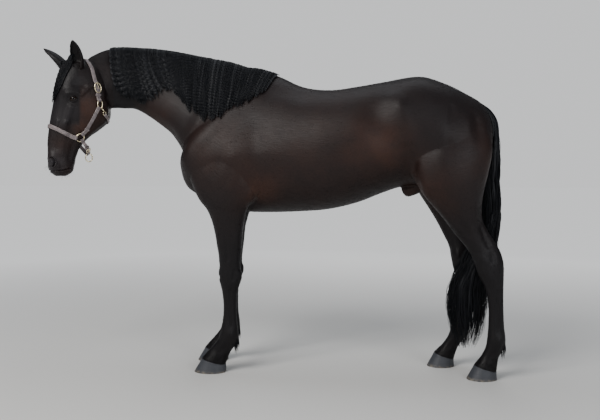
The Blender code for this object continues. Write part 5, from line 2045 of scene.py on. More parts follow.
@dataclass
class Mane:
    """Crimped hair from the crest, down the left side of the neck."""

    skin: Skin
    seed: int = 11
    front_x: float = -1.045
    rear_x: float = -0.125
    crimp: float = 0.0175           # length of one wave
    swing: float = 0.0031           # how far a wave stands out
    sway: float = 0.35              # sideways part of a wave
    layer: float = 0.016            # thickness of the whole mane
    close: float = 0.003            # least distance of a hair from the neck's curtain
    gather: float = 0.13            # share of its width that a bundle draws in
    wander: float = 0.006           # how far hairs stray to the side
    ragged: float = 0.035           # how much their lengths differ
    shortest: float = 0.72          # least length of a hair, of the curtain's
    columns: int = 80               # places of the net along the crest
    rows: int = 40                  # and down the neck
    parts: tuple[float, ...] = (0.0, 0.34, 0.66, 1.0)   # shares of the crest between pieces
    lock_count: int = 44            # locks in one piece
    lock_places: int = 100
    strand_count: int = 175         # strands in one piece
    strand_places: int = 90
    # X along the crest and the height of the lower edge there
    edge: tuple[tuple[float, float], ...] = (
        (-1.070, 1.660), (-1.030, 1.590), (-0.990, 1.560), (-0.920, 1.553), (-0.860, 1.530),
        (-0.800, 1.528), (-0.760, 1.560), (-0.700, 1.590), (-0.650, 1.575), (-0.605, 1.500),
        (-0.560, 1.440), (-0.500, 1.422), (-0.440, 1.424), (-0.390, 1.450), (-0.330, 1.488),
        (-0.270, 1.522), (-0.215, 1.556), (-0.170, 1.592), (-0.110, 1.655))
    # borders between the bundles that the mane has parted into
    partings: tuple[float, ...] = (-1.05, -0.985, -0.915, -0.855, -0.790, -0.725, -0.655, -0.598,
                                   -0.535, -0.480, -0.425, -0.370, -0.305, -0.245, -0.180, -0.120)

    def low(self, x: np.ndarray) -> np.ndarray:
        """Height of the mane's lower edge at places along the crest."""
        return np.interp(x, *zip(*self.edge))

    def curtain(self) -> tuple[np.ndarray, np.ndarray]:
        """A net of places that lies on the neck, and the way each one faces.

        Returns:
            Places and directions, by column along the crest and row down it.
        """
        nets = []
        for x in np.linspace(self.front_x, self.rear_x, self.columns):
            turn = float(BEND.turn(x))
            scale = 1.0 / sqrt(1.0 + turn * turn)
            left = Vector((turn * scale, -scale, 0.0))
            middle = Vector((x, float(BEND.offset(x)), 0.0))
            top = self.skin.tree.ray_cast(middle + Vector((0, 0, 2.4)), Vector((0, 0, -1)))[0]
            crest = top.z
            rise = float(np.interp(x, (-1.045, -0.93, -0.60, -0.42, -0.30, -0.185),
                                   (0.003, 0.008, 0.010, 0.020, 0.020, 0.004)))
            path = [middle + Vector((0, 0, crest + rise * 0.6)) - left * 0.014,
                    middle + Vector((0, 0, crest + rise)) + left * 0.004]
            low = float(self.low(x))
            for height in np.linspace(crest - 0.008, low - 0.03, 26):
                start = middle + left * 0.6 + Vector((0, 0, height))
                spot, normal, _, _ = self.skin.tree.ray_cast(start, -left)
                if spot is not None and (spot - path[-1]).length < 0.12:
                    path.append(spot + normal * 0.003)
            net = resampled(np.array(path), self.rows)
            for _ in range(6):
                net[1:-1] += 0.5 * ((net[:-2] + net[2:]) / 2 - net[1:-1])
            nets.append(net)
        net = np.array(nets)
        for _ in range(4):
            net[1:-1] += 0.5 * ((net[:-2] + net[2:]) / 2 - net[1:-1])
        down = np.gradient(net, axis=1)
        along = np.gradient(net, axis=0)
        return net, unit(np.cross(down, along))

    def read(self, net: np.ndarray, x: np.ndarray, t: np.ndarray) -> np.ndarray:
        """Places or directions of the net at shares of its length and drop.

        Args:
            net: The net's places or directions.
            x: X along the crest.
            t: Share of the drop, 0 at the crest.

        Returns:
            Places or directions of the same shape as x and t together.
        """
        i = np.clip((x - self.front_x) / (self.rear_x - self.front_x), 0, 1) * (self.columns - 1)
        j = np.clip(t, 0, 1) * (self.rows - 1)
        i0 = np.minimum(i.astype(int), self.columns - 2)
        j0 = np.minimum(j.astype(int), self.rows - 2)
        a, b = (i - i0)[..., None], (j - j0)[..., None]
        return ((net[i0, j0] * (1 - a) + net[i0 + 1, j0] * a) * (1 - b)
                + (net[i0, j0 + 1] * (1 - a) + net[i0 + 1, j0 + 1] * a) * b)

    @staticmethod
    def lean(roots: np.ndarray) -> np.ndarray:
        """How far the ends of hairs lie behind their roots."""
        return np.interp(roots, (-1.05, -0.95, -0.85, -0.75, -0.65, -0.55, -0.4, -0.2),
                         (0.085, 0.110, 0.125, 0.100, 0.040, 0.010, -0.010, -0.050))

    def hairs(self, net: np.ndarray, face: np.ndarray, roots: np.ndarray, depth: np.ndarray,
              places: int, rng: np.random.Generator) -> tuple[np.ndarray, np.ndarray]:
        """Crimped paths from roots along the crest.

        Args:
            net: The curtain's places.
            face: The curtain's directions.
            roots: X of each root.
            depth: How far each hair lies over the neck, from 0 to 1.
            places: Number of places on each path.
            rng: The source of random numbers.

        Returns:
            The paths and the way they face.
        """
        count = len(roots)
        partings = np.array(self.partings)
        bundle = np.clip(np.searchsorted(partings, roots) - 1, 0, len(partings) - 2)
        middle = (partings[bundle] + partings[bundle + 1]) / 2
        half = (partings[bundle + 1] - partings[bundle]) / 2
        off = (roots - middle) / half
        t = np.linspace(0.0, 1.0, places)[None, :]
        lean = self.lean(roots)[:, None]
        gather = self.gather + self.gather * np.sin(bundle * 2.1)[:, None]
        wander = rng.normal(0, self.wander, (count, 1)) * t ** 1.5
        x = roots[:, None] - (off * half)[:, None] * gather * t ** 1.4 + lean * t ** 1.3 + wander
        fall = 1.0 - 0.05 * np.abs(off) ** 2 - np.abs(rng.normal(0, self.ragged, count))
        fall *= 1.0 - 0.05 * (np.sin(bundle * 4.7) > 0.3)
        down = t * np.clip(fall, self.shortest, 1.0)[:, None]
        path = self.read(net, x, down)
        out = self.read(face, x, down)
        length = distances(path)
        loose = smooth_step(-0.66, -0.80, roots)[:, None]
        phase = 1.9 * np.sin(bundle * 1.7)[:, None] + 9.0 * roots[:, None]
        phase = phase + rng.normal(0, 1.0, (count, 1)) * (0.28 + 1.1 * loose)
        phase = phase + 0.8 * np.sin(x * 60.0 + bundle[:, None]) + 0.6 * np.sin(length * 31.0)
        crimp = self.crimp * (1.0 + 0.75 * loose + 0.12 * np.sin(bundle * 3.1)[:, None])
        wave = np.sin(2 * pi * length / crimp + phase)
        side_wave = np.cos(2 * pi * length / crimp + phase) * (1.0 + 2.6 * loose)
        strength = smooth_step(0.03, 0.10, length) * (0.75 + 0.25 * np.sin(roots * 90.0)[:, None])
        lift = self.layer * depth[:, None] * (0.30 + 0.70 * smooth_step(0.0, 0.05, length))
        lift = lift * (1.0 - 0.35 * t) + self.close
        ahead = unit(np.gradient(path, axis=1))
        across = unit(np.cross(ahead, out))
        path = path + out * (lift + strength * self.swing * wave)[..., None]
        path = path + across * (strength * self.sway * self.swing * side_wave)[..., None]
        return path, unit(out)

    def build(self) -> list[bpy.types.Object]:
        """The under layer, the locks and the fine strands.

        Returns:
            The mane's pieces.
        """
        rng = np.random.default_rng(self.seed)
        net, face = self.curtain()
        made = [self.under_layer(net, face)]
        for part, reach in enumerate(zip(self.parts, self.parts[1:]), start=1):
            made.append(self.locks(net, face, part, reach, rng))
            made.append(self.strands(net, face, part, reach, rng))
        return made

    def under_layer(self, net: np.ndarray, face: np.ndarray) -> bpy.types.Object:
        """A thin closed sheet of hair that hides the neck behind the locks.

        Args:
            net: The curtain's places.
            face: The curtain's directions.

        Returns:
            The piece.
        """
        t = np.linspace(0.0, 0.84, self.rows * 3)[None, :]
        x = np.linspace(self.front_x + 0.012, self.rear_x - 0.012, self.columns)[:, None]
        x, t = np.broadcast_arrays(x, t)
        x = np.minimum(x + self.lean(x) * t ** 1.3, self.rear_x - 0.012)
        places = self.read(net, x, t)
        out = self.read(face, x, t)
        wave = 0.0024 * np.sin(2 * pi * distances(places) / self.crimp + 9.0 * x)
        outer = places + out * (0.0038 + wave)[..., None]
        inner = places - out * 0.004
        rings = [np.vstack([a, b[::-1]]) for a, b in zip(outer, inner)]
        mesh = loft_mesh("mane_under", np.array(rings), flat_ends=True)
        return shell_piece(mesh, numbers(mesh.vertices, "co")[:, [2, 0]])

    def locks(self, net: np.ndarray, face: np.ndarray, part: int, reach: tuple[float, float],
              rng: np.random.Generator) -> bpy.types.Object:
        """Broad flat locks, each a ribbon with ridges of hair.

        Args:
            net: The curtain's places.
            face: The curtain's directions.
            part: The piece's number.
            reach: Shares of the crest where it starts and ends.
            rng: The source of random numbers.

        Returns:
            The piece.
        """
        count, places = self.lock_count, self.lock_places
        low, high = reach
        share = low + (high - low) * (np.arange(count) + 0.5) / count
        roots = self.front_x + (self.rear_x - self.front_x) * share
        roots = roots + rng.normal(0, 0.004, count)
        path, out = self.hairs(net, face, roots, rng.uniform(0.38, 0.60, count), places, rng)
        taper = tapered(places, 0.45, 0.15, 0.80, 0.80)
        wide = rng.uniform(0.0085, 0.0125, (count, 1)) * taper
        thick = rng.uniform(0.0009, 0.0014, (count, 1)) * taper
        hair = Hair(path, out, wide, thick, fluted(10, 5, 0.35), rng.random(count))
        return hair.piece(f"mane_locks_{part}")

    def strands(self, net: np.ndarray, face: np.ndarray, part: int, reach: tuple[float, float],
                rng: np.random.Generator) -> bpy.types.Object:
        """Fine strands that lie over the locks.

        Args:
            net: The curtain's places.
            face: The curtain's directions.
            part: The piece's number.
            reach: Shares of the crest where it starts and ends.
            rng: The source of random numbers.

        Returns:
            The piece.
        """
        count, places = self.strand_count, self.strand_places
        roots = self.front_x + (self.rear_x - self.front_x) * rng.uniform(*reach, count)
        path, out = self.hairs(net, face, roots, rng.uniform(0.55, 0.95, count), places, rng)
        t = np.linspace(0, 1, places)[None, :]
        taper = 1.0 - 0.75 * smooth_step(0.85, 1.0, t)
        wide = rng.uniform(0.0009, 0.0020, (count, 1)) * taper
        hair = Hair(path, out, wide, wide * 0.7, blade(3), rng.random(count))
        return hair.piece(f"mane_strands_{part}")


@dataclass
class Tail:
    """Long hair from the dock down between the hocks."""

    seed: int = 23
    ragged: float = 0.10            # how much the hairs' lengths differ, of the fall
    stray: float = 0.5              # how far they turn round the tail, in radians
    kink: float = 0.05              # height of their waves, of the tail's half width
    gather: float = 0.18            # how far the ends draw together
    lock_count: int = 90
    lock_places: int = 54
    strand_count: int = 500
    strand_places: int = 40
    # X, Y and Z of the middle line, half width along X, half width along Y
    rows: tuple[tuple[float, float, float, float, float], ...] = (
        (0.990, 0.000, 1.500, 0.018, 0.020), (1.030, 0.000, 1.462, 0.034, 0.034),
        (1.064, 0.002, 1.400, 0.038, 0.044), (1.072, 0.004, 1.310, 0.040, 0.052),
        (1.064, 0.004, 1.200, 0.048, 0.060), (1.054, 0.004, 1.060, 0.056, 0.066),
        (1.056, 0.004, 0.920, 0.064, 0.070), (1.040, 0.004, 0.780, 0.070, 0.070),
        (0.994, 0.004, 0.640, 0.100, 0.064), (0.952, 0.004, 0.500, 0.118, 0.062),
        (0.938, 0.004, 0.380, 0.120, 0.058), (0.940, 0.004, 0.280, 0.108, 0.050),
        (0.938, 0.004, 0.190, 0.080, 0.036), (0.936, 0.004, 0.112, 0.040, 0.014))

    def spread(self, share: np.ndarray) -> np.ndarray:
        """The tail's middle and half widths at shares of its fall.

        Args:
            share: Shares of the fall.

        Returns:
            Five numbers for each share.
        """
        curve = smooth_between(self.rows, 12)
        length = distances(curve[:, :3])
        return read_rows(share * length[-1], length, curve)

    def hairs(self, count: int, places: int, inner: float, outer: float, root_end: float,
              rng: np.random.Generator) -> tuple[np.ndarray, np.ndarray]:
        """Paths inside the tail's outline and the way they face.

        Args:
            count: Number of hairs.
            places: Number of places on each.
            inner: Least distance from the middle line, of the half width.
            outer: Greatest distance from it.
            root_end: The share of the fall where the lowest hairs grow.
            rng: The source of random numbers.

        Returns:
            The paths and the way they face.
        """
        angle = rng.uniform(0, 2 * pi, (count, 1))
        reach = rng.uniform(inner, outer, (count, 1))
        start = rng.uniform(0.0, root_end, (count, 1))
        stop = 1.0 - np.abs(rng.normal(0, self.ragged, (count, 1))) - 0.02
        t = np.linspace(0, 1, places)[None, :]
        share = start + (np.clip(stop, 0.62, 0.99) - start) * t
        rows = self.spread(share)
        grow = 0.35 + 0.65 * smooth_step(0.0, 0.22, share - start)
        swirl = angle + 0.5 * rng.normal(0, self.stray, (count, 1)) * t
        swirl = swirl + 0.12 * np.sin(14.0 * share + 3.0 * angle)
        kink = 1.0 + self.kink * np.sin(2 * pi * share * 9.0 + 5.0 * angle)
        out_x, out_y = np.cos(swirl), np.sin(swirl)
        gather = 1.0 - self.gather * np.sin(angle * 5.0) ** 2 * smooth_step(0.45, 1.0, share)
        path = rows[..., :3].copy()
        path[..., 0] += rows[..., 3] * reach * grow * kink * out_x * gather
        path[..., 1] += rows[..., 4] * reach * grow * kink * out_y * gather
        out = unit(np.stack((out_x, out_y, np.zeros_like(out_x)), axis=-1))
        return path, out

    def core(self) -> bpy.types.Object:
        """The dock and the dark hair inside the tail.

        Returns:
            The piece.
        """
        share, around = np.linspace(0.0, 0.86, 70), 36
        angle = 2 * pi * np.arange(around) / around
        rings = []
        for s, row in zip(share, self.spread(share)):
            ridge = 0.70 + 0.05 * np.sin(9 * angle + 6 * s) + 0.03 * np.sin(17 * angle)
            ridge = ridge * (1.0 - 0.75 * smooth_step(0.62, 0.86, s))
            rings.append(np.stack((row[0] + row[3] * ridge * np.cos(angle),
                                   row[1] + row[4] * ridge * np.sin(angle),
                                   np.full(around, row[2])), axis=1))
        mesh = loft_mesh("tail_core", np.array(rings))
        x, y, z = numbers(mesh.vertices, "co").T
        return shell_piece(mesh, np.stack((z, np.arctan2(y, x - 1.0) * 0.06), axis=1))

    def build(self) -> list[bpy.types.Object]:
        """The core, the locks and the fine strands.

        Returns:
            The tail's pieces.
        """
        rng = np.random.default_rng(self.seed)
        made = [self.core()]
        count, places = self.lock_count, self.lock_places
        path, out = self.hairs(count, places, 0.62, 0.86, 0.16, rng)
        taper = tapered(places, 0.55, 0.2, 0.85, 0.72)
        wide = rng.uniform(0.008, 0.015, (count, 1)) * taper
        thick = rng.uniform(0.003, 0.005, (count, 1)) * taper
        hair = Hair(path, out, wide, thick, fluted(10, 5, 0.5), rng.random(count))
        made.append(hair.piece("tail_locks"))
        count, places = self.strand_count, self.strand_places
        path, out = self.hairs(count, places, 0.72, 1.0, 0.26, rng)
        t = np.linspace(0, 1, places)[None, :]
        wide = rng.uniform(0.0010, 0.0024, (count, 1)) * (1.0 - 0.8 * smooth_step(0.8, 1.0, t))
        hair = Hair(path, out, wide, wide * 0.7, blade(3), rng.random(count))
        made.append(hair.piece("tail_strands"))
        return made


@dataclass
class Forelock:
    """The lock that falls from between the ears down the forehead."""

    skin: Skin
    seed: int = 31
    # forward of the poll, side, height and half width of the lock
    rows: tuple[tuple[float, float, float, float], ...] = (
        (0.060, 0.010, 1.768, 0.030), (0.108, 0.020, 1.745, 0.042), (0.142, 0.027, 1.700, 0.050),
        (0.160, 0.028, 1.650, 0.052), (0.174, 0.024, 1.600, 0.048), (0.186, 0.014, 1.550, 0.034),
        (0.193, 0.008, 1.505, 0.014))

    def hairs(self, count: int, places: int, depth: tuple[float, float],
              rng: np.random.Generator) -> tuple[np.ndarray, np.ndarray]:
        """Paths down the forehead and the way they face.

        Args:
            count: Number of hairs.
            places: Number of places on each.
            depth: Least and greatest distance from the skin.
            rng: The source of random numbers.

        Returns:
            The paths and the way they face.
        """
        curve = smooth_between(self.rows, 8)
        length = np.linspace(0, 1, len(curve))
        t = np.linspace(0, 1, places)[None, :]
        stop = 1.0 - np.abs(rng.normal(0, 0.12, (count, 1)))
        share = t * np.clip(stop, 0.6, 1.0)
        rows = read_rows(share, length, curve)
        off = rng.uniform(-1, 1, (count, 1)) * (1.0 + 0.10 * np.sin(share * 9.0))
        clump = 0.30 * smooth_step(0.3, 1.0, share) * np.sin(off * 9.0)
        side = rows[..., 1] + rows[..., 3] * (off - 0.35 * clump)
        lift = rng.uniform(*depth, (count, 1)) * (0.5 + 0.5 * smooth_step(0, 0.15, share))
        wave = 0.0012 * np.sin(2 * pi * share * 12.0 + 2.0 * off)
        flat = np.stack((rows[..., 0] + 0.03 - 8.0 * side ** 2, side, rows[..., 2]), axis=-1)
        path = FACE.points(flat)
        out = np.empty_like(path)
        for at in np.ndindex(count, places):
            path[at], out[at], _, _ = self.skin.tree.find_nearest(Vector(path[at]))
        for _ in range(3):
            path[:, 1:-1] += 0.5 * ((path[:, :-2] + path[:, 2:]) / 2 - path[:, 1:-1])
        out = unit(out)
        return path + out * (lift + wave + 0.001)[..., None], out

    def build(self) -> list[bpy.types.Object]:
        """The locks and the strands of the forelock.

        Returns:
            The forelock's pieces.
        """
        rng = np.random.default_rng(self.seed)
        made = []
        for name, count, places, depth, wide, outline in (
                ("forelock_locks", 46, 60, (0.001, 0.007), (0.0035, 0.0065), fluted(10, 5, 0.5)),
                ("forelock_strands", 210, 40, (0.004, 0.011), (0.0007, 0.0014), blade(3))):
            path, out = self.hairs(count, places, depth, rng)
            half = rng.uniform(*wide, (count, 1)) * tapered(places, 0.5, 0.2, 0.85, 0.75)
            hair = Hair(path, out, half, half * 0.35, outline, rng.random(count))
            made.append(hair.piece(name))
        return made


# ---------------------------------------------------- hooves and other horn


def worn_piece(mesh: bpy.types.Mesh, axes: list[int], worn: float) -> bpy.types.Object:
    """A piece of horn, mapped flat along two axes and evenly worn.

    Args:
        mesh: The piece's mesh.
        axes: The two axes that the map takes.
        worn: Share of wear and dust.

    Returns:
        The piece.
    """
    points = numbers(mesh.vertices, "co")
    map_points(mesh, LIE_MAP, points[:, axes])
    with_value(mesh, "Worn", np.full(len(points), worn))
    return new_object(mesh.name, mesh)


@dataclass(frozen=True)
class Hoof:
    """One hoof: coronet, ringed wall, heel bulbs, hollow sole and frog."""

    fore: bool
    side: Side
    around: int = 72
    flare: float = 1.24         # how much wider the wall is at the ground
    heel_slope: float = 0.12
    sole_rise: float = 0.009

    @property
    def node(self) -> str:
        """The name of the solid that the hoof replaces."""
        return f"hoof_{'fore' if self.fore else 'hind'}_{self.side.word}"

    @property
    def name(self) -> str:
        """The name of the fine hoof."""
        return self.node + "_fine"

    def coronet(self) -> tuple[Vector, Vector, float]:
        """Front and back of the coronet, and its half width.

        Returns:
            The two places and the half width.
        """
        row = (FORE_LEG if self.fore else HIND_LEG)[-1]
        front = Vector((row[0] - float(step_of(self.fore, self.side, row[1])), 0.0, row[1]))
        back = Vector((row[2] - float(step_of(self.fore, self.side, row[3])), 0.0, row[3]))
        return front, back, row[5]

    def ring(self, level: float, scale: float, lift: float = 0.0) -> np.ndarray:
        """One ring of the hoof.

        Args:
            level: 1 at the coronet, 0 at the ground.
            scale: Size beside the plain wall's.
            lift: Height over the plain ring.

        Returns:
            The ring's places.
        """
        front, back, half_top = self.coronet()
        toe_slope = 0.60 if self.fore else 0.54
        angle = 2 * pi * np.arange(self.around) / self.around
        c, s = np.cos(angle), np.sin(angle)
        share = (1.0 + c) / 2
        top_x = back.x + (front.x - back.x) * share
        top_z = back.z + (front.z - back.z) * share
        x_low = top_x - top_z * toe_slope * share + top_z * self.heel_slope * (1 - share)
        half_sole = half_top * self.flare
        half = half_sole + (half_top - half_sole) * level
        x = x_low + (top_x - x_low) * level
        y = half * s * (1.0 + 0.10 * c)
        middle_x = (x.max() + x.min()) / 2
        at_heel = smooth_step(-0.55, -0.95, c)
        cleft = 1.0 - 0.16 * hump(s, 0.0, 0.16) * at_heel
        bulb = 1.0 + 0.05 * hump(np.abs(s), 0.42, 0.22) * (c < 0) * level
        size = scale * cleft * bulb
        x = middle_x + (x - middle_x) * size
        z = top_z * level + lift
        return np.stack((x, self.side.value * LEG_SPREAD + y * size, z), axis=1)

    def build(self) -> bpy.types.Object:
        """The hoof as one closed piece.

        Returns:
            The hoof.
        """
        rows = [(1.0, 0.86, 0.004), (1.0, 0.95, 0.001), (1.0, 0.992, -0.001)]
        for level in np.linspace(0.985, 0.05, 34):
            swell = 0.016 * hump(level, 0.93, 0.045)
            ringed = 0.0035 * np.sin(2 * pi * 7.5 * level) * smooth_step(0.05, 0.25, level)
            rows.append((level, 1.0 + swell + ringed, 0.0))
        rows += [(0.030, 1.000, 0.0), (0.012, 0.992, 0.0), (0.0, 0.978, 0.0), (0.0, 0.880, 0.0),
                 (0.0, 0.860, 0.003), (0.0, 0.60, 0.75 * self.sole_rise),
                 (0.0, 0.25, self.sole_rise)]
        rings = np.array([self.ring(*row) for row in rows])
        mesh = loft_mesh(self.name, rings)
        smooth_shaded(mesh, 50.0)
        levels = np.repeat([row[0] for row in rows], self.around)
        self.dress(mesh, np.concatenate([levels, (1.0, 0.0)]))
        return new_object(self.name, mesh)

    def dress(self, mesh: bpy.types.Mesh, levels: np.ndarray) -> None:
        """Add the map down and round the wall, and where the wall is worn.

        Args:
            mesh: The hoof's mesh.
            levels: Height of each point, 1 at the coronet.
        """
        points = numbers(mesh.vertices, "co")
        front, back, _ = self.coronet()
        middle = (front.x + back.x) / 2 - 0.02
        turn = np.abs(np.arctan2(points[:, 1] - self.side.value * LEG_SPREAD,
                                 middle - points[:, 0]))
        map_points(mesh, LIE_MAP, np.stack(((1.0 - levels) * 0.09, turn * 0.065), axis=1))
        with_value(mesh, "Worn", smooth_step(0.30, 0.02, levels))

    def frog(self) -> bpy.types.Object:
        """The wedge of soft horn that points from the heels to the toe.

        Returns:
            The piece.
        """
        low = self.ring(0.0, 1.0)
        heel, toe = low[:, 0].max(), low[:, 0].min()
        length = (heel - toe) * 0.62
        rings = []
        for share in np.linspace(0.0, 1.0, 15):
            x = heel - 0.008 - length * share
            half = 0.021 * (1.0 - share) ** 0.8 + 0.001
            deep = 0.0055 * (1.0 - 0.6 * share)
            side = np.linspace(-1.0, 1.0, 11)
            cleft = 0.0035 * hump(side, 0.0, 0.28) * (1.0 - share)
            under = np.maximum(self.sole_rise - deep * (1 - side ** 4) + cleft, 0.0008)
            over = np.full(11, self.sole_rise + 0.003)
            y = self.side.value * LEG_SPREAD + half * side
            rings.append(np.vstack([np.stack((np.full(11, x), y, under), axis=1),
                                    np.stack((np.full(11, x), y, over), axis=1)[::-1]]))
        mesh = loft_mesh(self.name + "_frog", np.array(rings), flat_ends=True)
        smooth_shaded(mesh, 50.0)
        return worn_piece(mesh, [0, 1], 0.8)


@dataclass(frozen=True)
class Chestnut:
    """The rough oval callus on the inside of each leg."""

    fore: bool
    side: Side

    def build(self, skin: Skin) -> bpy.types.Object:
        """Set the callus on the skin.

        Args:
            skin: The skin that it lies on.

        Returns:
            The callus.
        """
        x, z = (-0.352, 0.655) if self.fore else (1.020, 0.560)
        half = (0.0085, 0.0190, 0.0050) if self.fore else (0.0065, 0.0130, 0.0040)
        x = x - float(step_of(self.fore, self.side, z))
        inside = Vector((x, self.side.value * (LEG_SPREAD - 0.20), z))
        inward = Vector((0.0, self.side.value, 0.0))
        spot, normal, _, _ = skin.tree.ray_cast(inside, inward)
        across = Vector((0, 0, 1)).cross(normal).normalized()
        up = normal.cross(across)
        shape = bmesh.new()
        bmesh.ops.create_icosphere(shape, subdivisions=4, radius=1.0)
        for vertex in shape.verts:
            a, b, c = vertex.co
            rough = 1.0 + 0.10 * sin(9 * a + 4 * b) * sin(7 * b) + 0.05 * sin(21 * b + 11 * c)
            vertex.co = (spot + across * a * half[0] * rough + up * b * half[1] * rough
                         + normal * c * half[2] * rough)
        name = f"chestnut_{'fore' if self.fore else 'hind'}_{self.side.word}"
        mesh = bpy.data.meshes.new(name)
        shape.to_mesh(mesh)
        shape.free()
        mesh.shade_smooth()
        return worn_piece(mesh, [0, 2], 0.15)


def build_horn(skin: Skin) -> list[tuple[bpy.types.Object, tuple[str, ...]]]:
    """Hooves, frogs and chestnuts, each with the solids that it replaces.

    Args:
        skin: The skin that the calluses lie on.

    Returns:
        The pieces with the solids' names.
    """
    made = []
    for fore, side in LEGS:
        hoof = Hoof(fore, side)
        made.append((hoof.build(), (hoof.node,)))
        made.append((hoof.frog(), (hoof.node,)))
        made.append((Chestnut(fore, side).build(skin), ()))
    return made


@dataclass
class Feather:
    """The tufts of longer hair behind the fetlocks."""

    skin: Skin
    seed: int = 61
    count: int = 90
    places: int = 14

    def build(self) -> bpy.types.Object:
        """All four tufts as one piece.

        Returns:
            The piece.
        """
        rng = np.random.default_rng(self.seed)
        paths, outs = [], []
        for fore, side in LEGS:
            for _ in range(self.count):
                height = rng.uniform(0.150, 0.205)
                x = -0.335 if fore else 1.130
                off = rng.normal(0.0, 0.010)
                start = Vector((x + 0.10 - float(step_of(fore, side, height)),
                                side.value * LEG_SPREAD + off, height))
                spot, normal, _, _ = self.skin.tree.ray_cast(start, Vector((-1, 0, 0)))
                if spot is None or (spot - start).length > 0.16:
                    continue
                length = rng.uniform(0.020, 0.044) * (1.2 - 20.0 * abs(off))
                t = np.linspace(0.0, 1.0, self.places)[:, None]
                back = np.array(normal) * 0.12 + np.array((0.10, 0.0, -1.00))
                fall = np.array((0.02, -off * 6.0, -1.0))
                path = np.array(spot) - np.array(normal) * 0.002 + length * (
                    back * t * (1.0 - 0.45 * t) + fall * 0.55 * t ** 2)
                path[:, 1] += 0.001 * np.sin(t[:, 0] * 7.0 + off * 900.0) * t[:, 0]
                paths.append(path)
                outs.append(np.tile(np.array(normal), (self.places, 1)))
        paths, outs = np.array(paths), np.array(outs)
        count = len(paths)
        t = np.linspace(0, 1, self.places)[None, :]
        wide = rng.uniform(0.0008, 0.0022, (count, 1)) * (1.0 - 0.85 * t ** 2)
        hair = Hair(paths, outs, wide, wide * 0.6, blade(4), rng.random(count))
        return hair.piece("fetlock_hair")


# -------------------------------------------------------------- the halter


SEAM_INSET = 0.0026         # from a strap's edge to its stitches
AIR = 0.0003                # between two layers of leather
TURN_PLACES = 11            # places where a strap turns round a bar


def strap_outline(half: float, thick: float) -> tuple[np.ndarray, np.ndarray]:
    """The section of a strap: rounded edges and a pressed line inside them.

    Args:
        half: Half of the strap's width.
        thick: Its thickness.

    Returns:
        Places across and out, and how near each is to an edge.
    """
    h = thick / 2
    line = half - SEAM_INSET
    top = [(half, 0.0, 1.0), (half - 0.0003, 0.60 * h, 1.0), (half - 0.0010, 0.92 * h, 0.7),
           (line + 0.0006, h, 0.2), (line, h - 0.00035, 0.0), (line - 0.0006, h + 0.0001, 0.1),
           (line * 0.45, h + 0.00025, 0.0)]
    right = top + [(line * 0.0, h + 0.0003, 0.0)]
    over = right + [(-x, z, e) for x, z, e in reversed(top)]
    under = [(-half + 0.0010, -0.95 * h, 0.6), (-line * 0.4, -h, 0.0), (line * 0.4, -h, 0.0),
             (half - 0.0010, -0.95 * h, 0.6)]
    table = np.array(over + under)
    return table[:, :2], table[:, 2]


def hoop_mesh(name: str, rings: np.ndarray) -> bpy.types.Mesh:
    """A mesh through rings of places that closes from the last to the first."""
    faces = tube_faces(*rings.shape[:2], closed=True)
    return outward(mesh_of(name, rings.reshape(-1, 3), [faces]))


def mirrored(*half: tuple[float, float, float]) -> list[tuple[float, float, float]]:
    """Places up to one on the middle line, and their mirror images beyond it."""
    return [*half, *((forward, -side, height) for forward, side, height in half[-2::-1])]


@dataclass
class Ribbon:
    """A strap's middle line and the way its outer side faces."""

    path: np.ndarray
    out: np.ndarray

    @property
    def across(self) -> np.ndarray:
        """Directions across the strap."""
        return unit(np.cross(unit(np.gradient(self.path, axis=0)), self.out))

    def part(self, low: float, high: float) -> "Ribbon":
        """The stretch between two distances from the start.

        Args:
            low: Where the stretch starts.
            high: Where it ends.

        Returns:
            The stretch.
        """
        length = self.lengths()
        at = np.linspace(low, min(high, length[-1]), max(int((high - low) / 0.003), 3))
        return Ribbon(read_rows(at, length, self.path), unit(read_rows(at, length, self.out)))

    def lengths(self) -> np.ndarray:
        """Distance along the strap at each of its places."""
        return distances(self.path)

    def moved(self, out: float) -> "Ribbon":
        """The same line further out."""
        return Ribbon(self.path + self.out * out, self.out)

    def seam(self, off: float, over: float) -> "Ribbon":
        """A line beside the middle, on the outer side."""
        return Ribbon(self.path + self.across * off + self.out * over, self.out)

    def reversed(self) -> "Ribbon":
        """The same line from its other end."""
        return Ribbon(self.path[::-1].copy(), self.out[::-1].copy())


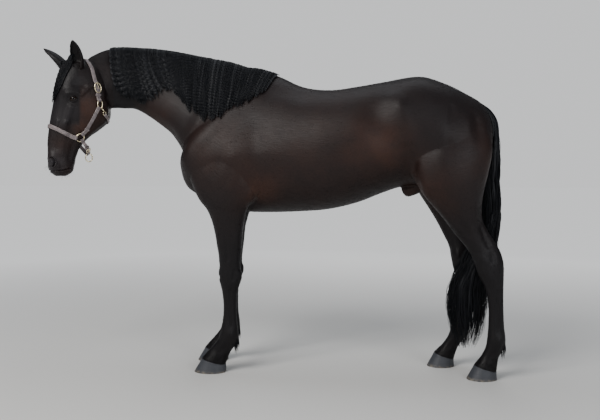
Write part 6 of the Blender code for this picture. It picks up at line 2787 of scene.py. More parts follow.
@dataclass
class Leather:
    """Collects the straps' meshes and the seams that are stitched."""

    tree: BVHTree
    thick: float = 0.0036
    lift: float = 0.0014            # air between the skin and the strap
    fold: float = 45.0              # angle past which an edge looks sharp
    slack: float = 0.0004           # air between a bar and the strap that turns round it
    drawn: float = 0.024            # length of the strap that is drawn towards the bar
    parted: float = 0.006           # reach of the gap between the layers behind the bar

    def __post_init__(self) -> None:
        """Start with nothing sewn."""
        self.meshes: list[bpy.types.Mesh] = []
        self.seams: list[Ribbon] = []

    def laid(self, places: list[Vector], half: float, step: float = 0.003) -> Ribbon:
        """A line that lies on the face under places in the air.

        Args:
            places: A rough line near the face.
            half: Half of the strap's width, whose edges stay off the face too.
            step: Distance between the line's places.

        Returns:
            The line on the face.
        """
        rough = smooth_between([tuple(p) for p in places], 8)
        count = int(np.linalg.norm(np.diff(rough, axis=0), axis=1).sum() / step)
        path = resampled(rough, count)
        out = np.zeros_like(path)
        clear = self.lift + self.thick / 2
        local = FACE.local(path)
        inside = FACE.points(np.stack((np.clip(local[:, 0], 0.0, 0.14), np.zeros(len(path)),
                                       np.minimum(local[:, 2], 1.68)), axis=1))
        for i, place in enumerate(path):
            way = Vector(inside[i] - place).normalized()
            start = Vector(place) - way * 0.05
            spot, normal, _, _ = self.tree.ray_cast(start, way)
            path[i] = spot + normal * clear
            out[i] = normal
        for _ in range(14):
            out[1:-1] = unit(out[:-2] + out[1:-1] + out[2:])
            path[1:-1] = (path[:-2] + 2 * path[1:-1] + path[2:]) / 4
            self.clear_face(path, out, half, clear)
        path[1:-1] = (path[:-2] + 2 * path[1:-1] + path[2:]) / 4
        return Ribbon(path, unit(out))

    def clear_face(self, path: np.ndarray, out: np.ndarray, half: float, clear: float) -> None:
        """Push a line out where the strap would sink into the face.

        Args:
            path: The line's places, which are moved.
            out: The way each of them faces.
            half: Half of the strap's width.
            clear: Least distance from the face.
        """
        across = unit(np.cross(unit(np.gradient(path, axis=0)), out))
        for i in range(len(path)):
            push = 0.0
            for off in (-0.8 * half, 0.0, 0.8 * half):
                place = Vector(path[i] + across[i] * off)
                spot, normal, _, _ = self.tree.find_nearest(place)
                push = max(push, clear - (place - spot).dot(normal))
            path[i] += out[i] * push

    def hemmed(self, line: Ribbon, wire: Vector, bar: float, doubled: float) -> Ribbon:
        """Lead a strap round a bar of brass at its end and back over itself.

        Args:
            line: The strap's line, which ends near the bar.
            wire: A place on the bar's own middle line.
            bar: Half of the bar's thickness.
            doubled: Length of the part that is turned back.

        Returns:
            The line with its turn and the part that lies back.
        """
        radius = bar + self.thick / 2 + self.slack
        path, out = line.path.copy(), line.out
        target = np.array(wire) - out[-1] * radius
        near = smooth_step(self.drawn, 0.0, line.lengths()[-1] - line.lengths())[:, None]
        path += near * (target - path[-1])
        ahead = unit(path[-1] - path[-4])
        face = unit(out[-1] - ahead * (out[-1] @ ahead))
        turn = np.linspace(0.0, pi, TURN_PLACES + 2)[1:-1, None]
        centre = path[-1] + face * radius
        arc = centre + radius * (np.sin(turn) * ahead - np.cos(turn) * face)
        arc_out = np.cos(turn) * face - np.sin(turn) * ahead
        back = Ribbon(path, out).reversed().part(0.0, doubled)
        gone = back.lengths()[:, None]
        over = self.thick + AIR + (2 * radius - self.thick) * hump(gone, 0.0, self.parted)
        return Ribbon(np.vstack([path, arc, back.path + back.out * over]),
                      np.vstack([out, arc_out, -back.out]))

    def turned_back(self, line: Ribbon, fitting: "Fitting", near: np.ndarray, half: float,
                    doubled: float) -> Ribbon:
        """Hem a strap's end round a fitting and stitch down what is turned back.

        Args:
            line: The strap's line, which ends near the fitting.
            fitting: The fitting.
            near: The strap reaches the fitting's wire on this place's side.
            half: Half of the strap's width.
            doubled: Length of the part that is turned back.

        Returns:
            The line with its turn and the part that lies back.
        """
        start = len(line.path) + TURN_PLACES
        line = self.hemmed(line, fitting.towards(near), fitting.wire, doubled)
        back = Ribbon(line.path[start:], -line.out[start:])
        self.stitch(back.reversed(), half, self.thick / 2)
        return line

    def sew(self, line: Ribbon, half: float, name: str, tip: float = 0.0) -> None:
        """Make a strap along a line.

        Args:
            line: The strap's middle line.
            half: Half of its width.
            name: The strap's name.
            tip: Length of a pointed tip at its end, or 0.
        """
        outline, edge = strap_outline(half, self.thick)
        left = line.lengths()[-1] - line.lengths()
        narrow = np.ones(len(line.path))
        if tip:
            narrow = np.sqrt(np.clip(left / tip, 0.01, 1.0))
        across, out = line.across, line.out
        ahead = unit(np.gradient(line.path, axis=0))
        out = unit(out - ahead * (out * ahead).sum(axis=1)[:, None])
        rings = (line.path[:, None]
                 + across[:, None] * outline[None, :, :1] * narrow[:, None, None]
                 + out[:, None] * outline[None, :, 1:])
        mesh = loft_mesh(name, rings, flat_ends=True)
        smooth_shaded(mesh, self.fold)
        worn = np.tile(edge, (len(rings), 1))
        worn[0] = worn[-1] = 1.0
        with_value(mesh, "Edge", worn.ravel())
        self.meshes.append(mesh)

    def stitch(self, line: Ribbon, half: float, over: float) -> None:
        """Note the two rows of stitches along a stretch of strap."""
        for off in (-half + SEAM_INSET, half - SEAM_INSET):
            self.seams.append(line.seam(off, over))

    def keeper(self, line: Ribbon, at: float, half: float, layers: int, wide: float) -> None:
        """A loop of leather round the straps at a distance along a line.

        Args:
            line: The strap's line.
            at: Distance of the loop from its start.
            half: Half of the strap's width.
            layers: Number of straps inside the loop.
            wide: Half of the loop's own width.
        """
        spot = line.part(at - 0.003, at + 0.003)
        middle, out, across = spot.path[1], spot.out[1], spot.across[1]
        ahead = np.cross(out, across)
        reach = half + 0.0016
        low, high = -self.thick / 2 - 0.0008, (layers - 0.5) * self.thick + 0.0014
        corner = 0.0018
        ring = []
        for cx, cz, start in ((1, 1, 0.0), (-1, 1, 0.5), (-1, -1, 1.0), (1, -1, 1.5)):
            for k in range(5):
                angle = pi * (start + 0.5 * k / 4)
                x = cx * (reach - corner) + corner * cos(angle)
                z = (high - corner if cz > 0 else low + corner) + corner * sin(angle)
                ring.append(middle + across * x + out * z)
        path = np.array(ring)
        centre = middle + out * (low + high) / 2
        outward_way = unit(path - centre)
        profile = np.array(((-wide, 0.0), (wide, 0.0), (wide, 0.0016), (wide * 0.8, 0.0020),
                            (-wide * 0.8, 0.0020), (-wide, 0.0016)))
        rings = (path[:, None] + ahead * profile[None, :, :1]
                 + outward_way[:, None] * profile[None, :, 1:])
        mesh = hoop_mesh("keeper", rings)
        smooth_shaded(mesh, self.fold)
        with_value(mesh, "Edge", np.tile((1.0, 1.0, 1.0, 0.2, 0.2, 1.0), len(path)))
        self.meshes.append(mesh)


def stitch_tree(thread: bpy.types.Material) -> bpy.types.NodeTree:
    """Geometry nodes that lay stitches along every seam of a mesh.

    Args:
        thread: The stitches' material.

    Returns:
        The node group.
    """
    group = bpy.data.node_groups.new("Stitches along the seams", "GeometryNodeTree")
    give_sockets(group, {"Seams": "Geometry", "Pitch": "Float", "Length": "Float",
                         "Thickness": "Float"}, {"Stitches": "Geometry"})
    tree = Tree(group)
    node, feed = tree.node, tree.feed
    given = node("NodeGroupInput").outputs
    curve = feed(node("GeometryNodeMeshToCurve"), Mesh=given["Seams"])
    even = feed(node("GeometryNodeResampleCurve", mode="LENGTH"), Curve=curve.outputs["Curve"],
                Length=given["Pitch"])
    ahead = feed(node("FunctionNodeAlignRotationToVector", axis="X"),
                 Vector=node("GeometryNodeInputTangent").outputs["Tangent"])
    out = feed(node("GeometryNodeInputNamedAttribute", data_type="FLOAT_VECTOR"), Name="Out")
    upright = feed(node("FunctionNodeAlignRotationToVector", axis="Z", pivot_axis="X"),
                   Rotation=ahead.outputs["Rotation"], Vector=out.outputs["Attribute"])
    bead = feed(node("GeometryNodeMeshUVSphere"), Segments=8, Rings=5, Radius=0.5)
    size = tree.add("CombineXYZ", X=given["Length"], Y=given["Thickness"], Z=given["Thickness"])
    stitch = feed(node("GeometryNodeTransform"), Geometry=bead.outputs["Mesh"],
                  Scale=size.outputs["Vector"])
    laid = feed(node("GeometryNodeInstanceOnPoints"), Points=even.outputs["Curve"],
                Instance=stitch.outputs["Geometry"], Rotation=upright.outputs["Rotation"])
    real = feed(node("GeometryNodeRealizeInstances"), Geometry=laid.outputs["Instances"])
    painted = feed(node("GeometryNodeSetMaterial"), Geometry=real.outputs["Geometry"],
                   Material=thread)
    feed(node("NodeGroupOutput"), Stitches=painted.outputs["Geometry"])
    return group


def sewn(name: str, seams: list[Ribbon], thread: bpy.types.Material) -> bpy.types.Object:
    """All the stitches of the halter as one piece.

    Args:
        name: The piece's name.
        seams: Lines of stitches.
        thread: The stitches' material.

    Returns:
        The piece.
    """
    places = np.vstack([seam.path for seam in seams])
    ways = np.vstack([seam.out for seam in seams])
    edges, start = [], 0
    for seam in seams:
        count = len(seam.path)
        edges.extend((start + i, start + i + 1) for i in range(count - 1))
        start += count
    mesh = bpy.data.meshes.new(name + " seams")
    mesh.from_pydata([tuple(p) for p in places], edges, [])
    layer = mesh.attributes.new("Out", "FLOAT_VECTOR", "POINT")
    layer.data.foreach_set("vector", ways.astype(np.float32).ravel())
    obj = new_object(name, mesh)
    group = stitch_tree(thread)
    nodes = obj.modifiers.new("stitches", "NODES")
    nodes.node_group = group
    sizes = {"Pitch": 0.0042, "Length": 0.0033, "Thickness": 0.0010}
    for item in group.interface.items_tree:
        if item.item_type == "SOCKET" and item.name in sizes:
            nodes[item.identifier] = sizes[item.name]
    return baked(obj)


@dataclass
class Brass:
    """Collects the meshes of the metal fittings."""

    SIDES = 14                  # round each wire

    def __post_init__(self) -> None:
        """Start with no fittings."""
        self.meshes: list[bpy.types.Mesh] = []

    def frame(self, name: str, fitting: "Fitting", count: int = 56) -> None:
        """The closed wire of a fitting."""
        self.wire(name, fitting.outline(count), fitting.wire, closed=True)

    def wire(self, name: str, path: np.ndarray, radius: float | np.ndarray,
             closed: bool = False) -> None:
        """A round wire or bar along a path.

        Args:
            name: The mesh's name.
            path: The wire's middle line.
            radius: Half of its thickness, one number or one for each place.
            closed: Join the end to the start.
        """
        if closed:
            ahead = unit(np.roll(path, -1, axis=0) - np.roll(path, 1, axis=0))
        else:
            ahead = unit(np.gradient(path, axis=0))
        side = unit(np.cross(ahead[0], (0.31, 0.52, 0.79)))
        sides = [side]
        for way in ahead[1:]:
            side = unit(side - way * (side @ way))
            sides.append(side)
        side = np.array(sides)
        up = np.cross(ahead, side)
        angle = 2 * pi * np.arange(self.SIDES) / self.SIDES
        reach = np.broadcast_to(radius, len(path))[:, None, None]
        rings = path[:, None] + reach * (side[:, None] * np.cos(angle)[None, :, None]
                                         + up[:, None] * np.sin(angle)[None, :, None])
        mesh = hoop_mesh(name, rings) if closed else loft_mesh(name, rings)
        mesh.shade_smooth()
        self.meshes.append(mesh)


@dataclass(frozen=True)
class Fitting:
    """A flat frame of wire: its middle, the way it faces, and up along it."""

    centre: np.ndarray
    out: np.ndarray
    up: np.ndarray
    half_wide: float
    half_high: float
    wire: float
    square: float = 2.0         # 2 is an oval; more makes the corners squarer

    @property
    def side(self) -> np.ndarray:
        """The direction across the frame."""
        return np.cross(self.up, self.out)

    def at(self, across: float, high: float, out: float = 0.0) -> np.ndarray:
        """A place told from the frame's middle."""
        return self.centre + self.side * across + self.up * high + self.out * out

    def outline(self, count: int = 56) -> np.ndarray:
        """The wire's middle line.

        Args:
            count: Number of places.

        Returns:
            The places, evenly spaced.
        """
        angle = 2 * pi * np.arange(count) / count
        c, s = np.cos(angle), np.sin(angle)
        x = self.half_wide * np.sign(c) * np.abs(c) ** (2.0 / self.square)
        z = self.half_high * np.sign(s) * np.abs(s) ** (2.0 / self.square)
        loop = self.centre + x[:, None] * self.side + z[:, None] * self.up
        closed = np.vstack([loop, loop[:1]])
        return resampled(closed, count + 1)[:-1]

    def towards(self, place: np.ndarray) -> Vector:
        """The place on the wire that lies towards another place.

        Args:
            place: The other place.

        Returns:
            The place on the wire.
        """
        loop = self.outline()
        way = unit(np.asarray(place) - self.centre)
        return Vector(loop[np.argmax((loop - self.centre) @ way)])


@dataclass
class Halter:
    """The whole leather halter with its brass."""

    skin: Skin
    upper_ring: tuple[float, float, float] = (-0.034, 0.098, 1.493)
    lower_ring: tuple[float, float, float] = (0.066, 0.082, 1.306)
    buckle: tuple[float, float, float] = (-0.024, 0.100, 1.584)
    cheek_half: float = 0.0095      # half widths of the straps
    crown_half: float = 0.0110
    nose_half: float = 0.0115
    nose_layer: float = 0.78        # width of the noseband's upper layer, of the strap's
    chin_half: float = 0.0100
    throat_half: float = 0.0075
    ring_clear: float = 0.0078      # from the skin to the rings' middle line
    doubled: float = 0.032          # length that a strap is turned back at a ring

    def on_head(self, place: tuple[float, float, float], sign: int) -> tuple[Vector, Vector]:
        """The nearest place on the face and its outward direction.

        Args:
            place: Forward, side and height.
            sign: 1 on the left, -1 on the right.

        Returns:
            The place and the direction.
        """
        point = FACE.point(place[0], sign * place[1], place[2])
        spot, normal, _, _ = self.skin.tree.find_nearest(point)
        return spot, normal

    def fitting(self, place: tuple[float, float, float], sign: int, clear: float,
                half_wide: float, half_high: float, wire: float, square: float = 2.0,
                up: tuple[float, float, float] = (-0.1, 0.0, 1.0)) -> Fitting:
        """A frame of wire that lies on the face.

        Args:
            place: Forward, side and height.
            sign: 1 on the left, -1 on the right.
            clear: Distance of its middle from the skin.
            half_wide: Half of its width.
            half_high: Half of its height.
            wire: Half of the wire's thickness.
            square: How square its corners are.
            up: The direction of its height.

        Returns:
            The frame.
        """
        spot, _ = self.on_head(place, sign)
        around = [self.skin.tree.find_nearest(spot + Vector(way) * 0.012)[1]
                  for way in ((1, 0, 0), (-1, 0, 0), (0, 0, 1), (0, 0, -1))]
        out = unit(np.array(sum(around, Vector((0, 0, 0)))))
        high = np.array(FACE.direction(*up))
        high = unit(high - out * (high @ out))
        return Fitting(np.array(spot) + out * clear, out, high, half_wide, half_high, wire, square)

    def strap(self, leather: Leather, name: str, places: list[tuple[float, float, float]],
              half: float, first: Fitting | None, last: Fitting | None) -> Ribbon:
        """A strap laid between two fittings, turned back round each.

        Args:
            leather: Collects the strap.
            name: The strap's name.
            places: Its line by forward, side and height.
            half: Half of its width.
            first: The fitting at its start.
            last: The fitting at its end.

        Returns:
            The line of the part that lies on the face.
        """
        points = [FACE.point(*place) for place in places]
        whole = line = leather.laid(points, half)
        for fitting, flip in ((last, False), (first, True)):
            if fitting is None:
                continue
            if flip:
                whole = whole.reversed()
            inner = line.path[0] if flip else line.path[-1]
            place = line.path[len(line.path) // 2]
            place = inner + (place - inner) * 0.15 if len(line.path) > 60 else place
            whole = leather.turned_back(whole, fitting, place, half, self.doubled)
            if flip:
                whole = whole.reversed()
        leather.sew(whole, half, name)
        return line

    def build(self) -> list[tuple[bpy.types.Object, str, tuple[str, ...]]]:
        """The halter's pieces, each with its slot and the solids that it replaces.

        Returns:
            The pieces.
        """
        leather, brass = Leather(self.skin.tree), Brass()
        rings = {}
        for sign in (1, -1):
            rings["upper", sign] = self.fitting(self.upper_ring, sign, self.ring_clear,
                                                0.0150, 0.0205, 0.0030, 2.4)
            rings["lower", sign] = self.fitting(self.lower_ring, sign, self.ring_clear,
                                                0.0220, 0.0220, 0.0033)
        for (height, sign), ring in rings.items():
            brass.frame(f"{height} ring {sign}", ring)
        self.cheek_straps(leather, rings)
        self.crown(leather, brass, rings)
        self.noseband(leather, rings)
        self.chin(leather, brass, rings)
        self.throat(leather, brass, rings)
        straps = joined("halter_straps", leather.meshes)
        straps.data.materials.append(LeatherFinish().material())
        metal = joined("halter_fittings", brass.meshes)
        metal.data.materials.append(BrassFinish().material())
        stitches = sewn("halter_stitches", leather.seams, ThreadFinish().material())
        return [(straps, "halter_leather", STRAP_NODES), (metal, "halter_brass", BRASS_NODES),
                (stitches, "halter_leather", STRAP_NODES)]

    def cheek_straps(self, leather: Leather, rings: dict) -> None:
        """The two straps between the upper and lower rings.

        Args:
            leather: Collects the straps.
            rings: The rings by name and sign.
        """
        for sign in (1, -1):
            places = [(0.054, sign * 0.094, 1.326), (0.036, sign * 0.100, 1.354),
                      (0.010, sign * 0.108, 1.402), (-0.012, sign * 0.110, 1.444),
                      (-0.028, sign * 0.110, 1.474)]
            line = self.strap(leather, f"cheek strap {sign}", places, self.cheek_half,
                              rings["lower", sign], rings["upper", sign])
            leather.keeper(line, 0.040, self.cheek_half, 2, 0.0045)

    def crown(self, leather: Leather, brass: Brass, rings: dict) -> None:
        """The strap over the poll, with its buckle and billet on the left.

        Args:
            leather: Collects the straps.
            brass: Collects the metal.
            rings: The rings by name and sign.
        """
        half = self.crown_half
        buckle = self.fitting(self.buckle, 1, 0.0110, 0.0205, 0.0270, 0.0034, 2.1, (0.22, 0.0, 1.0))
        brass.frame("crown buckle", buckle)
        bar = [buckle.at(-0.0165, -0.004, -0.0010), buckle.at(0.0165, -0.004, -0.0010)]
        brass.wire("crown buckle bar", resampled(np.array(bar), 6), 0.0019)
        tongue = smooth_between([tuple(buckle.at(0.0, h, o)) for h, o in
                                 ((-0.0055, 0.0022), (0.004, 0.0036), (0.014, 0.0042),
                                  (0.0245, 0.0040))], 6)
        brass.wire("crown buckle tongue", tongue, np.linspace(0.0021, 0.0016, len(tongue)))
        billet = [(-0.032, 0.108, 1.514), (-0.030, 0.110, 1.540), (-0.027, 0.110, 1.577)]
        line = self.strap(leather, "buckle strap", billet, half, rings["upper", 1], None)
        leather.keeper(line, 0.030, half, 3, 0.0050)
        over = [(-0.030, -0.110, 1.514), (-0.028, -0.110, 1.560),
                *mirrored((-0.020, -0.110, 1.605), (-0.010, -0.108, 1.650),
                          (0.006, -0.098, 1.715), (0.020, -0.066, 1.768), (0.022, 0.0, 1.790)),
                (-0.025, 0.110, 1.572), (-0.029, 0.110, 1.532)]
        points = [FACE.point(*place) for place in over]
        laid = leather.laid(points, half)
        gone = laid.lengths()
        rise = smooth_step(gone[-1] - 0.075, gone[-1] - 0.045, gone) * (2 * leather.thick + 0.0006)
        laid = Ribbon(laid.path + laid.out * rise[:, None], laid.out)
        turned = leather.hemmed(laid.reversed(), rings["upper", -1].towards(laid.path[14]),
                                0.0025, 0.034).reversed()
        leather.sew(turned, half, "crown strap", 0.012)
        leather.stitch(laid.part(0.006, 0.034), half, leather.thick * 1.5)
        leather.stitch(laid.part(0.040, gone[-1] - 0.080), half, leather.thick / 2)

    def noseband(self, leather: Leather, rings: dict) -> None:
        """The strap over the nose, between the lower rings.

        Args:
            leather: Collects the straps.
            rings: The rings by name and sign.
        """
        places = mirrored((0.088, 0.090, 1.308), (0.120, 0.092, 1.322), (0.155, 0.090, 1.336),
                          (0.205, 0.070, 1.358), (0.240, 0.030, 1.372), (0.244, 0.0, 1.374))
        half, layer = self.nose_half, self.nose_half * self.nose_layer
        line = self.strap(leather, "noseband", places, half, rings["lower", 1], rings["lower", -1])
        length = line.lengths()[-1]
        upper = line.part(0.034, length - 0.034).moved(leather.thick * 0.8)
        leather.sew(upper, layer, "noseband upper layer")
        leather.stitch(upper, layer, leather.thick / 2)

    def chin(self, leather: Leather, brass: Brass, rings: dict) -> None:
        """The strap that hangs under the jaw, its buckle and its ring.

        Args:
            leather: Collects the straps.
            brass: Collects the metal.
            rings: The rings by name and sign.
        """
        places = mirrored((0.052, 0.078, 1.286), (0.036, 0.066, 1.262), (0.018, 0.040, 1.234),
                          (0.010, 0.0, 1.220))
        middle = np.array(FACE.point(0.080, 0.0, 1.300))
        path = resampled(smooth_between([tuple(FACE.point(*p)) for p in places], 8), 74)
        line = Ribbon(path, unit(path - middle))
        whole = line
        for sign in (-1, 1):
            whole = leather.turned_back(whole, rings["lower", sign], whole.path[-4],
                                        self.chin_half, 0.030).reversed()
        leather.sew(whole, self.chin_half, "chin strap")
        leather.keeper(line, 0.036, self.chin_half, 2, 0.0050)
        spot = line.part(0.052, 0.058)
        frame = Fitting(spot.path[1] + spot.out[1] * 0.0052, spot.out[1],
                        unit(np.cross(spot.out[1], spot.across[1])), 0.0140, 0.0125, 0.0021, 3.2)
        brass.frame("chin buckle", frame)
        pin = resampled(np.array([frame.at(0, -0.0125, 0.001), frame.at(0, 0.0130, 0.003)]), 6)
        brass.wire("chin buckle tongue", pin, 0.0014)
        hang = Fitting(np.array(FACE.point(0.008, 0.0, 1.2030)),
                       np.array(FACE.direction(0.1, 1.0, 0.0)), np.array((0.0, 0.0, 1.0)),
                       0.0185, 0.0225, 0.0034)
        side = unit(hang.out - hang.up * (hang.out @ hang.up))
        hang = Fitting(hang.centre, side, hang.up, hang.half_wide, hang.half_high, hang.wire)
        brass.frame("chin ring", hang)

    def throat(self, leather: Leather, brass: Brass, rings: dict) -> None:
        """The strap under the throat and the snap that joins it on the left.

        Args:
            leather: Collects the straps.
            brass: Collects the metal.
            rings: The rings by name and sign.
        """
        ring = rings["upper", 1]
        end = self.fitting((-0.066, 0.100, 1.444), 1, 0.0062, 0.0085, 0.0110, 0.0021)
        brass.frame("throat ring", end)
        start = ring.towards(end.centre)
        stop = end.towards(ring.centre)
        run = np.linspace(np.array(start) * 0.94 + np.array(stop) * 0.06, np.array(stop), 15)
        body = 0.0024 + 0.0022 * hump(np.linspace(0, 1, 15), 0.55, 0.22)
        brass.wire("snap body", run + end.out * 0.0036, body)
        hook = Fitting(np.array(start) + end.out * 0.0012, end.side, end.out, 0.0052, 0.0046,
                       0.0017)
        brass.frame("snap hook", hook, 32)
        places = [(-0.076, 0.096, 1.434),
                  *mirrored((-0.094, 0.082, 1.420), (-0.110, 0.058, 1.408), (-0.122, 0.0, 1.398)),
                  (-0.074, -0.100, 1.440), (-0.046, -0.106, 1.472)]
        self.strap(leather, "throat strap", places, self.throat_half, end, rings["upper", -1])


STRAP_NODES = ("crown_strap", "cheek_strap_left", "cheek_strap_right", "noseband", "chin_strap",
               "throat_strap")
BRASS_NODES = ("ring_upper_left", "ring_upper_right", "ring_lower_left", "ring_lower_right",
               "crown_buckle", "chin_ring", "throat_ring")


# --------------------------------------------------------- eyes and tufts


@dataclass(frozen=True)
class EyeBall:
    """One eyeball with its dark iris and the wide level pupil."""

    opening: EyeOpening
    iris: float = 0.0165        # half width of the iris on the ball
    pupil_wide: float = 0.0090
    pupil_high: float = 0.0045
    cornea: float = 0.0009      # how far the clear front stands out

    def build(self) -> bpy.types.Object:
        """The eyeball as one closed piece.

        Returns:
            The piece.
        """
        name = f"eyeball_{self.opening.side.word}"
        shape = bmesh.new()
        bmesh.ops.create_icosphere(shape, subdivisions=5, radius=self.opening.ball)
        mesh = bpy.data.meshes.new(name)
        shape.to_mesh(mesh)
        shape.free()
        points = numbers(mesh.vertices, "co")
        _, _, out = self.opening.axes()
        level = unit(np.cross(out, (0.0, 0.0, 1.0)))
        high = np.cross(level, out)
        u, v, w = points @ level, points @ high, points @ out
        off = np.where(w > 0, np.hypot(u, v), 0.04)
        points += out * (self.cornea * np.exp(-(off / 0.011) ** 4))[:, None]
        points += self.opening.centre()
        mesh.vertices.foreach_set("co", points.astype(np.float32).ravel())
        mesh.update()
        mesh.shade_smooth()
        with_value(mesh, "Ring", np.minimum(off / self.iris, 3.0))
        pupil = np.hypot(u / self.pupil_wide, v / self.pupil_high)
        with_value(mesh, "Pupil", np.where(w > 0, np.minimum(pupil, 3.0), 3.0))
        return new_object(name, mesh)


def lie_of_coat(points: np.ndarray) -> np.ndarray:
    """The way the hair lies at places on the horse.

    Args:
        points: Places in the horse's directions, one row each.

    Returns:
        Directions, one row each.
    """
    head = Skin.head_share(points) > 0.5
    way = np.tile(np.array((1.0, 0.0, -0.30)), (len(points), 1))
    neck = (points[:, 0] < -0.5) & ~head
    way[neck] = (0.80, 0.0, -0.60)
    turn = BEND.turn(points[:, 0])
    way[neck, 1] = turn[neck] * 0.80
    legs = (points[:, 2] < 0.98) & (np.abs(points[:, 1]) > 0.03)
    legs &= (points[:, 0] < -0.18) | (points[:, 0] > 0.72)
    way[legs] = (0.10, 0.0, -1.0)
    local = FACE.local(points)
    down = np.array(FACE.direction(0.10, 0.0, -1.0))
    back = np.array(FACE.direction(-0.75, 0.0, -0.65))
    cheek = smooth_step(0.08, -0.02, local[:, 0])[:, None]
    way[head] = (down * (1 - cheek) + back * cheek)[head]
    ear = head & (local[:, 2] > 1.70)
    way[ear] = FACE.direction(-0.1, 0.0, 1.0)
    return unit(way)


@dataclass
class Coat:
    """Short tufts of the coat, laid along the body where they break its form."""

    skin: Skin
    seed: int = 71
    count: int = 47000          # tufts in all
    piece: int = 11750          # tufts in one piece at the most

    def surface(self) -> tuple[np.ndarray, np.ndarray, np.ndarray]:
        """The skin's triangles, their normals and their areas.

        Returns:
            Three arrays, a row for each triangle.
        """
        mesh = self.skin.obj.data
        mesh.calc_loop_triangles()
        points = numbers(mesh.vertices, "co")
        corners = numbers(mesh.loop_triangles, "vertices").astype(int)
        normals = numbers(mesh.vertices, "normal")[corners]
        areas = numbers(mesh.loop_triangles, "area", 1)
        return points[corners], normals, areas

    @staticmethod
    def density(points: np.ndarray, normals: np.ndarray) -> np.ndarray:
        """How closely the tufts stand at places on the skin.

        Args:
            points: Places in the horse's directions, one row each.
            normals: The way the skin faces there.

        Returns:
            One number for each place.
        """
        _, y, z = points.T
        nx, _, nz = normals.T
        head = Skin.head_share(points) > 0.5
        local = FACE.local(points)
        inner = np.abs(y) < 0.34
        body = 0.10 + 0.9 * smooth_step(-0.25, -0.75, nz)
        body += 0.8 * smooth_step(-0.45, -0.85, nx) + 0.8 * smooth_step(0.45, 0.85, nx)
        body += 0.35 * smooth_step(0.75, 0.95, nz)
        low = (z < 0.95) & inner
        leg = 0.55 + 1.1 * smooth_step(0.3, 0.8, nx) + 0.9 * smooth_step(-0.3, -0.8, nx)
        crown = 6.0 * smooth_step(0.14, 0.10, z)
        count = np.where(low, leg + crown, body)
        face = 0.9 + 1.6 * smooth_step(-0.02, -0.08, local[:, 0])
        bare = Tones.bareness(points)
        face = face * (1.0 - 0.95 * np.clip(bare * 1.5, 0, 1))
        ear = local[:, 2] > 1.71
        return np.where(head, np.where(ear, 5.0, face * 1.4), count)

    def roots(self, rng: np.random.Generator) -> tuple[np.ndarray, np.ndarray]:
        """Places on the skin and the way it faces there.

        Args:
            rng: The source of random numbers.

        Returns:
            The places and the directions.
        """
        corners, normals, areas = self.surface()
        middle, facing = corners.mean(axis=1), unit(normals.mean(axis=1))
        weight = areas * self.density(middle, facing)
        order = rng.choice(len(areas), size=self.count, p=weight / weight.sum())
        share = rng.dirichlet((1.0, 1.0, 1.0), size=self.count)[..., None]
        return (corners[order] * share).sum(axis=1), unit((normals[order] * share).sum(axis=1))

    def build(self) -> list[bpy.types.Object]:
        """All the short tufts, in pieces from nose to tail.

        Returns:
            The pieces.
        """
        rng = np.random.default_rng(self.seed)
        roots, normals = self.roots(rng)
        order = np.argsort(roots[:, 0])
        roots, normals = roots[order], normals[order]
        made = []
        for number, start in enumerate(range(0, self.count, self.piece), start=1):
            here = slice(start, start + self.piece)
            made.append(self.patch(f"coat_tufts_{number}", roots[here], normals[here], rng))
        return made

    def patch(self, name: str, roots: np.ndarray, normals: np.ndarray,
              rng: np.random.Generator) -> bpy.types.Object:
        """One piece of tufts from its roots.

        Args:
            name: The piece's name.
            roots: The tufts' roots.
            normals: The way the skin faces there.
            rng: The source of random numbers.

        Returns:
            The piece.
        """
        count = len(roots)
        way = lie_of_coat(roots) + rng.normal(0, 0.10, (count, 3))
        way = unit(way - normals * (way * normals).sum(axis=1)[:, None])
        head = Skin.head_share(roots) > 0.5
        low = smooth_step(0.55, 0.20, roots[:, 2])
        length = np.where(head, 0.0062, 0.0115 - 0.0045 * low) * rng.uniform(0.75, 1.25, count)
        under = smooth_step(-0.15, -0.65, normals[:, 2]) * (roots[:, 2] > 0.7)
        rise = np.where(head, 0.0005, 0.0012 - 0.0006 * under) * rng.uniform(0.6, 1.3, count)
        crown = (roots[:, 2] < 0.13) & (roots[:, 2] > 0.0)
        length = np.where(crown, 0.011, length)
        steps = np.array((0.0, 0.5, 1.0))
        lift = np.array((-0.30, 0.95, 0.85))
        paths = (roots[:, None] + way[:, None] * (length[:, None] * steps)[..., None]
                 + normals[:, None] * (rise[:, None] * lift)[..., None])
        out = np.repeat(normals[:, None], len(steps), axis=1)
        size = np.where(head, 0.00026, 0.00052) * rng.uniform(0.7, 1.3, count)
        wide = size[:, None] * np.array((0.8, 1.0, 0.12))
        hair = Hair(paths, out, wide, wide * 0.35, blade(3), rng.random(count))
        piece = hair.piece(name)
        each = len(steps) * 3
        with_value(piece.data, "Warm", np.repeat(Tones.warmth(roots), each))
        with_value(piece.data, "Bare", np.repeat(Tones.bareness(roots), each))
        return piece


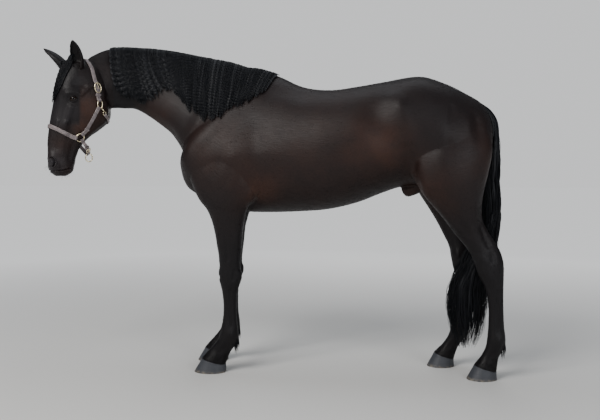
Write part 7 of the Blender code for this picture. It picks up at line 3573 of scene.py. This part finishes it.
@dataclass
class FaceHair:
    """Ear hair, lashes and the long feelers of the muzzle."""

    skin: Skin
    seed: int = 83
    ear_hairs: int = 330        # in each ear
    upper_lashes: int = 40      # on each eye
    lower_lashes: int = 12
    t: np.ndarray = field(default_factory=lambda: np.linspace(0, 1, 8)[:, None])
    paths: list[np.ndarray] = field(default_factory=list)
    outs: list[np.ndarray] = field(default_factory=list)
    sizes: list[float] = field(default_factory=list)

    def grow(self, path: np.ndarray, out: object, size: float) -> None:
        """Note one hair: its path, the way it faces and its half width.

        Args:
            path: Its places.
            out: The way it faces.
            size: Its half width at the root.
        """
        self.paths.append(path)
        self.outs.append(np.tile(out, (len(self.t), 1)))
        self.sizes.append(size)

    def ear_hair(self, rng: np.random.Generator) -> None:
        """Fine hair from the ears' edges across their openings.

        Args:
            rng: The source of random numbers.
        """
        t = self.t
        for ear in EARS:
            axis, face, wide, _ = (np.array(v) if isinstance(v, Vector) else v
                                   for v in ear.frame())
            rows = smooth_between(ear.stations, 12)
            for _ in range(self.ear_hairs):
                row = rows[rng.integers(0, int(len(rows) * 0.80))]
                share, half, depth, gape = row
                hand = rng.choice((-1.0, 1.0))
                angle = radians(gape) * rng.uniform(1.0, 1.35)
                edge = (np.array(ear.centre(share)) + face * (depth - 0.003) * cos(angle)
                        + wide * hand * (half - 0.003) * sin(angle))
                length = rng.uniform(0.010, 0.022) * (1.1 - 0.5 * share)
                way = axis * 0.75 + face * 0.30 - wide * hand * rng.uniform(0.3, 0.8)
                bend = axis * 0.5 - face * 0.15
                self.grow(edge + length * (way * t + bend * t ** 2 * 0.6), face,
                          rng.uniform(0.00030, 0.00060))

    def lashes(self, rng: np.random.Generator) -> None:
        """Lashes that stand out from the upper lids and a few below.

        Args:
            rng: The source of random numbers.
        """
        t = self.t
        for opening in EYES:
            along, up, out = opening.axes()
            for low in [False] * self.upper_lashes + [True] * self.lower_lashes:
                u = opening.half_length * rng.uniform(-0.85, 0.80)
                high, under = opening.edge(np.array([u]))
                v = under[0] if low else high[0]
                start = (opening.centre() + along * u + up * v
                         + out * sqrt(max(opening.ball ** 2 - u * u - v * v, 1e-6)))
                start = start + out * 0.0022
                length = rng.uniform(0.005, 0.007) if low else rng.uniform(0.009, 0.014)
                lean = u / opening.half_length * 0.5
                way = out * 0.85 + along * lean + up * (-0.35 if low else -0.15)
                bend = up * (-0.25 if low else 0.45)
                self.grow(start + length * (way * t + bend * t ** 2), up, 0.00022)

    def feelers(self, rng: np.random.Generator) -> None:
        """Long single hairs on the lips, the chin and under the eyes.

        Args:
            rng: The source of random numbers.
        """
        t = self.t
        places = ([(0.130, 0.030, 1.112), 0.020, 18], [(0.185, 0.044, 1.120), 0.022, 14],
                  [(0.215, 0.048, 1.150), 0.018, 14], [(0.110, 0.088, 1.488), 0.012, 5])
        for (forward, out_side, height), spread, count in places:
            for sign in [-1] * count + [1] * count:
                spot = FACE.point(forward + rng.normal(0, spread), sign * out_side,
                                  height + rng.normal(0, spread * 0.6))
                root, way = (np.array(v) for v in self.skin.tree.find_nearest(spot)[:2])
                length = rng.uniform(0.014, 0.026)
                droop = np.array((0.0, 0.0, -0.35)) + rng.normal(0, 0.12, 3)
                self.grow(root - way * 0.001 + length * (way * t + droop * t ** 2),
                          (0.0, 0.0, 1.0), 0.00020)

    def build(self) -> bpy.types.Object:
        """All of it as one piece.

        Returns:
            The piece.
        """
        rng = np.random.default_rng(self.seed)
        self.ear_hair(rng)
        self.lashes(rng)
        self.feelers(rng)
        paths = np.array(self.paths)
        wide = np.array(self.sizes)[:, None] * (1.0 - 0.75 * self.t.T ** 1.5)
        hair = Hair(paths, np.array(self.outs), wide, wide, blade(3), rng.random(len(paths)))
        piece = hair.piece("face_hair")
        points = np.repeat(paths[:, 0], 3 * len(self.t), axis=0)
        with_value(piece.data, "Warm", 0.5 * Tones.warmth(points))
        with_value(piece.data, "Bare", np.zeros(len(points)))
        return piece


# ------------------------------------------------------------------ studio


@dataclass(frozen=True)
class Studio:
    """The plain pale floor, the soft lights and the camera."""

    azimuth: float = radians(6.0)
    distance: float = 4.4
    height: float = 1.19
    tilt: float = atan(50.0 / 777.0)
    lens: float = 46.62
    floor_size: float = 60.0
    pale: Colour = (0.66, 0.655, 0.64)
    air: Colour = (0.80, 0.81, 0.82)

    def camera(self, shift: Vector) -> None:
        """The camera that looks at the horse's left side.

        Args:
            shift: How far the horse is set from its own directions.
        """
        data = bpy.data.cameras.new("camera")
        data.lens = self.lens
        data.sensor_width = 36.0
        camera = bpy.data.objects.new("camera", data)
        bpy.context.scene.collection.objects.link(camera)
        a, p = self.azimuth, self.tilt
        camera.location = shift + Vector((self.distance * sin(a), -self.distance * cos(a),
                                          self.height))
        ahead = Vector((-sin(a) * cos(p), cos(a) * cos(p), -sin(p)))
        camera.rotation_euler = ahead.to_track_quat("-Z", "Y").to_euler()
        bpy.context.scene.camera = camera

    def floor(self) -> None:
        """The plain pale floor."""
        half = self.floor_size / 2
        corners = np.array(((-half, -half, 0), (half, -half, 0), (half, half, 0), (-half, half, 0)))
        floor = new_object("floor", mesh_of("floor", corners, [np.array([[0, 1, 2, 3]])]))
        material, tree, shader = new_material("floor")
        away = tree.vectors("LENGTH", i0=tree.solid())
        far = tree.spread(away.outputs["Value"], 1.4, 5.6)
        tree.feed(shader, Base_Color=tree.blend(far, self.pale, (0.10, 0.10, 0.10)),
                  Roughness=0.9, Specular_IOR_Level=0.10, Emission_Color=rgba(self.air),
                  Emission_Strength=far)
        floor.data.materials.append(material)

    @staticmethod
    def lamp(name: str, place: tuple, target: tuple, size: tuple, power: float,
             colour: Colour) -> None:
        """One soft square lamp that faces a target.

        Args:
            name: The lamp's name.
            place: Where it hangs.
            target: What it faces.
            size: Its width and height.
            power: Its power in watts.
            colour: Its colour.
        """
        data = bpy.data.lights.new(name, "AREA")
        data.shape = "RECTANGLE"
        data.size, data.size_y = size
        data.energy = power
        data.color = colour
        lamp = bpy.data.objects.new(name, data)
        bpy.context.scene.collection.objects.link(lamp)
        lamp.location = place
        lamp.rotation_euler = (Vector(target) - Vector(place)).to_track_quat("-Z", "Y").to_euler()

    def lights(self) -> None:
        """A broad key from ahead and above, a top light and a weak fill."""
        self.lamp("key", (-2.6, -4.2, 4.4), (-0.1, 0.0, 1.2), (3.2, 3.2), 340.0, (1.0, 0.98, 0.95))
        self.lamp("top", (0.2, 0.8, 4.6), (0.1, 0.0, 1.3), (4.5, 2.4), 55.0, (0.92, 0.96, 1.0))
        self.lamp("fill", (4.0, -4.4, 2.6), (0.3, 0.0, 1.0), (3.0, 3.0), 120.0, (0.95, 0.97, 1.0))
        self.lamp("back", (0.6, 5.4, 2.0), (0.0, 0.0, 1.1), (4.0, 2.5), 80.0, (1.0, 1.0, 1.0))

    def world(self) -> None:
        """Pale air to look at, and softer light from it."""
        world = bpy.data.worlds.new("studio")
        world.use_nodes = True
        bpy.context.scene.world = world
        tree = Tree(world.node_tree)
        world.node_tree.nodes.clear()
        seen = tree.add("Background", Color=rgba(self.air), Strength=1.0)
        lit = tree.add("Background", Color=rgba((0.62, 0.66, 0.72)), Strength=0.20)
        path = tree.add("LightPath")
        mix = tree.add("MixShader", i0=path.outputs["Is Camera Ray"], i1=lit.outputs[0],
                       i2=seen.outputs[0])
        tree.add("OutputWorld", Surface=mix.outputs[0])

    def build(self, shift: Vector) -> None:
        """Set up the floor, the lights, the air and the camera.

        Args:
            shift: How far the horse is set from its own directions.
        """
        self.floor()
        self.lights()
        self.world()
        self.camera(shift)


# -------------------------------------------------------------------- main


@dataclass
class Dresser:
    """Sets finished pieces down in the frame."""

    shift: Vector

    def dress(self, obj: bpy.types.Object, slot: str, look: bpy.types.Material | None,
              *nodes: str) -> None:
        """Set a finished piece down and tell what it stands for.

        Args:
            obj: The piece, built in the horse's own directions.
            slot: The record's finish that the piece takes; not used.
            look: Its material, or none if it has one.
            nodes: The solids that the piece replaces.
        """
        if look:
            obj.data.materials.append(look)
        obj.data.transform(Matrix.Translation(self.shift))
        obj.data.update()
        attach(obj, BODY)
        if nodes:
            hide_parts(*nodes)
        LOG.info("%s: %d faces", obj.name, len(obj.data.polygons))


def shift_from_frame() -> Vector:
    """How far the frame's solids lie from the horse's own directions."""
    low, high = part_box("eye_left")
    return (low + high) / 2 - FACE.point(*EYE_PLACE)


def main() -> None:
    """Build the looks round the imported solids."""
    logging.basicConfig(level=logging.INFO, format="%(name)s: %(message)s")
    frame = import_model()
    shift = shift_from_frame()
    LOG.info("solids: %d nodes, shift %s", len(frame["nodes"]), tuple(shift))
    coat, hair, horn, wet = (finish().material() for finish in
                             (CoatFinish, HairFinish, HornFinish, EyeFinish))
    dress = Dresser(shift).dress
    skin = Skin()
    flesh = skin.build()
    Chart.map_skin(flesh.data)
    points = numbers(flesh.data.vertices, "co")
    with_value(flesh.data, "Warm", Tones.warmth(points))
    with_value(flesh.data, "Bare", Tones.bareness(points))
    flesh.data.materials.clear()
    for piece in [*Coat(skin).build(), FaceHair(skin).build()]:
        dress(piece, "coat", coat, *FLESH_NODES)
    for kind, node in ((Mane(skin), "mane"), (Tail(), "tail"), (Forelock(skin), "forelock")):
        for piece in kind.build():
            dress(piece, "long_hair", hair, node)
    dress(Feather(skin).build(), "long_hair", hair)
    for piece, nodes in build_horn(skin):
        dress(piece, "horn", horn, *nodes)
    for opening in EYES:
        dress(EyeBall(opening).build(), "eye", wet, f"eye_{opening.side.word}")
    for piece, slot, nodes in Halter(skin).build():
        dress(piece, slot, None, *nodes)
    dress(flesh, "coat", coat, *FLESH_NODES)
    Studio().build(shift)


FLESH_NODES = ("head", "neck", "trunk", "leg_fore_left", "leg_fore_right", "leg_hind_left",
               "leg_hind_right", "ear_left", "ear_right")

if __name__ == "__main__":
    main()
